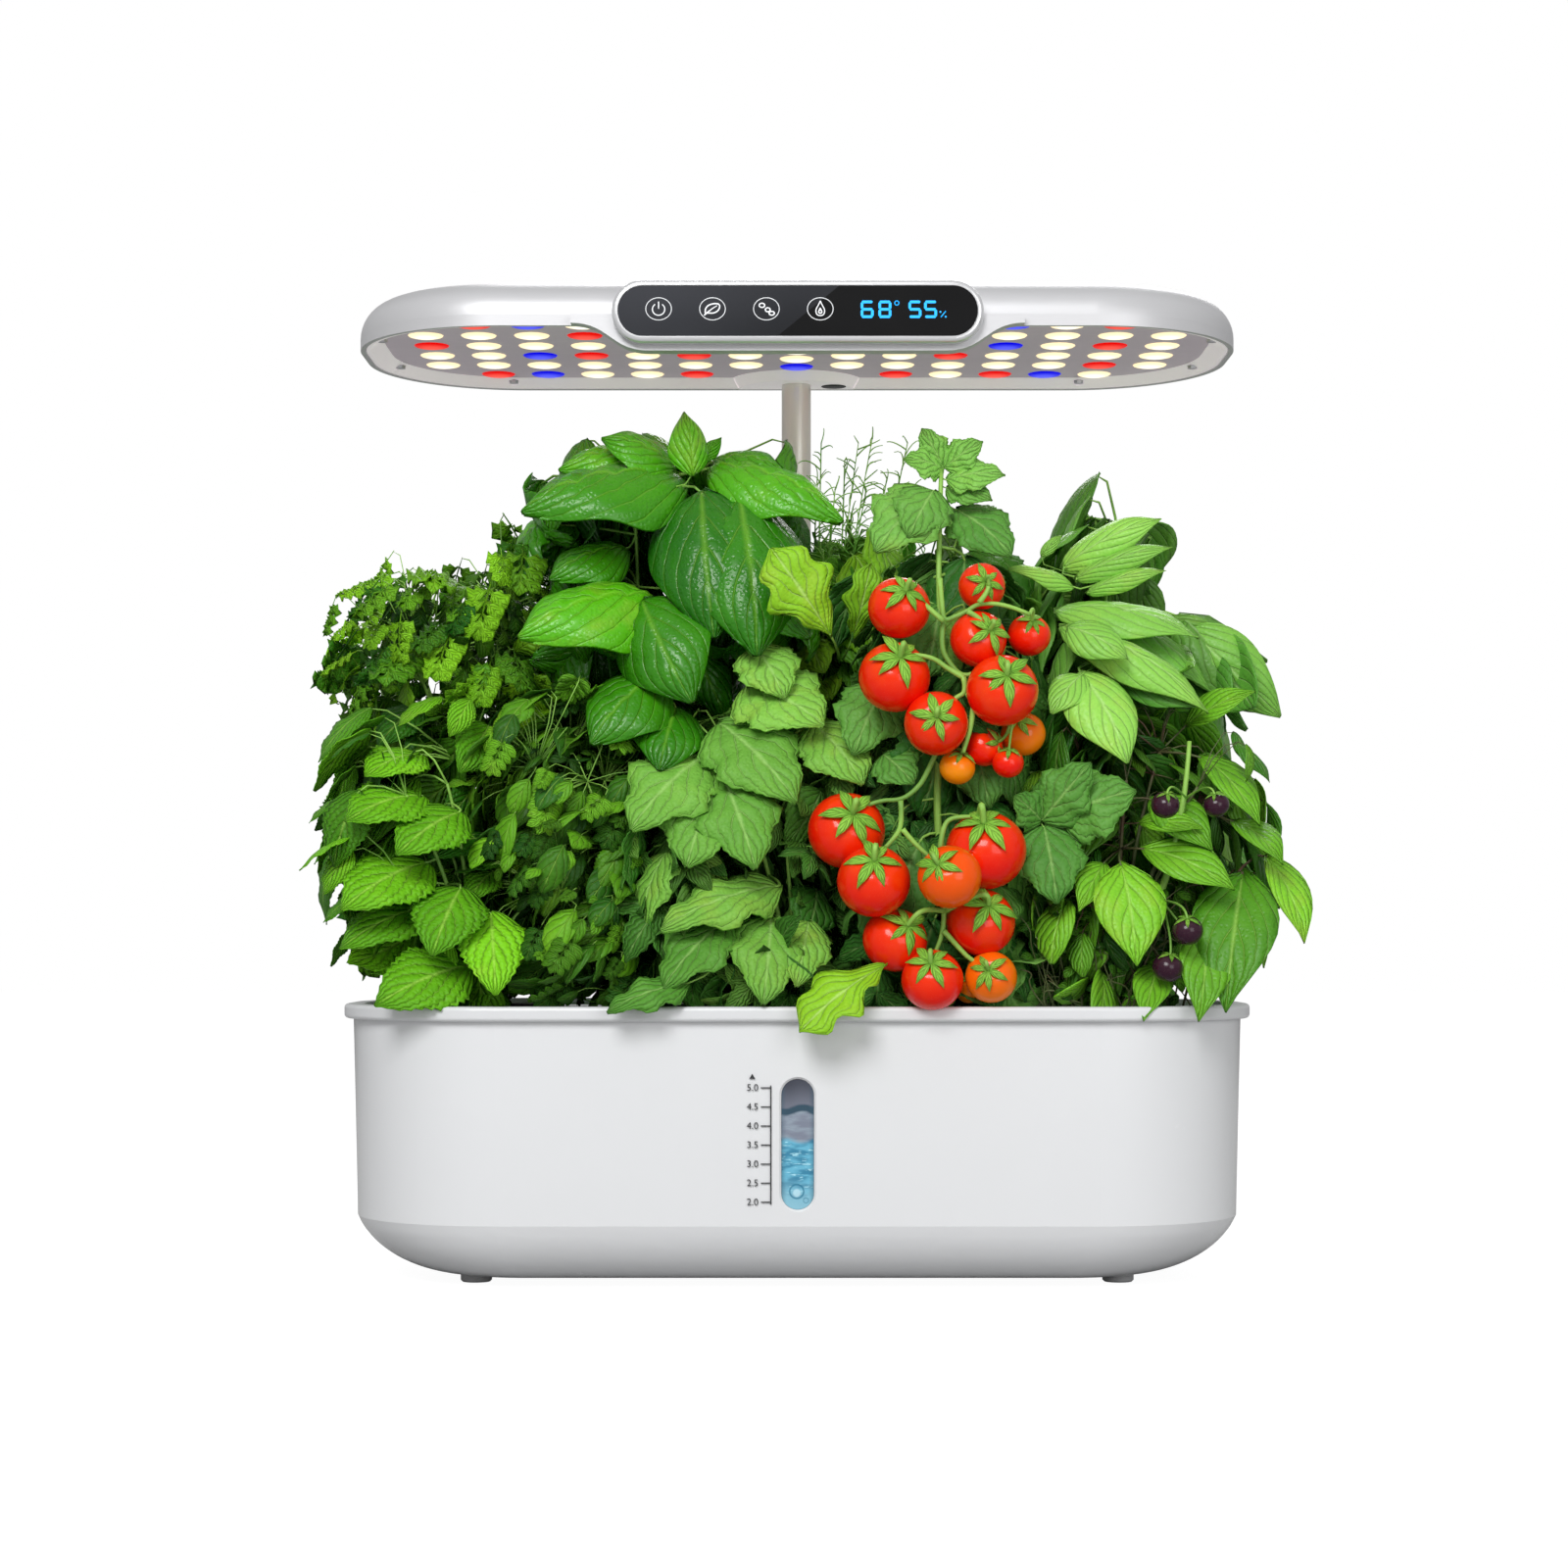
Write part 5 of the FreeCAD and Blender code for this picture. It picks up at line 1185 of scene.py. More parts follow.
@dataclass
class Plant:
    """One plant on its site: branches from the sponge, leaves over the CAD solid, and leaves set one by one.
    """

    node: str
    site: tuple[float, float]
    kinds: Sequence[LeafCut | Spray]
    skin: LeafSkin
    stem: Stalk
    length: tuple[float, float]
    spacing: float
    branches: int = 9
    tone: tuple[float, float] = (0.2, 0.8)
    hang: float = 0.5
    thick: float = 1.3
    spread: float = 3.0
    ragged: float = 12.0
    wild: float = 0.8
    lumps: float = 8.0
    open_share: float = 0.12
    tries: int = 1500
    skew: float = 1.4
    inside: tuple[float, float] = (9.0, 24.0)
    # Ranges of painted shade for the outer and the inner leaves.
    lit: tuple[float, float] = (0.66, 1.0)
    dim: tuple[float, float] = (0.30, 0.70)
    vine: Sequence[Point] = ()
    placed: Sequence[Placed] = ()
    placed_cut: LeafCut | None = None
    spin: random.Random = field(default_factory=lambda: random.Random(7))

    def between(self, limits: tuple[float, float]) -> float:
        """Picks a number between two limits, more often near the lower one."""
        return limits[0] + (limits[1] - limits[0]) * self.spin.random() ** self.skew

    def hull(self) -> list[tuple[Vector, Vector]]:
        """Picks even points on the plant's CAD solid.

        Returns:
            Points in mm with their outward normals, no two nearer than the spacing.
        """
        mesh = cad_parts[self.node].data
        mesh.calc_loop_triangles()
        triangles = list(mesh.loop_triangles)
        areas = [t.area for t in triangles]
        kept: list[tuple[Vector, Vector]] = []
        gap = self.spacing**2
        for triangle in self.spin.choices(triangles, weights=areas, k=self.tries):
            a, b, c = (mesh.vertices[i].co for i in triangle.vertices)
            r, s = math.sqrt(self.spin.random()), self.spin.random()
            point = (a * (1.0 - r) + b * (r * (1.0 - s)) + c * (r * s)) / MM
            if all((point - k).length_squared > gap for k, _ in kept) and not in_gap(point):
                kept.append((point, triangle.normal.copy()))
        shift, limit = Vector((*self.site, 5.0)), 0.55 - self.open_share * 1.4
        return [(p, n) for p, n in kept if noise.noise(p * 0.05 + shift) < limit]

    def limbs(self, hull: Sequence[tuple[Vector, Vector]], wires: Wires) -> list[Vector]:
        """Grows the branches.

        Args:
            hull: Points on the plant's solid.
            wires: The curve that the branches are added to.

        Returns:
            Points along the outer half of every branch.
        """
        root = Vector((*self.site, DECK_TOP + 1.0))
        upper = [p - n * 11.0 - Vector((0.0, 0.0, 5.0)) for p, n in hull if n.z > -0.35]
        ends: list[Vector] = [self.spin.choice(upper)]
        while len(ends) < min(self.branches, len(upper)):
            ends.append(
                max(upper, key=lambda p: min((p - e).length for e in ends) + self.spin.uniform(0.0, 12.0))
            )
        nodes: list[Vector] = []
        for end in ends:
            inner = end + (
                Vector((self.site[0], self.site[1], end.z)) - end
            ) * 0.22 - Vector((0.0, 0.0, 4.0))
            knee = root.lerp(inner, 0.45)
            knee.z += 0.22 * (inner - root).length
            start = root + Vector((self.spin.uniform(-4.0, 4.0), self.spin.uniform(-4.0, 4.0), -3.0))
            wires.add([start, knee, inner], (self.thick, self.thick * 0.5), steps=8)
            for k in range(3, 9):
                t = k / 8.0
                nodes.append(start * (1 - t) ** 2 + knee * (2 * t * (1 - t)) + inner * t * t)
        nodes += [
            Vector(p).lerp(Vector(q), k / 6.0) for p, q in zip(self.vine, self.vine[1:]) for k in range(6)
        ]
        return nodes

    def clear(self, point: Vector, reach: float) -> bool:
        """Tells whether a leaf here would leave the fruit and the listed leaves in view.

        Args:
            point: The leaf's middle, in mm.
            reach: Half the leaf's length, in mm.

        Returns:
            True where nothing that has to show is behind it.
        """
        spot = EYE.pixel(point)
        for middle, radius in FRUITS:
            apart = (EYE.pixel(middle) - spot).length * PIXEL
            if point.y < middle.y + 4.0 and apart < radius * 0.9 + reach * 0.62:
                return False
        for base, tip, half in FRONT_LEAVES:
            start = EYE.pixel(base)
            run = EYE.pixel(tip) - start
            t = max(0.0, min(1.0, (spot - start).dot(run) / max(1.0, run.length_squared)))
            near = base + (tip - base) * t
            apart = (EYE.pixel(near) - spot).length * PIXEL
            if point.y < near.y + 6.0 and apart < half * 0.9 + reach * 0.7:
                return False
        return True

    def build(self, shop: Workshop) -> None:
        """Makes the plant's leaves and stems.

        Args:
            shop: Where the pieces are finished.
        """
        leaves, shaded, wires = Bundle(), Bundle(), Wires(0 if self.length[1] < 20.0 else 1)
        fine, plain = [kind.build() for kind in self.kinds], [kind.coarse().build() for kind in self.kinds]
        hull = self.hull()
        nodes = self.limbs(hull, wires)
        axis = Vector((*self.site, 0.0))
        for outer, bundle, templates in ((True, leaves, fine), (False, shaded, plain)):
            for point, normal in hull:
                size = self.between(self.length)
                if outer:
                    lump = noise.noise(point * 0.035 + axis) * self.lumps
                    sunk = self.spin.uniform(0.0, 0.18) * size
                    proud = self.ragged * self.spin.random() ** 3
                    middle = point + normal * (self.spread + lump - sunk + proud)
                else:
                    middle = point - normal * self.spin.uniform(*self.inside)
                if not self.clear(middle, size * 0.5):
                    continue
                out = Vector((point.x - axis.x, point.y - axis.y, 0.0))
                out = (out.normalized() if out.length > 1.0 else Vector((0.0, -1.0, 0.0))) + normal * 0.5
                wild = Vector(
                    (self.spin.uniform(-1, 1), self.spin.uniform(-1, 1), self.spin.uniform(-1, 1))
                )
                face = normal * 0.9 + Vector((0.0, -0.15, 0.55)) + wild * self.wild * 0.8
                along = out + Vector((0.0, 0.0, -self.hang - 0.5 * max(0.0, normal.z))) + wild * self.wild
                along -= face * (along.dot(face) / face.length_squared) * 0.8
                along.normalize()
                base = middle - along * size * 0.5
                if not in_box(middle + along * size * 0.5) or not off_mast(base, along, size):
                    continue
                # Painted shade: outer leaves get the lit range, inner leaves the darker dim range.
                shade = self.spin.uniform(*(self.lit if outer else self.dim))
                tone = self.between(self.tone)
                wide = size * self.spin.uniform(0.88, 1.12)
                place = basis(base, along, face, Vector((size, wide, size)))
                bundle.add(self.spin.choice(templates), place, {"tone": (tone, shade)})
                self.stalk(wires, nodes, base, along, size)
        if self.placed:
            self.hand(leaves, wires, nodes)
        shop.piece(
            f"{self.node}_leaves", leaves.mesh(self.node), self.skin, "deck", "leaf_green", (self.node,)
        )
        shop.piece(f"{self.node}_inner_leaves", shaded.mesh(self.node), self.skin, "deck", "leaf_green")
        shop.piece(f"{self.node}_stems", wires.mesh(), self.stem, "deck", "leaf_green")

    def stalk(
        self, wires: Wires, nodes: Sequence[Vector], base: Vector, along: Vector, size: float
    ) -> None:
        """Joins one leaf to its nearest branch.

        Args:
            wires: The curve that the stalk is added to.
            nodes: Points on the branches.
            base: The leaf's base.
            along: Where the leaf points.
            size: The leaf's length.
        """
        root = min(nodes, key=lambda n: (n - base).length_squared)
        if (root - base).length < 1.5:
            return
        bend = base - along * min(0.35 * (root - base).length, 8.0)
        thick = max(0.25, min(0.8, size * 0.014))
        wires.add([root, bend, base + along * size * 0.04], (thick, thick * 0.75), steps=2)

    def hand(self, leaves: Bundle, wires: Wires, nodes: Sequence[Vector]) -> None:
        """Sets the leaves that the photograph shows one by one.

        Args:
            leaves: The bundle of the plant's leaves.
            wires: The curve of its stems.
            nodes: Points on the branches.
        """
        cut = self.placed_cut or self.kinds[0]
        template = cut.build()
        for leaf in self.placed:
            base = EYE.point(*leaf.base, leaf.depth[0])
            tip = EYE.point(*leaf.tip, leaf.depth[1])
            along = tip - base
            size = along.length
            face = Vector(leaf.face)
            bent = getattr(cut, "arch", 0.5)
            chord = math.sin(bent * 0.5) / (bent * 0.5)
            lift = along.copy()
            side = face.cross(lift)
            lift = Matrix.Rotation(-bent * 0.5, 3, side.normalized()) @ lift if side.length > 1e-3 else lift
            scale = size / chord
            place = basis(base, lift, face, Vector((scale, scale * leaf.width, scale)))
            leaves.add(template, place, {"tone": (leaf.tone, self.spin.uniform(0.93, 1.0))})
            self.stalk(wires, nodes, base, lift.normalized(), size)


DECK_TOP = 121.1
PIXEL = 0.43
BOX_LOW = Vector((-224.0, -124.0, 100.0))
BOX_HIGH = Vector((228.0, 125.0, 417.0))
GAPS: Sequence[tuple[float, float, float, float]] = (
    (300.0, 380.0, 512.0, 586.0),
    (512.0, 380.0, 552.0, 540.0),
    (552.0, 380.0, 776.0, 452.0),
    (776.0, 380.0, 832.0, 486.0),
    (832.0, 380.0, 926.0, 572.0),
    (926.0, 380.0, 1066.0, 596.0),
    (1066.0, 380.0, 1192.0, 540.0),
    (1192.0, 380.0, 1340.0, 620.0),
    (1240.0, 620.0, 1340.0, 696.0),
    (1196.0, 768.0, 1234.0, 812.0),
)


def in_gap(point: Vector) -> bool:
    """Tells whether a point lies where the photograph shows open air between the plants."""
    spot = EYE.pixel(point)
    return any(x0 < spot.x < x1 and y0 < spot.y < y1 for x0, y0, x1, y1 in GAPS)


def in_box(point: Vector) -> bool:
    """Tells whether a leaf's tip stays near the plants' own room."""
    return all(low < c < high for low, c, high in zip(BOX_LOW, point, BOX_HIGH))


MAST_GAP = 1.0
LEAF_HALF = 0.30
MAST: tuple[Vector, Vector] = tuple(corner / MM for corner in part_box("mast_tube_outer"))


def off_mast(base: Vector, along: Vector, size: float) -> bool:
    """Tells whether a leaf keeps clear of the mast's tube."""
    axis = (MAST[0] + MAST[1]) / 2.0
    reach = (MAST[1].x - MAST[0].x) / 2.0 + MAST_GAP + size * LEAF_HALF
    spots = (base + along * size * k / 4.0 for k in range(5))
    return all(math.hypot(p.x - axis.x, p.y - axis.y) > reach for p in spots)


FRUITS: list[tuple[Vector, float]] = []
FRONT_LEAVES: list[tuple[Vector, Vector, float]] = []


# Fruit


@dataclass
class FruitSet:
    """Round fruit on short stalks, each with a leafy star at its crown."""

    node: str
    skin: FruitSkin
    vine: Sequence[Point]
    slot: str
    squash: float = 0.92
    swell: float = 1.12
    colours: Sequence[tuple[float, float, float]] = ()
    crowns: Sequence[tuple[float, float]] = ()
    trusses: Sequence[tuple[float, Sequence[tuple[float, float]]]] = ()

    def template(self) -> bpy.types.Mesh:
        """Makes one fruit of unit radius, with a dimple at its crown."""
        bm = bmesh.new()
        ripe = bm.loops.layers.uv.new("ripeness")
        bmesh.ops.create_uvsphere(bm, u_segments=28, v_segments=18, radius=1.0)
        for vert in bm.verts:
            flat = math.hypot(vert.co.x, vert.co.y)
            vert.co.z -= 0.16 * math.exp(-((flat / 0.28) ** 2)) * (vert.co.z > 0.0)
            swell = 1.0 + 0.012 * math.cos(5.0 * math.atan2(vert.co.y, vert.co.x)) * max(0.0, vert.co.z)
            vert.co.x *= swell
            vert.co.y *= swell
        for face in bm.faces:
            for loop in face.loops:
                loop[ripe].uv = (1.0, 0.5 + 0.5 * loop.vert.co.z)
        return meshed(bm, "fruit")

    def ripeness(self, middle: Vector) -> float:
        """Finds how ripe a fruit is: those near a listed pixel are paler."""
        spot = EYE.pixel(middle)
        near = [c[2] for c in self.colours if (Vector(c[:2]) - spot).length < 16.0]
        return near[0] if near else 1.0

    def lean(self, middle: Vector, radius: float, spin: random.Random) -> Vector:
        """Finds where a fruit's crown points: to the spot where the photograph shows its star.

        Args:
            middle: The fruit's middle, in mm.
            radius: Its radius, in mm.
            spin: The source of small changes.

        Returns:
            The direction of length 1.
        """
        low = Vector((spin.uniform(-0.25, 0.25), spin.uniform(-0.75, -0.35), 1.0)).normalized()
        for px, py in self.crowns:
            spot = EYE.point(px, py, middle.y - radius * 0.6) - middle
            flat = math.hypot(spot.x, spot.z) / radius
            if flat < 0.97:
                return Vector(
                    (spot.x / radius, -math.sqrt(1.0 - flat * flat), spot.z / radius)
                ).normalized()
        return low

    def build(self, shop: Workshop) -> None:
        """Makes the fruit, their stars and their stalks.

        Args:
            shop: Where the pieces are finished.
        """
        spin = random.Random(self.node)
        fruit, stars, wires = Bundle(), Bundle(), Wires(1)
        template, sepal = self.template(), SEPAL.build()
        vine = [Vector(p) for p in self.vine]
        for depth, line in self.trusses:
            knots = [EYE.point(px, py, depth) for px, py in line]
            wires.add(knots, (1.35, 0.95), steps=5)
            vine += knots
        for middle, size in islands(self.node):
            radius = size.z / 2.0 / self.squash * self.swell
            ripe = self.ripeness(middle)
            lean = self.lean(middle, radius, spin)
            across = Vector((1.0, 0.0, -lean.x))
            place = basis(middle, across, lean, Vector((radius, radius, radius * self.squash)))
            copy = template.copy()
            for loop in copy.uv_layers["ripeness"].data:
                loop.uv = (ripe, loop.uv[1])
            fruit.add(copy, place)
            bpy.data.meshes.remove(copy)
            crown = middle + lean * radius * self.squash * 0.99
            count = 5 if radius < 9.0 else 6
            for i in range(count):
                turn = 2.0 * math.pi * (i + spin.uniform(-0.2, 0.2)) / count
                side = lean.orthogonal().normalized()
                side = Matrix.Rotation(turn, 3, lean) @ side
                length = radius * spin.uniform(0.75, 1.0)
                spot = basis(
                    crown, side + lean * spin.uniform(0.06, 0.28), lean,
                    Vector((length, length * 1.5, length)),
                )
                stars.add(sepal, spot, {"tone": (spin.uniform(0.5, 1.0), 1.0)})
            up = crown + lean * radius * 0.4 + Vector((0.0, 0.0, radius * 0.15))
            post = min(vine, key=lambda v: (v - up).length)
            wires.add(
                [crown - lean * 2.0, up, (up + post) / 2.0 + Vector((0.0, 0.0, 2.0)), post],
                (radius * 0.075, radius * 0.09), steps=5,
            )
        wires.add(self.vine, (2.0, 1.0), steps=5)
        shop.piece(f"{self.node}_fruit", fruit.mesh(self.node), self.skin, "deck", self.slot, (self.node,))
        shop.piece(f"{self.node}_stars", stars.mesh(self.node), STAR_SKIN, "deck", "leaf_green")
        shop.piece(f"{self.node}_stalks", wires.mesh(), SOFT_STEM, "deck", "leaf_green")


TOMATOES = FruitSet(
    "tomatoes",
    FruitSkin("ripe_tomato", (0.88, 0.008, 0.001), (0.98, 0.34, 0.003), (0.92, 0.06, 0.002)),
    [
        (70, -37, 118), (66, -52, 170), (60, -58, 215), (66, -60, 262), (62, -56, 300), (63, -50, 340),
        (64, -46, 362),
    ],
    "tomato_red",
    colours=[(1048, 745, 0.35), (978, 781, 0.15), (967, 895, 0.7), (1012, 997, 0.4), (991, 1017, 0.2)],
    crowns=[
        (924, 602), (1005, 594), (1010, 643), (1053, 632), (918, 669), (1026, 688), (954, 732),
        (1037, 733), (981, 767), (1020, 758), (870, 829), (891, 876),
        (954, 881), (1002, 837), (1008, 922), (927, 943), (948, 981), (1006, 989),
    ],
    trusses=[
        (
            -80.0,
            [
                (958, 590), (960, 618), (962, 634), (972, 630), (986, 624), (998, 615), (1028, 617),
                (1050, 627),
            ],
        ),
        (-84.0, [(962, 634), (948, 622), (938, 612), (930, 606)]),
        (-84.0, [(998, 615), (1006, 606), (1008, 598)]),
        (-84.0, [(986, 624), (996, 628), (1008, 640)]),
        (-80.0, [(962, 634), (958, 660), (970, 680), (982, 691), (1000, 684), (1020, 685)]),
        (-86.0, [(982, 691), (968, 684), (948, 668), (924, 668)]),
        (-86.0, [(982, 691), (986, 707), (972, 712), (960, 728)]),
        (-86.0, [(986, 707), (994, 724), (1014, 728), (1034, 732)]),
        (-86.0, [(992, 722), (990, 742), (984, 760), (982, 768)]),
        (-76.0, [(958, 760), (944, 792), (934, 806), (918, 817), (896, 816), (874, 826)]),
        (-86.0, [(918, 817), (920, 840), (912, 856), (895, 872)]),
        (-86.0, [(920, 846), (932, 862), (952, 878)]),
        (-86.0, [(958, 870), (960, 842), (974, 832), (998, 834)]),
        (-84.0, [(960, 860), (963, 930), (960, 960), (950, 978)]),
        (-86.0, [(962, 950), (978, 968), (990, 980), (1004, 987)]),
    ],
)
PEPPERS = FruitSet(
    "peppers",
    FruitSkin("purple_pepper", (0.030, 0.006, 0.018), (0.07, 0.012, 0.03), (0.05, 0.02, 0.03)),
    [(140, -37, 118), (160, -60, 170), (170, -66, 215), (172, -62, 240)],
    "pepper_purple",
)


@dataclass
class Bed:
    """The ten plants on their sites, five in front and five behind."""

    front: float = -35.0
    rear: float = 28.0
    columns: tuple[float, ...] = (-140.0, -70.0, 0.0, 70.0, 140.0)

    def plants(self) -> list[Plant]:
        """Lists the plants.

        Returns:
            The ten plants.
        """
        a, b, c, d, e = self.columns
        front, rear = self.front, self.rear
        basil = [
            Placed((706, 486), (698, 420), (-34, -30), 0.95, (0.3, -1.0, 0.2), 1.0),
            Placed((716, 470), (736, 446), (-20, -16), 0.8, (0.1, -1.0, 0.2), 0.9),
            Placed((690, 478), (614, 446), (-18, -26), 1.3, (0.0, -0.8, 0.8), 0.7),
            Placed((728, 470), (800, 480), (-8, -24), 1.1, (0.1, -0.8, 0.8), 0.6),
            Placed((700, 492), (532, 520), (-15, -50), 1.0, (-0.2, -0.8, 0.9), 0.35),
            Placed((690, 470), (570, 478), (0, -20), 1.0, (-0.1, -0.7, 0.9), 0.8),
            Placed((722, 478), (860, 530), (-15, -40), 0.9, (0.2, -0.8, 0.9), 0.7),
            Placed((716, 500), (728, 650), (-30, -58), 1.1, (-0.1, -1.0, 0.25), 0.05),
            Placed((752, 508), (772, 668), (-30, -62), 1.15, (0.15, -1.0, 0.3), 0.15),
            Placed((668, 610), (528, 648), (-30, -62), 1.05, (-0.1, -0.9, 0.7), 1.0),
            Placed((655, 612), (705, 716), (-40, -66), 1.2, (-0.3, -1.0, 0.3), 0.25),
            Placed((672, 690), (602, 758), (-40, -66), 1.2, (-0.2, -1.0, 0.4), 0.3),
            Placed((690, 722), (672, 785), (-40, -66), 1.3, (0.0, -1.0, 0.3), 0.2),
            Placed((640, 560), (560, 590), (-10, -30), 1.1, (-0.1, -0.9, 0.7), 0.4),
            Placed((742, 590), (826, 650), (-30, -50), 1.0, (0.2, -0.9, 0.6), 0.4),
        ]
        broad = [
            Placed((1083, 581), (1184, 529), (-6, -20), 0.72, (0.1, -0.9, 0.5), 1.0),
            Placed((1096, 592), (1195, 558), (-14, -28), 0.52, (0.1, -0.9, 0.5), 0.8),
            Placed((1108, 606), (1189, 582), (-20, -32), 0.5, (0.0, -0.9, 0.5), 0.9),
            Placed((1096, 600), (1029, 580), (-20, -34), 0.6, (-0.1, -0.9, 0.6), 1.0),
            Placed((1062, 568), (1083, 546), (0, 0), 0.8, (0.1, -0.9, 0.4), 0.9),
            Placed((1075, 624), (1222, 650), (-24, -40), 0.85, (0.1, -0.7, 1.0), 0.75),
            Placed((1100, 618), (1236, 706), (-10, -30), 0.7, (0.3, -0.7, 0.9), 0.45),
            Placed((1080, 640), (1232, 726), (-34, -52), 0.6, (0.0, -0.8, 0.9), 0.9),
            Placed((1140, 690), (1228, 722), (-36, -50), 0.9, (0.1, -0.9, 0.6), 0.2),
            Placed((1104, 688), (1072, 728), (-56, -66), 1.3, (-0.3, -1.0, 0.4), 0.85),
            Placed((1100, 686), (1150, 778), (-52, -74), 1.15, (0.2, -1.0, 0.3), 1.0),
            Placed((1088, 640), (1150, 672), (-50, -62), 1.2, (0.1, -1.0, 0.5), 0.7),
        ]
        pepper = [
            Placed((1142, 880), (1159, 985), (-66, -84), 1.25, (0.1, -1.0, 0.3), 0.95),
            Placed((1163, 866), (1258, 908), (-60, -78), 1.05, (0.0, -0.9, 0.8), 0.7),
            Placed((1160, 840), (1226, 846), (-56, -70), 0.9, (0.0, -0.9, 0.7), 0.9),
            Placed((1126, 880), (1100, 930), (-62, -78), 1.0, (-0.1, -1.0, 0.4), 0.7),
            Placed((1172, 815), (1236, 868), (-50, -70), 1.1, (0.1, -1.0, 0.6), 0.5),
            Placed((1208, 742), (1280, 706), (-30, -50), 0.8, (0.0, -1.0, 0.6), 0.7),
            Placed((1222, 772), (1284, 842), (-40, -70), 0.8, (0.3, -0.9, 0.8), 0.65),
            Placed((1256, 838), (1308, 882), (-40, -70), 0.9, (0.3, -0.9, 0.8), 0.6),
            Placed((1290, 872), (1330, 962), (-40, -62), 0.85, (0.5, -1.0, 0.4), 1.0),
            Placed((1268, 888), (1250, 1032), (-50, -84), 1.0, (-0.2, -1.0, 0.25), 0.25),
            Placed((1230, 940), (1222, 1042), (-60, -88), 0.9, (0.1, -1.0, 0.2), 0.5),
            Placed((1180, 985), (1166, 1042), (-60, -86), 0.9, (-0.1, -1.0, 0.2), 0.6),
        ]
        mint = [
            Placed((432, 812), (352, 838), (-50, -84), 1.1, (-0.3, -1.0, 0.5), 0.6),
            Placed((470, 828), (404, 872), (-55, -86), 1.15, (-0.1, -1.0, 0.5), 0.5),
            Placed((436, 880), (348, 928), (-50, -86), 1.1, (-0.2, -1.0, 0.5), 0.7),
            Placed((440, 925), (346, 968), (-45, -76), 0.9, (-0.3, -1.0, 0.6), 0.45),
            Placed((478, 985), (382, 1026), (-60, -90), 1.1, (-0.1, -1.0, 0.5), 0.55),
            Placed((470, 905), (440, 975), (-60, -90), 1.2, (0.0, -1.0, 0.4), 0.4),
            Placed((430, 770), (372, 792), (-40, -70), 1.1, (-0.2, -1.0, 0.6), 0.8),
            Placed((500, 930), (505, 1015), (-60, -90), 1.0, (0.1, -1.0, 0.3), 1.0),
        ]
        lettuce = [
            Placed((848, 650), (786, 560), (-64, -76), 1.15, (-0.1, -1.0, 0.25), 0.95),
            Placed((868, 655), (888, 575), (-30, -44), 0.8, (0.2, -1.0, 0.2), 0.7),
            Placed((905, 984), (815, 1053), (-86, -102), 0.95, (-0.1, -0.9, 0.75), 1.0),
        ]
        berry = [
            Placed((719, 771), (643, 846), (-50, -78), 1.0, (-0.2, -1.0, 0.4), 0.7),
            Placed((729, 804), (700, 884), (-56, -82), 1.2, (-0.1, -1.0, 0.3), 0.6),
            Placed((736, 792), (770, 886), (-56, -84), 0.95, (0.1, -1.0, 0.3), 0.5),
            Placed((732, 738), (812, 818), (-46, -74), 0.95, (0.2, -1.0, 0.4), 0.6),
            Placed((760, 700), (840, 740), (-40, -64), 1.2, (0.1, -0.9, 0.6), 1.0),
            Placed((770, 660), (800, 712), (-44, -60), 1.2, (0.1, -1.0, 0.4), 0.95),
            Placed((795, 905), (673, 948), (-56, -86), 0.6, (-0.1, -0.9, 0.6), 0.8),
            Placed((742, 940), (676, 1008), (-62, -92), 0.8, (-0.2, -0.9, 0.5), 0.35),
            Placed((786, 935), (778, 1024), (-60, -90), 0.9, (0.1, -1.0, 0.3), 0.7),
            Placed((702, 1004), (618, 1032), (-84, -98), 0.6, (0.0, -0.9, 0.7), 0.3),
            Placed((824, 940), (812, 1006), (-56, -84), 0.8, (0.1, -1.0, 0.3), 0.9),
            Placed((830, 740), (880, 800), (-44, -66), 1.1, (0.2, -1.0, 0.4), 0.9),
        ]
        tomato = [
            Placed((962, 478), (922, 468), (-44, -52), 1.1, (-0.2, -1.0, 0.4), 0.95),
            Placed((962, 476), (940, 437), (-44, -46), 1.0, (-0.1, -1.0, 0.2), 0.85),
            Placed((963, 478), (1002, 450), (-44, -50), 1.0, (0.2, -1.0, 0.4), 0.9),
            Placed((965, 490), (1025, 484), (-46, -54), 0.9, (0.1, -1.0, 0.6), 0.95),
            Placed((965, 498), (1012, 510), (-44, -54), 0.9, (0.1, -1.0, 0.5), 0.6),
            Placed((954, 502), (892, 562), (-44, -60), 1.1, (-0.2, -1.0, 0.4), 0.75),
            Placed((952, 500), (926, 548), (-48, -62), 1.2, (0.0, -1.0, 0.3), 0.55),
            Placed((974, 520), (1032, 568), (-42, -58), 1.0, (0.2, -1.0, 0.4), 0.3),
            Placed((1062, 838), (1034, 812), (-66, -76), 1.3, (-0.2, -1.0, 0.4), 0.3),
            Placed((1062, 838), (1112, 778), (-66, -76), 1.0, (0.1, -1.0, 0.3), 0.35),
            Placed((1064, 842), (1078, 922), (-66, -80), 1.1, (0.0, -1.0, 0.3), 0.25),
            Placed((1080, 835), (1158, 806), (-64, -76), 1.2, (0.1, -1.0, 0.4), 0.4),
            Placed((900, 700), (870, 770), (-50, -66), 1.1, (0.0, -1.0, 0.4), 0.5),
            Placed((900, 770), (932, 800), (-60, -72), 1.3, (0.0, -1.0, 0.4), 0.4),
        ]
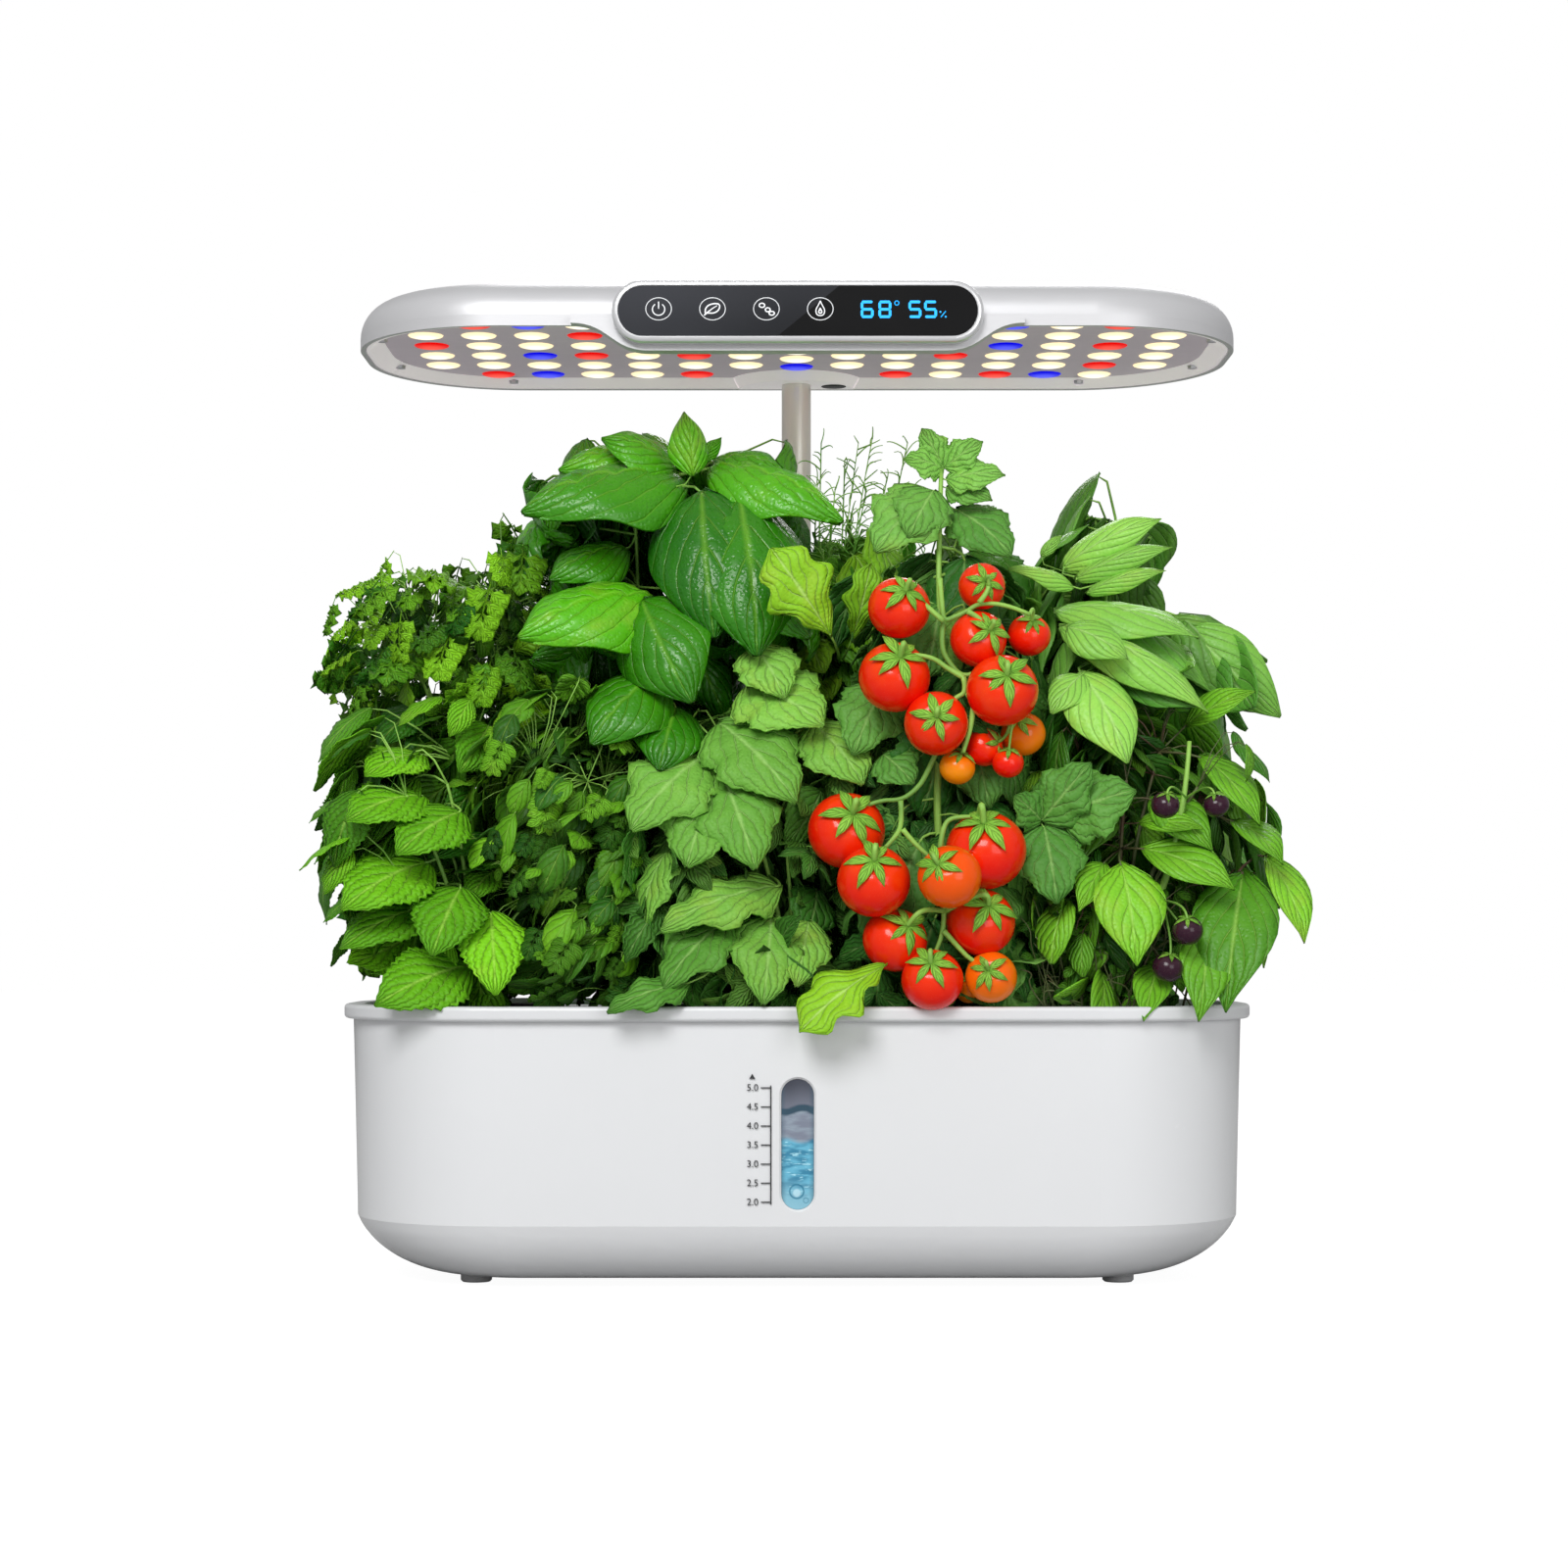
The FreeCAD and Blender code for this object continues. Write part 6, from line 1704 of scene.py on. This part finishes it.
        return [
            Plant(
                "plant_parsley", (a, rear),
                [Spray(CURLY, 4, 0.36, 1.0, 0.25, droop=0.3), Spray(CURLY, 3, 0.42, 1.1, 0.3, droop=0.2)],
                PARSLEY_SKIN, SOFT_STEM, (18, 38), 8.0, 16, tone=(0.0, 1.0), open_share=0.36, ragged=14.0,
                lumps=12.0,
            ),
            Plant(
                "plant_basil", (b, rear), [GLOSSY, CREASED], BASIL_SKIN, SOFT_STEM, (34, 60), 13.0, 10,
                tone=(0.0, 0.8), placed=basil,
            ),
            Plant(
                "plant_lettuce", (c, rear), [OAK, LOBED], LETTUCE_SKIN, SOFT_STEM, (26, 46), 11.0, 9,
                tone=(0.0, 1.0), placed=lettuce, placed_cut=OAK,
            ),
            Plant(
                "plant_rocket", (d, rear), [ROCKET, LOBED], ROCKET_SKIN, SOFT_STEM, (30, 54), 11.0, 10,
                tone=(0.1, 1.0),
            ),
            Plant(
                "plant_broad_basil", (e, rear), [BROAD], BROAD_SKIN, SOFT_STEM, (34, 66), 13.0, 10,
                tone=(0.1, 1.0), placed=broad,
            ),
            Plant(
                "plant_mint", (a, front), [SAWN], MINT_SKIN, SOFT_STEM, (20, 42), 10.0, 12, tone=(0.0, 1.0),
                placed=mint, open_share=0.2,
            ),
            Plant(
                "plant_thyme", (b, front), [SMALL, Spray(SMALL, 4, 0.42, 1.1, 0.2), SAWN], OREGANO_SKIN,
                SOFT_STEM, (10, 26), 6.0, 18, tone=(0.0, 1.0), thick=0.8, open_share=0.2, ragged=8.0,
            ),
            Plant(
                "plant_strawberry", (c, front), [Spray(TOOTHED, 1, 0.62, 1.15, 0.42), LOBED], BERRY_SKIN,
                SOFT_STEM, (26, 46), 10.0, 10, tone=(0.1, 1.0), placed=berry, placed_cut=LOBED,
            ),
            Plant(
                "plant_tomato", (d, front), [Spray(TOOTHED, 2, 0.5, 1.1, 0.3, droop=0.5), LOBED], VINE_SKIN,
                SOFT_STEM, (28, 58), 12.0, 8, tone=(0.0, 0.9), hang=0.8, placed=tomato, placed_cut=LOBED,
                vine=TOMATOES.vine,
            ),
            Plant(
                "plant_pepper", (e, front), [PLAIN, BROAD, SMALL], CAPSICUM_SKIN, WOODY_STEM, (16, 44),
                10.0, 14, tone=(0.0, 1.0), placed=pepper, placed_cut=PLAIN, open_share=0.22,
            ),
        ]

    def build(self, shop: Workshop) -> None:
        """Makes the plants, and keeps note of the listed leaves first.

        Args:
            shop: Where the pieces are finished.
        """
        plants = self.plants()
        for plant in plants:
            for leaf in plant.placed:
                base, tip = EYE.point(*leaf.base, leaf.depth[0]), EYE.point(*leaf.tip, leaf.depth[1])
                FRONT_LEAVES.append((base, tip, (tip - base).length * 0.26 * leaf.width))
        for plant in plants:
            plant.spin = random.Random(plant.node)
            plant.build(shop)


@dataclass
class Dill:
    """Feathery threads that rise behind the oak leaf, from the lettuce's sponge."""

    root: tuple[float, float] = (6.0, 30.0)
    spots: tuple[tuple[float, float], ...] = (
        (838, 452), (834, 490), (862, 470), (876, 452), (852, 500), (890, 448), (905, 488), (930, 500),
        (848, 530), (870, 520), (895, 545), (915, 575), (840, 560), (862, 590), (926, 452), (884, 500),
        (910, 530), (944, 560),
    )
    skin: Stalk = Stalk("feathery_dill_threads", (0.34, 0.66, 0.14), (0.16, 0.46, 0.05))

    def build(self, shop: Workshop) -> None:
        """Grows the stems and their threads.

        Args:
            shop: Where the pieces are finished.
        """
        spin = random.Random(3)
        wires = Wires(0)
        root = Vector((*self.root, DECK_TOP + 1.0))
        for px, py in self.spots:
            tip = EYE.point(px, py, spin.uniform(0.0, 34.0))
            knee = root.lerp(tip, 0.55) + Vector((spin.uniform(-6, 6), 0.0, 24.0))
            wires.add([root, knee, tip], (0.8, 0.28), steps=8)
            for i in range(22):
                t = 0.66 + 0.34 * i / 21.0
                base = root * (1 - t) ** 2 + knee * (2 * t * (1 - t)) + tip * t * t
                turn, reach = spin.uniform(0.0, 2.0 * math.pi), spin.uniform(7.0, 20.0) * (1.25 - 0.6 * t)
                out = Vector(
                    (math.cos(turn), 0.7 * math.sin(turn), spin.uniform(0.3, 1.6))
                ).normalized() * reach
                bow = Vector(
                    (spin.uniform(-0.3, 0.3), spin.uniform(-0.3, 0.3), spin.uniform(-0.1, 0.4))
                ) * reach
                wires.add(
                    [base, base + out * 0.5 + bow, base + out - Vector((0, 0, reach * 0.2))], (0.36, 0.2),
                    steps=3,
                )
                side = Vector(
                    (spin.uniform(-1, 1), spin.uniform(-1, 1), spin.uniform(0.0, 1.0))
                ) * reach * 0.4
                wires.add([base + out * 0.5 + bow * 0.5, base + out * 0.7 + side], (0.26, 0.18), steps=1)
        shop.piece("dill_threads", wires.mesh(), self.skin, "deck", "leaf_green")


@dataclass
class Tangle:
    """Fine dark stems with tiny leaves at the foot of the pepper plant."""

    low: tuple[float, float] = (1046.0, 900.0)
    high: tuple[float, float] = (1206.0, 1020.0)
    depth: tuple[float, float] = (-66.0, -50.0)
    count: int = 44
    leaves: int = 90

    def spot(self, spin: random.Random) -> Vector:
        """Picks a point in the patch.

        Args:
            spin: The source of chance.

        Returns:
            The point, in mm.
        """
        (x0, y0), (x1, y1) = self.low, self.high
        return EYE.point(spin.uniform(x0, x1), spin.uniform(y0, y1), spin.uniform(*self.depth))

    def build(self, shop: Workshop) -> None:
        """Winds the stems and sets their leaves.

        Args:
            shop: Where the pieces are finished.
        """
        spin = random.Random(21)
        wires, bundle, leaf = Wires(0), Bundle(), SMALL.build()
        for _ in range(self.count):
            start = self.spot(spin)
            root = Vector((start.x + spin.uniform(-14.0, 14.0), start.y + 8.0, DECK_TOP + 1.0))
            bow = Vector((spin.uniform(-14.0, 14.0), spin.uniform(-6.0, 2.0), spin.uniform(-4.0, 12.0)))
            wires.add([root, root.lerp(start, 0.6) + bow, start, start + bow], (0.45, 0.25), steps=4)
        for _ in range(self.leaves):
            spot = self.spot(spin)
            size = spin.uniform(5.0, 9.0)
            along = Vector((spin.uniform(-1, 1), spin.uniform(-0.8, 0.0), spin.uniform(-0.9, 0.5)))
            place = basis(spot, along, Vector((0.0, -1.0, 0.6)), Vector((size, size, size)))
            # The second number is painted shade.
            bundle.add(leaf, place, {"tone": (spin.random() * 0.5, spin.uniform(0.4, 0.9))})
        shop.piece("fine_stems", wires.mesh(), WOODY_STEM, "deck", "leaf_green")
        shop.piece("fine_stem_leaves", bundle.mesh("fine"), OREGANO_SKIN, "deck", "leaf_green")


# Lamp


@dataclass
class Lamp:
    """The hood's lights: a domed lens over every emitter."""

    dome: float = 1.3
    base_z: float = 423.2
    jack_reach: float = 6.0
    jack_ring: float = 6.0
    jack_sides: int = 32

    def lens(self) -> bpy.types.Mesh:
        """Makes one lens of unit radius, domed downwards, with a rim."""
        bm = bmesh.new()
        layer = bm.loops.layers.uv.new("lens")
        bmesh.ops.create_uvsphere(bm, u_segments=16, v_segments=8, radius=1.0)
        bmesh.ops.bisect_plane(
            bm, geom=bm.verts[:] + bm.edges[:] + bm.faces[:], plane_co=(0, 0, 0), plane_no=(0, 0, 1),
            clear_outer=True,
        )
        rim = [e for e in bm.edges if e.is_boundary]
        bmesh.ops.holes_fill(bm, edges=rim)
        for face in bm.faces:
            for loop in face.loops:
                loop[layer].uv = (math.hypot(loop.vert.co.x, loop.vert.co.y), 0.0)
        return meshed(bm, "lens")

    def build(self, shop: Workshop) -> None:
        """Puts a lens on every emitter.

        Args:
            shop: Where the pieces are finished.
        """
        lens = self.lens()
        for colour in ("white", "red", "blue"):
            node = f"leds_{colour}"
            bundle = Bundle()
            for middle, size in islands(node):
                radius = size.x / DISC_WIDTH
                place = Matrix.Translation(
                    (middle.x, middle.y, self.base_z)
                ) @ Matrix.Diagonal((radius, radius, self.dome, 1.0))
                bundle.add(lens, place)
            shop.piece(
                f"{node}_lenses", bundle.mesh(node), FINISHES[f"led_{colour}"], "lamp", f"led_{colour}",
                (node,),
            )
        shop.piece("power_jack_bezel", self.bezel(), FINISHES["jack_black"], "lamp", "jack_black")

    def bezel(self) -> bpy.types.Mesh:
        """Makes the black ring round the power jack's mouth, with its dished throat."""
        low, high = (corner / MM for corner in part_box("power_jack"))
        x, y = (low.x + high.x) / 2.0, (low.y + high.y) / 2.0
        boss = [v.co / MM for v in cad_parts["mast_boss"].data.vertices]
        mouth = min(p.z for p in boss if math.hypot(p.x - x, p.y - y) < self.jack_reach)
        bm = bmesh.new()
        bmesh.ops.create_circle(bm, cap_ends=True, segments=self.jack_sides, radius=self.jack_ring)
        bmesh.ops.inset_region(bm, faces=bm.faces[:], thickness=0.5, depth=0.5)
        top = [f for f in bm.faces if len(f.verts) == self.jack_sides]
        bmesh.ops.inset_region(bm, faces=top, thickness=1.0, depth=0.0)
        bmesh.ops.inset_region(bm, faces=top, thickness=0.3, depth=-0.45)
        wall = bmesh.ops.extrude_edge_only(bm, edges=[e for e in bm.edges if e.is_boundary])["geom"]
        verts = [v for v in wall if isinstance(v, bmesh.types.BMVert)]
        bmesh.ops.translate(bm, vec=(0.0, 0.0, -0.2), verts=verts)
        bmesh.ops.holes_fill(bm, edges=[e for e in bm.edges if e.is_boundary])
        bmesh.ops.recalc_face_normals(bm, faces=bm.faces[:])
        bmesh.ops.rotate(bm, verts=bm.verts, matrix=Matrix.Rotation(math.pi, 3, "X"))
        bmesh.ops.translate(bm, vec=(x, y, mouth), verts=bm.verts)
        return meshed(bm, "bezel")


@dataclass
class ControlPanel:
    """Touch symbols and the glowing readout on the front glass."""

    face_y: float = -91.6
    symbol_z: float = 423.8
    symbols: tuple[float, ...] = (671.0, 726.0, 781.0, 836.0)
    wide: float = 5.55
    high: float = 4.8
    digit: tuple[float, float] = (5.6, 7.5)
    stroke: float = 1.15
    relief: float = 0.24
    readout: tuple[tuple[float, str], ...] = ((29.8, "6"), (37.4, "8"), (50.3, "5"), (57.0, "5"))
    segments: dict[str, str] = field(default_factory=lambda: {"6": "afgedc", "8": "abcdefg", "5": "afgcd"})

    def bar(self, bm: bmesh.types.BMesh, x: float, z: float, size: tuple[float, float]) -> None:
        """Adds one flat bar with cut corners.

        Args:
            bm: The bmesh.
            x: The bar's middle from the left.
            z: The bar's middle height.
            size: Its width and height.
        """
        verts = bmesh.ops.create_cube(bm, size=1.0)["verts"]
        bmesh.ops.scale(bm, vec=(size[0], self.relief, size[1]), verts=verts)
        bmesh.ops.translate(bm, vec=(x, self.face_y, z), verts=verts)
        edges = dict.fromkeys(e for v in verts for e in v.link_edges)
        edges = [e for e in edges if abs((e.verts[0].co - e.verts[1].co).y) > 0.1]
        bmesh.ops.bevel(
            bm, geom=edges, offset=min(size) * 0.42, segments=2, profile=0.5, affect="EDGES",
            material=-1,
        )

    def figures(self) -> bpy.types.Mesh:
        """Makes the four seven-segment figures and their small marks."""
        bm = bmesh.new()
        (wide, high), bar = self.digit, self.stroke
        middle = {"a": (0.0, high / 2), "g": (0.0, 0.0), "d": (0.0, -high / 2)}
        middle |= {"f": (-wide / 2, high / 4), "b": (wide / 2, high / 4)}
        middle |= {"e": (-wide / 2, -high / 4), "c": (wide / 2, -high / 4)}
        for x, figure in self.readout:
            for name in self.segments[figure]:
                dx, dz = middle[name]
                flat = name in "agd"
                size = (wide - 1.0, bar) if flat else (bar, high / 2 - 0.9)
                dz *= 1.0 - bar / high
                dx *= 1.0 - bar / wide
                self.bar(bm, x + dx, self.symbol_z - 0.2 + dz, size)
        self.bar(bm, 61.2, self.symbol_z - 1.3, (0.8, 0.8))
        self.bar(bm, 63.5, self.symbol_z - 3.4, (0.8, 0.8))
        return meshed(bm, "figures")

    def marks(self) -> bpy.types.Mesh:
        """Makes the degree ring and the per cent stroke."""
        wires = Wires(1)
        wires.add(self.oval(42.5, self.symbol_z + 2.5, 0.95, 0.95, 10), (0.22, 0.22), True)
        wires.add(
            [(61.4, self.face_y, self.symbol_z - 3.6), (63.5, self.face_y, self.symbol_z - 1.0)],
            (0.25, 0.25),
        )
        return wires.mesh()

    def oval(self, x: float, z: float, rx: float, rz: float, count: int = 24) -> list[Point]:
        """Lists points round an oval on the glass."""
        turns = [2.0 * math.pi * i / count for i in range(count)]
        return [(x + rx * math.cos(t), self.face_y, z + rz * math.sin(t)) for t in turns]

    def signs(self) -> bpy.types.Mesh:
        """Makes the four ringed symbols: power, leaf, fruit and drop."""
        wires = Wires(0)
        y, z = self.face_y, self.symbol_z
        places = [EYE.point(px, 315.0, self.face_y).x for px in self.symbols]
        for x in places:
            wires.add(self.oval(x, z, self.wide, self.high, 28), (0.16, 0.16), True)
        power, leaf, fruit, drop = places
        turns = [0.6 + (2.0 * math.pi - 1.2) * i / 14 for i in range(15)]
        arc = [(power + 2.7 * math.sin(t), y, z - 0.2 + 2.6 * math.cos(t)) for t in turns]
        wires.add(arc, (0.24, 0.24))
        wires.add([(power, y, z + 3.1), (power, y, z)], (0.24, 0.24))
        blade = [(-3.2, -2.2), (-3.0, 0.6), (-0.6, 2.2), (3.2, 2.3), (3.0, -0.4), (0.6, -2.0), (-2.2, -1.7)]
        wires.add([(leaf + a, y, z + b) for a, b in blade], (0.3, 0.3), True)
        wires.add(
            [(leaf - 3.6, y, z - 2.8), (leaf - 0.8, y, z - 0.2), (leaf + 2.0, y, z + 1.4)], (0.34, 0.16)
        )
        for dx, dz, rx, rz in ((-1.9, 1.5, 1.25, 0.95), (0.6, -0.4, 1.1, 0.9), (2.3, -1.9, 1.2, 0.85)):
            wires.add(self.oval(fruit + dx, z + dz, rx, rz, 10), (0.28, 0.28), True)
        tear = [
            (0.0, 3.4), (0.0, 3.4), (0.9, 1.4), (2.0, -0.4), (1.7, -2.4), (0.0, -3.1), (-1.7, -2.4),
            (-2.0, -0.4), (-0.9, 1.4),
        ]
        wires.add([(drop + a, y, z + b) for a, b in tear], (0.24, 0.24), True)
        wires.add([(drop + a * 0.35, y, z - 0.9 + b * 0.35) for a, b in tear], (0.3, 0.3), True)
        return wires.mesh()

    def build(self, shop: Workshop) -> None:
        """Puts the symbols and the readout on the glass.

        Args:
            shop: Where the pieces are finished.
        """
        white = Lit("white_touch_print", (0.88, 0.90, 0.92), 0.55)
        blue = Lit("blue_readout", (0.0, 0.36, 0.92), 1.0)
        shop.piece("touch_symbols", self.signs(), white, "lamp", "panel_black")
        shop.piece("readout_figures", self.figures(), blue, "lamp", "panel_black", smooth=False)
        shop.piece("readout_marks", self.marks(), blue, "lamp", "panel_black")


# Tank front


@dataclass
class LevelScale:
    """The level scale beside the sight glass: a line, seven ticks with plain numbers, and a pointer."""

    wall_y: float = -83.0
    line_x: float = -11.6
    top: float = 89.1
    pitch: float = 8.25
    tick: float = 4.3
    lean: float = math.radians(1.25)
    middle: float = 64.5
    full: float = 5.0
    step: float = 0.5
    marks: int = 7
    relief: float = 0.16

    def build(self, shop: Workshop) -> None:
        """Prints the scale on the tank.

        Args:
            shop: Where the pieces are finished.
        """
        bm = bmesh.new()
        bottom = self.top - (self.marks - 1.0) * self.pitch
        bars = [(self.line_x, (self.top + bottom) / 2.0, 0.55, self.top - bottom + 2.0)]
        heights = [self.top - i * self.pitch for i in range(self.marks)]
        bars += [(self.line_x - self.tick / 2.0, height, self.tick, 0.5) for height in heights]
        for x, z, wide, high in bars:
            verts = bmesh.ops.create_cube(bm, size=1.0)["verts"]
            bmesh.ops.scale(bm, vec=(wide, self.relief, high), verts=verts)
            bmesh.ops.translate(bm, vec=(x, 0.0, z - self.middle), verts=verts)
        sizes = {"segments": 3, "radius1": 1.5, "radius2": 1.5, "depth": self.relief}
        pointer = bmesh.ops.create_cone(bm, cap_ends=True, **sizes)["verts"]
        bmesh.ops.rotate(bm, verts=pointer, matrix=Matrix.Rotation(math.radians(90.0), 3, "X"))
        bmesh.ops.translate(bm, vec=(self.line_x - 8.0, 0.0, self.top + 4.6 - self.middle), verts=pointer)
        bundle = Bundle()
        bundle.add(meshed(bm, "scale"), Matrix.Identity(4))
        for i, height in enumerate(heights):
            right = (self.line_x - self.tick - 1.0, 0.0, height - self.middle)
            bundle.add(self.number(f"{self.full - self.step * i:.1f}"), Matrix.Translation(right))
        mesh = bundle.mesh("scale")
        mesh.transform(
            Matrix.Translation((0.0, self.wall_y, self.middle)) @ Matrix.Rotation(self.lean, 4, "X")
        )
        ink = Lit("dark_grey_print", (0.035, 0.037, 0.04), 0.0)
        shop.piece("level_scale", mesh, ink, "tank", "tank_white", smooth=False)

    def number(self, text: str) -> bpy.types.Mesh:
        """Makes one plain number that stands upright, its right end at the origin."""
        curve = bpy.data.curves.new("number", "FONT")
        curve.body = text
        curve.size = 4.2
        curve.extrude = 0.08
        curve.align_x = "RIGHT"
        curve.align_y = "CENTER"
        curve.resolution_u = 3
        holder = bpy.data.objects.new("number", curve)
        bpy.context.scene.collection.objects.link(holder)
        shape = bpy.data.meshes.new_from_object(holder)
        bpy.data.objects.remove(holder)
        bm = bmesh.new()
        bm.from_mesh(shape)
        bmesh.ops.remove_doubles(bm, verts=bm.verts, dist=0.001)
        bmesh.ops.rotate(bm, verts=bm.verts, matrix=Matrix.Rotation(math.radians(90.0), 3, "X"))
        return meshed(bm, "number")


@dataclass
class Sponges:
    """The foam plugs that hold the plants in their baskets, and the pump's foam filter."""

    def build(self, shop: Workshop) -> None:
        """Makes the ten plugs, each with a dished crown, and the filter pad.

        Args:
            shop: Where the pieces are finished.
        """
        spin = random.Random(11)
        bm = bmesh.new()
        for middle, size in islands("grow_sponges"):
            radius = size.x / DISC_WIDTH
            ret = bmesh.ops.create_cone(
                bm, cap_ends=True, segments=24, radius1=radius * 0.82, radius2=radius, depth=size.z
            )
            verts = ret["verts"]
            faces = [f for f in dict.fromkeys(f for v in verts for f in v.link_faces) if f.normal.z > 0.9]
            inset = bmesh.ops.inset_region(bm, faces=faces, thickness=radius * 0.25, depth=0.4)
            inner = bmesh.ops.inset_region(bm, faces=faces, thickness=radius * 0.45, depth=-1.2)
            # A set has another order on each run, and the random draws below need a fixed one.
            crown = [v for f in inset["faces"] + inner["faces"] + faces for v in f.verts]
            everything = list(dict.fromkeys(crown + verts))
            for vert in everything:
                vert.co += Vector(
                    (spin.uniform(-0.3, 0.3), spin.uniform(-0.3, 0.3), spin.uniform(-0.2, 0.1))
                )
            bmesh.ops.translate(bm, vec=middle, verts=everything)
        piece = shop.piece(
            "grow_sponge_foam", meshed(bm), FINISHES["sponge_brown"], "deck", "sponge_brown",
            ("grow_sponges",),
        )
        middle, size = islands("intake_filter")[0]
        bm = bmesh.new()
        bmesh.ops.create_cube(bm, size=0.94)
        bmesh.ops.subdivide_edges(bm, edges=bm.edges[:], cuts=5, use_grid_fill=True)
        bmesh.ops.scale(bm, vec=size, verts=bm.verts)
        for vert in bm.verts:
            crown = Vector(tuple(1.0 - (2.0 * c / max(s, 0.1)) ** 2 for c, s in zip(vert.co, size)))
            vert.co *= 1.0 + 0.04 * min(crown)
            vert.co += Vector(
                (spin.uniform(-0.05, 0.05), spin.uniform(-0.05, 0.05), spin.uniform(-0.05, 0.05))
            )
        bmesh.ops.translate(bm, vec=middle, verts=bm.verts)
        pad = shop.piece(
            "intake_filter_foam", meshed(bm), FINISHES["filter_foam"], "tank", "filter_foam",
            ("intake_filter",),
        )


# Studio


@dataclass
class Studio:
    """A plain white floor and soft light."""

    floor: float = 6.0
    floor_grey: float = 0.40
    floor_glow: float = 1.48
    floor_white: float = 0.65
    sky_light: float = 0.42
    lamps: tuple[tuple[str, Point, Point, float, float], ...] = (
        ("key", (-0.5, -1.9, 1.5), (0.0, 0.0, 0.2), 0.9, 33.0),
        ("fill", (0.9, -1.8, 0.6), (0.0, 0.0, 0.2), 1.0, 9.0),
        ("back", (0.2, 1.4, 1.5), (0.0, 0.0, 0.3), 1.0, 17.0),
    )

    @staticmethod
    def seen(paint: Paint) -> Value:
        """Gives 1 for what the camera sees, also through glass, and 0 for light that falls on the part."""
        rays = paint.node("ShaderNodeLightPath", {}, {}).outputs
        through = Value(paint, rays["Is Transmission Ray"])
        return Value(paint, rays["Is Camera Ray"]).math("MAXIMUM", through)

    def world(self) -> None:
        """Makes the world: white to the camera, soft grey as light."""
        world = bpy.data.worlds.new("studio")
        bpy.context.scene.world = world
        world.use_nodes = True
        paint = Paint("studio", world)
        limits = {"Value": self.seen(paint), "To Min": self.sky_light, "To Max": 1.0}
        strength = paint.value("ShaderNodeMapRange", {}, limits)
        sky = paint.node("ShaderNodeBackground", {}, {"Color": (1.0, 1.0, 1.0, 1.0), "Strength": strength})
        paint.node("ShaderNodeOutputWorld", {}, {0: sky.outputs[0]})

    def ground(self) -> None:
        """Makes the floor, which is white to the camera and keeps a soft shadow."""
        bm = bmesh.new()
        bmesh.ops.create_grid(bm, x_segments=1, y_segments=1, size=self.floor)
        floor = bpy.data.objects.new("studio_floor", meshed(bm))
        paint = Paint("studio_floor")
        matt = paint.node("ShaderNodeBsdfDiffuse", {}, {"Color": (*[self.floor_grey] * 3, 1.0)})
        look = {"Color": (1.0, 1.0, 1.0, 1.0), "Strength": self.floor_glow}
        white = paint.node("ShaderNodeEmission", {}, look)
        mixed = {0: self.seen(paint) * self.floor_white, 1: matt.outputs[0], 2: white.outputs[0]}
        both = paint.node("ShaderNodeMixShader", {}, mixed)
        paint.node("ShaderNodeOutputMaterial", {}, {"Surface": both.outputs[0]})
        floor.data.materials.append(paint.material)
        bpy.context.scene.collection.objects.link(floor)

    def lamp(self, name: str, place: Point, target: Point, size: float, power: float) -> None:
        """Adds one soft box.

        Args:
            name: Its name.
            place: Where it stands, in metres.
            target: Where it points.
            size: Its side, in metres.
            power: Its power in watts.
        """
        data = bpy.data.lights.new(name, "AREA")
        data.shape = "SQUARE"
        data.size = size
        data.energy = power
        light = bpy.data.objects.new(name, data)
        light.location = place
        light.rotation_euler = (Vector(target) - Vector(place)).to_track_quat("-Z", "Y").to_euler()
        bpy.context.scene.collection.objects.link(light)

    def build(self) -> None:
        """Sets up the studio."""
        self.world()
        self.ground()
        for lamp in self.lamps:
            self.lamp(*lamp)
        bpy.context.scene.view_settings.view_transform = "Standard"


def dress_frame(shop: Workshop) -> None:
    """Gives every CAD node its finish.

    Args:
        shop: Where the finishes are made.
    """
    for name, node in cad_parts.items():
        for slot in node.material_slots:
            kind = slot.material.name.split(".")[0]
            slot.material = shop.material(FINISHES[kind])
        LOG.info("%s dressed", name)


def main() -> None:
    """Builds the scene."""
    logging.basicConfig(level=logging.INFO, format="%(name)s %(message)s")
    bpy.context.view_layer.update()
    shop = Workshop()
    EYE.build()
    Studio().build()
    dress_frame(shop)
    for fruit in (TOMATOES, PEPPERS):
        FRUITS.extend((middle, size.z / 2.0) for middle, size in islands(fruit.node))
    Bed().build(shop)
    Dill().build(shop)
    Tangle().build(shop)
    TOMATOES.build(shop)
    PEPPERS.build(shop)
    Lamp().build(shop)
    ControlPanel().build(shop)
    LevelScale().build(shop)
    Sponges().build(shop)


if __name__ == "__main__":
    main()
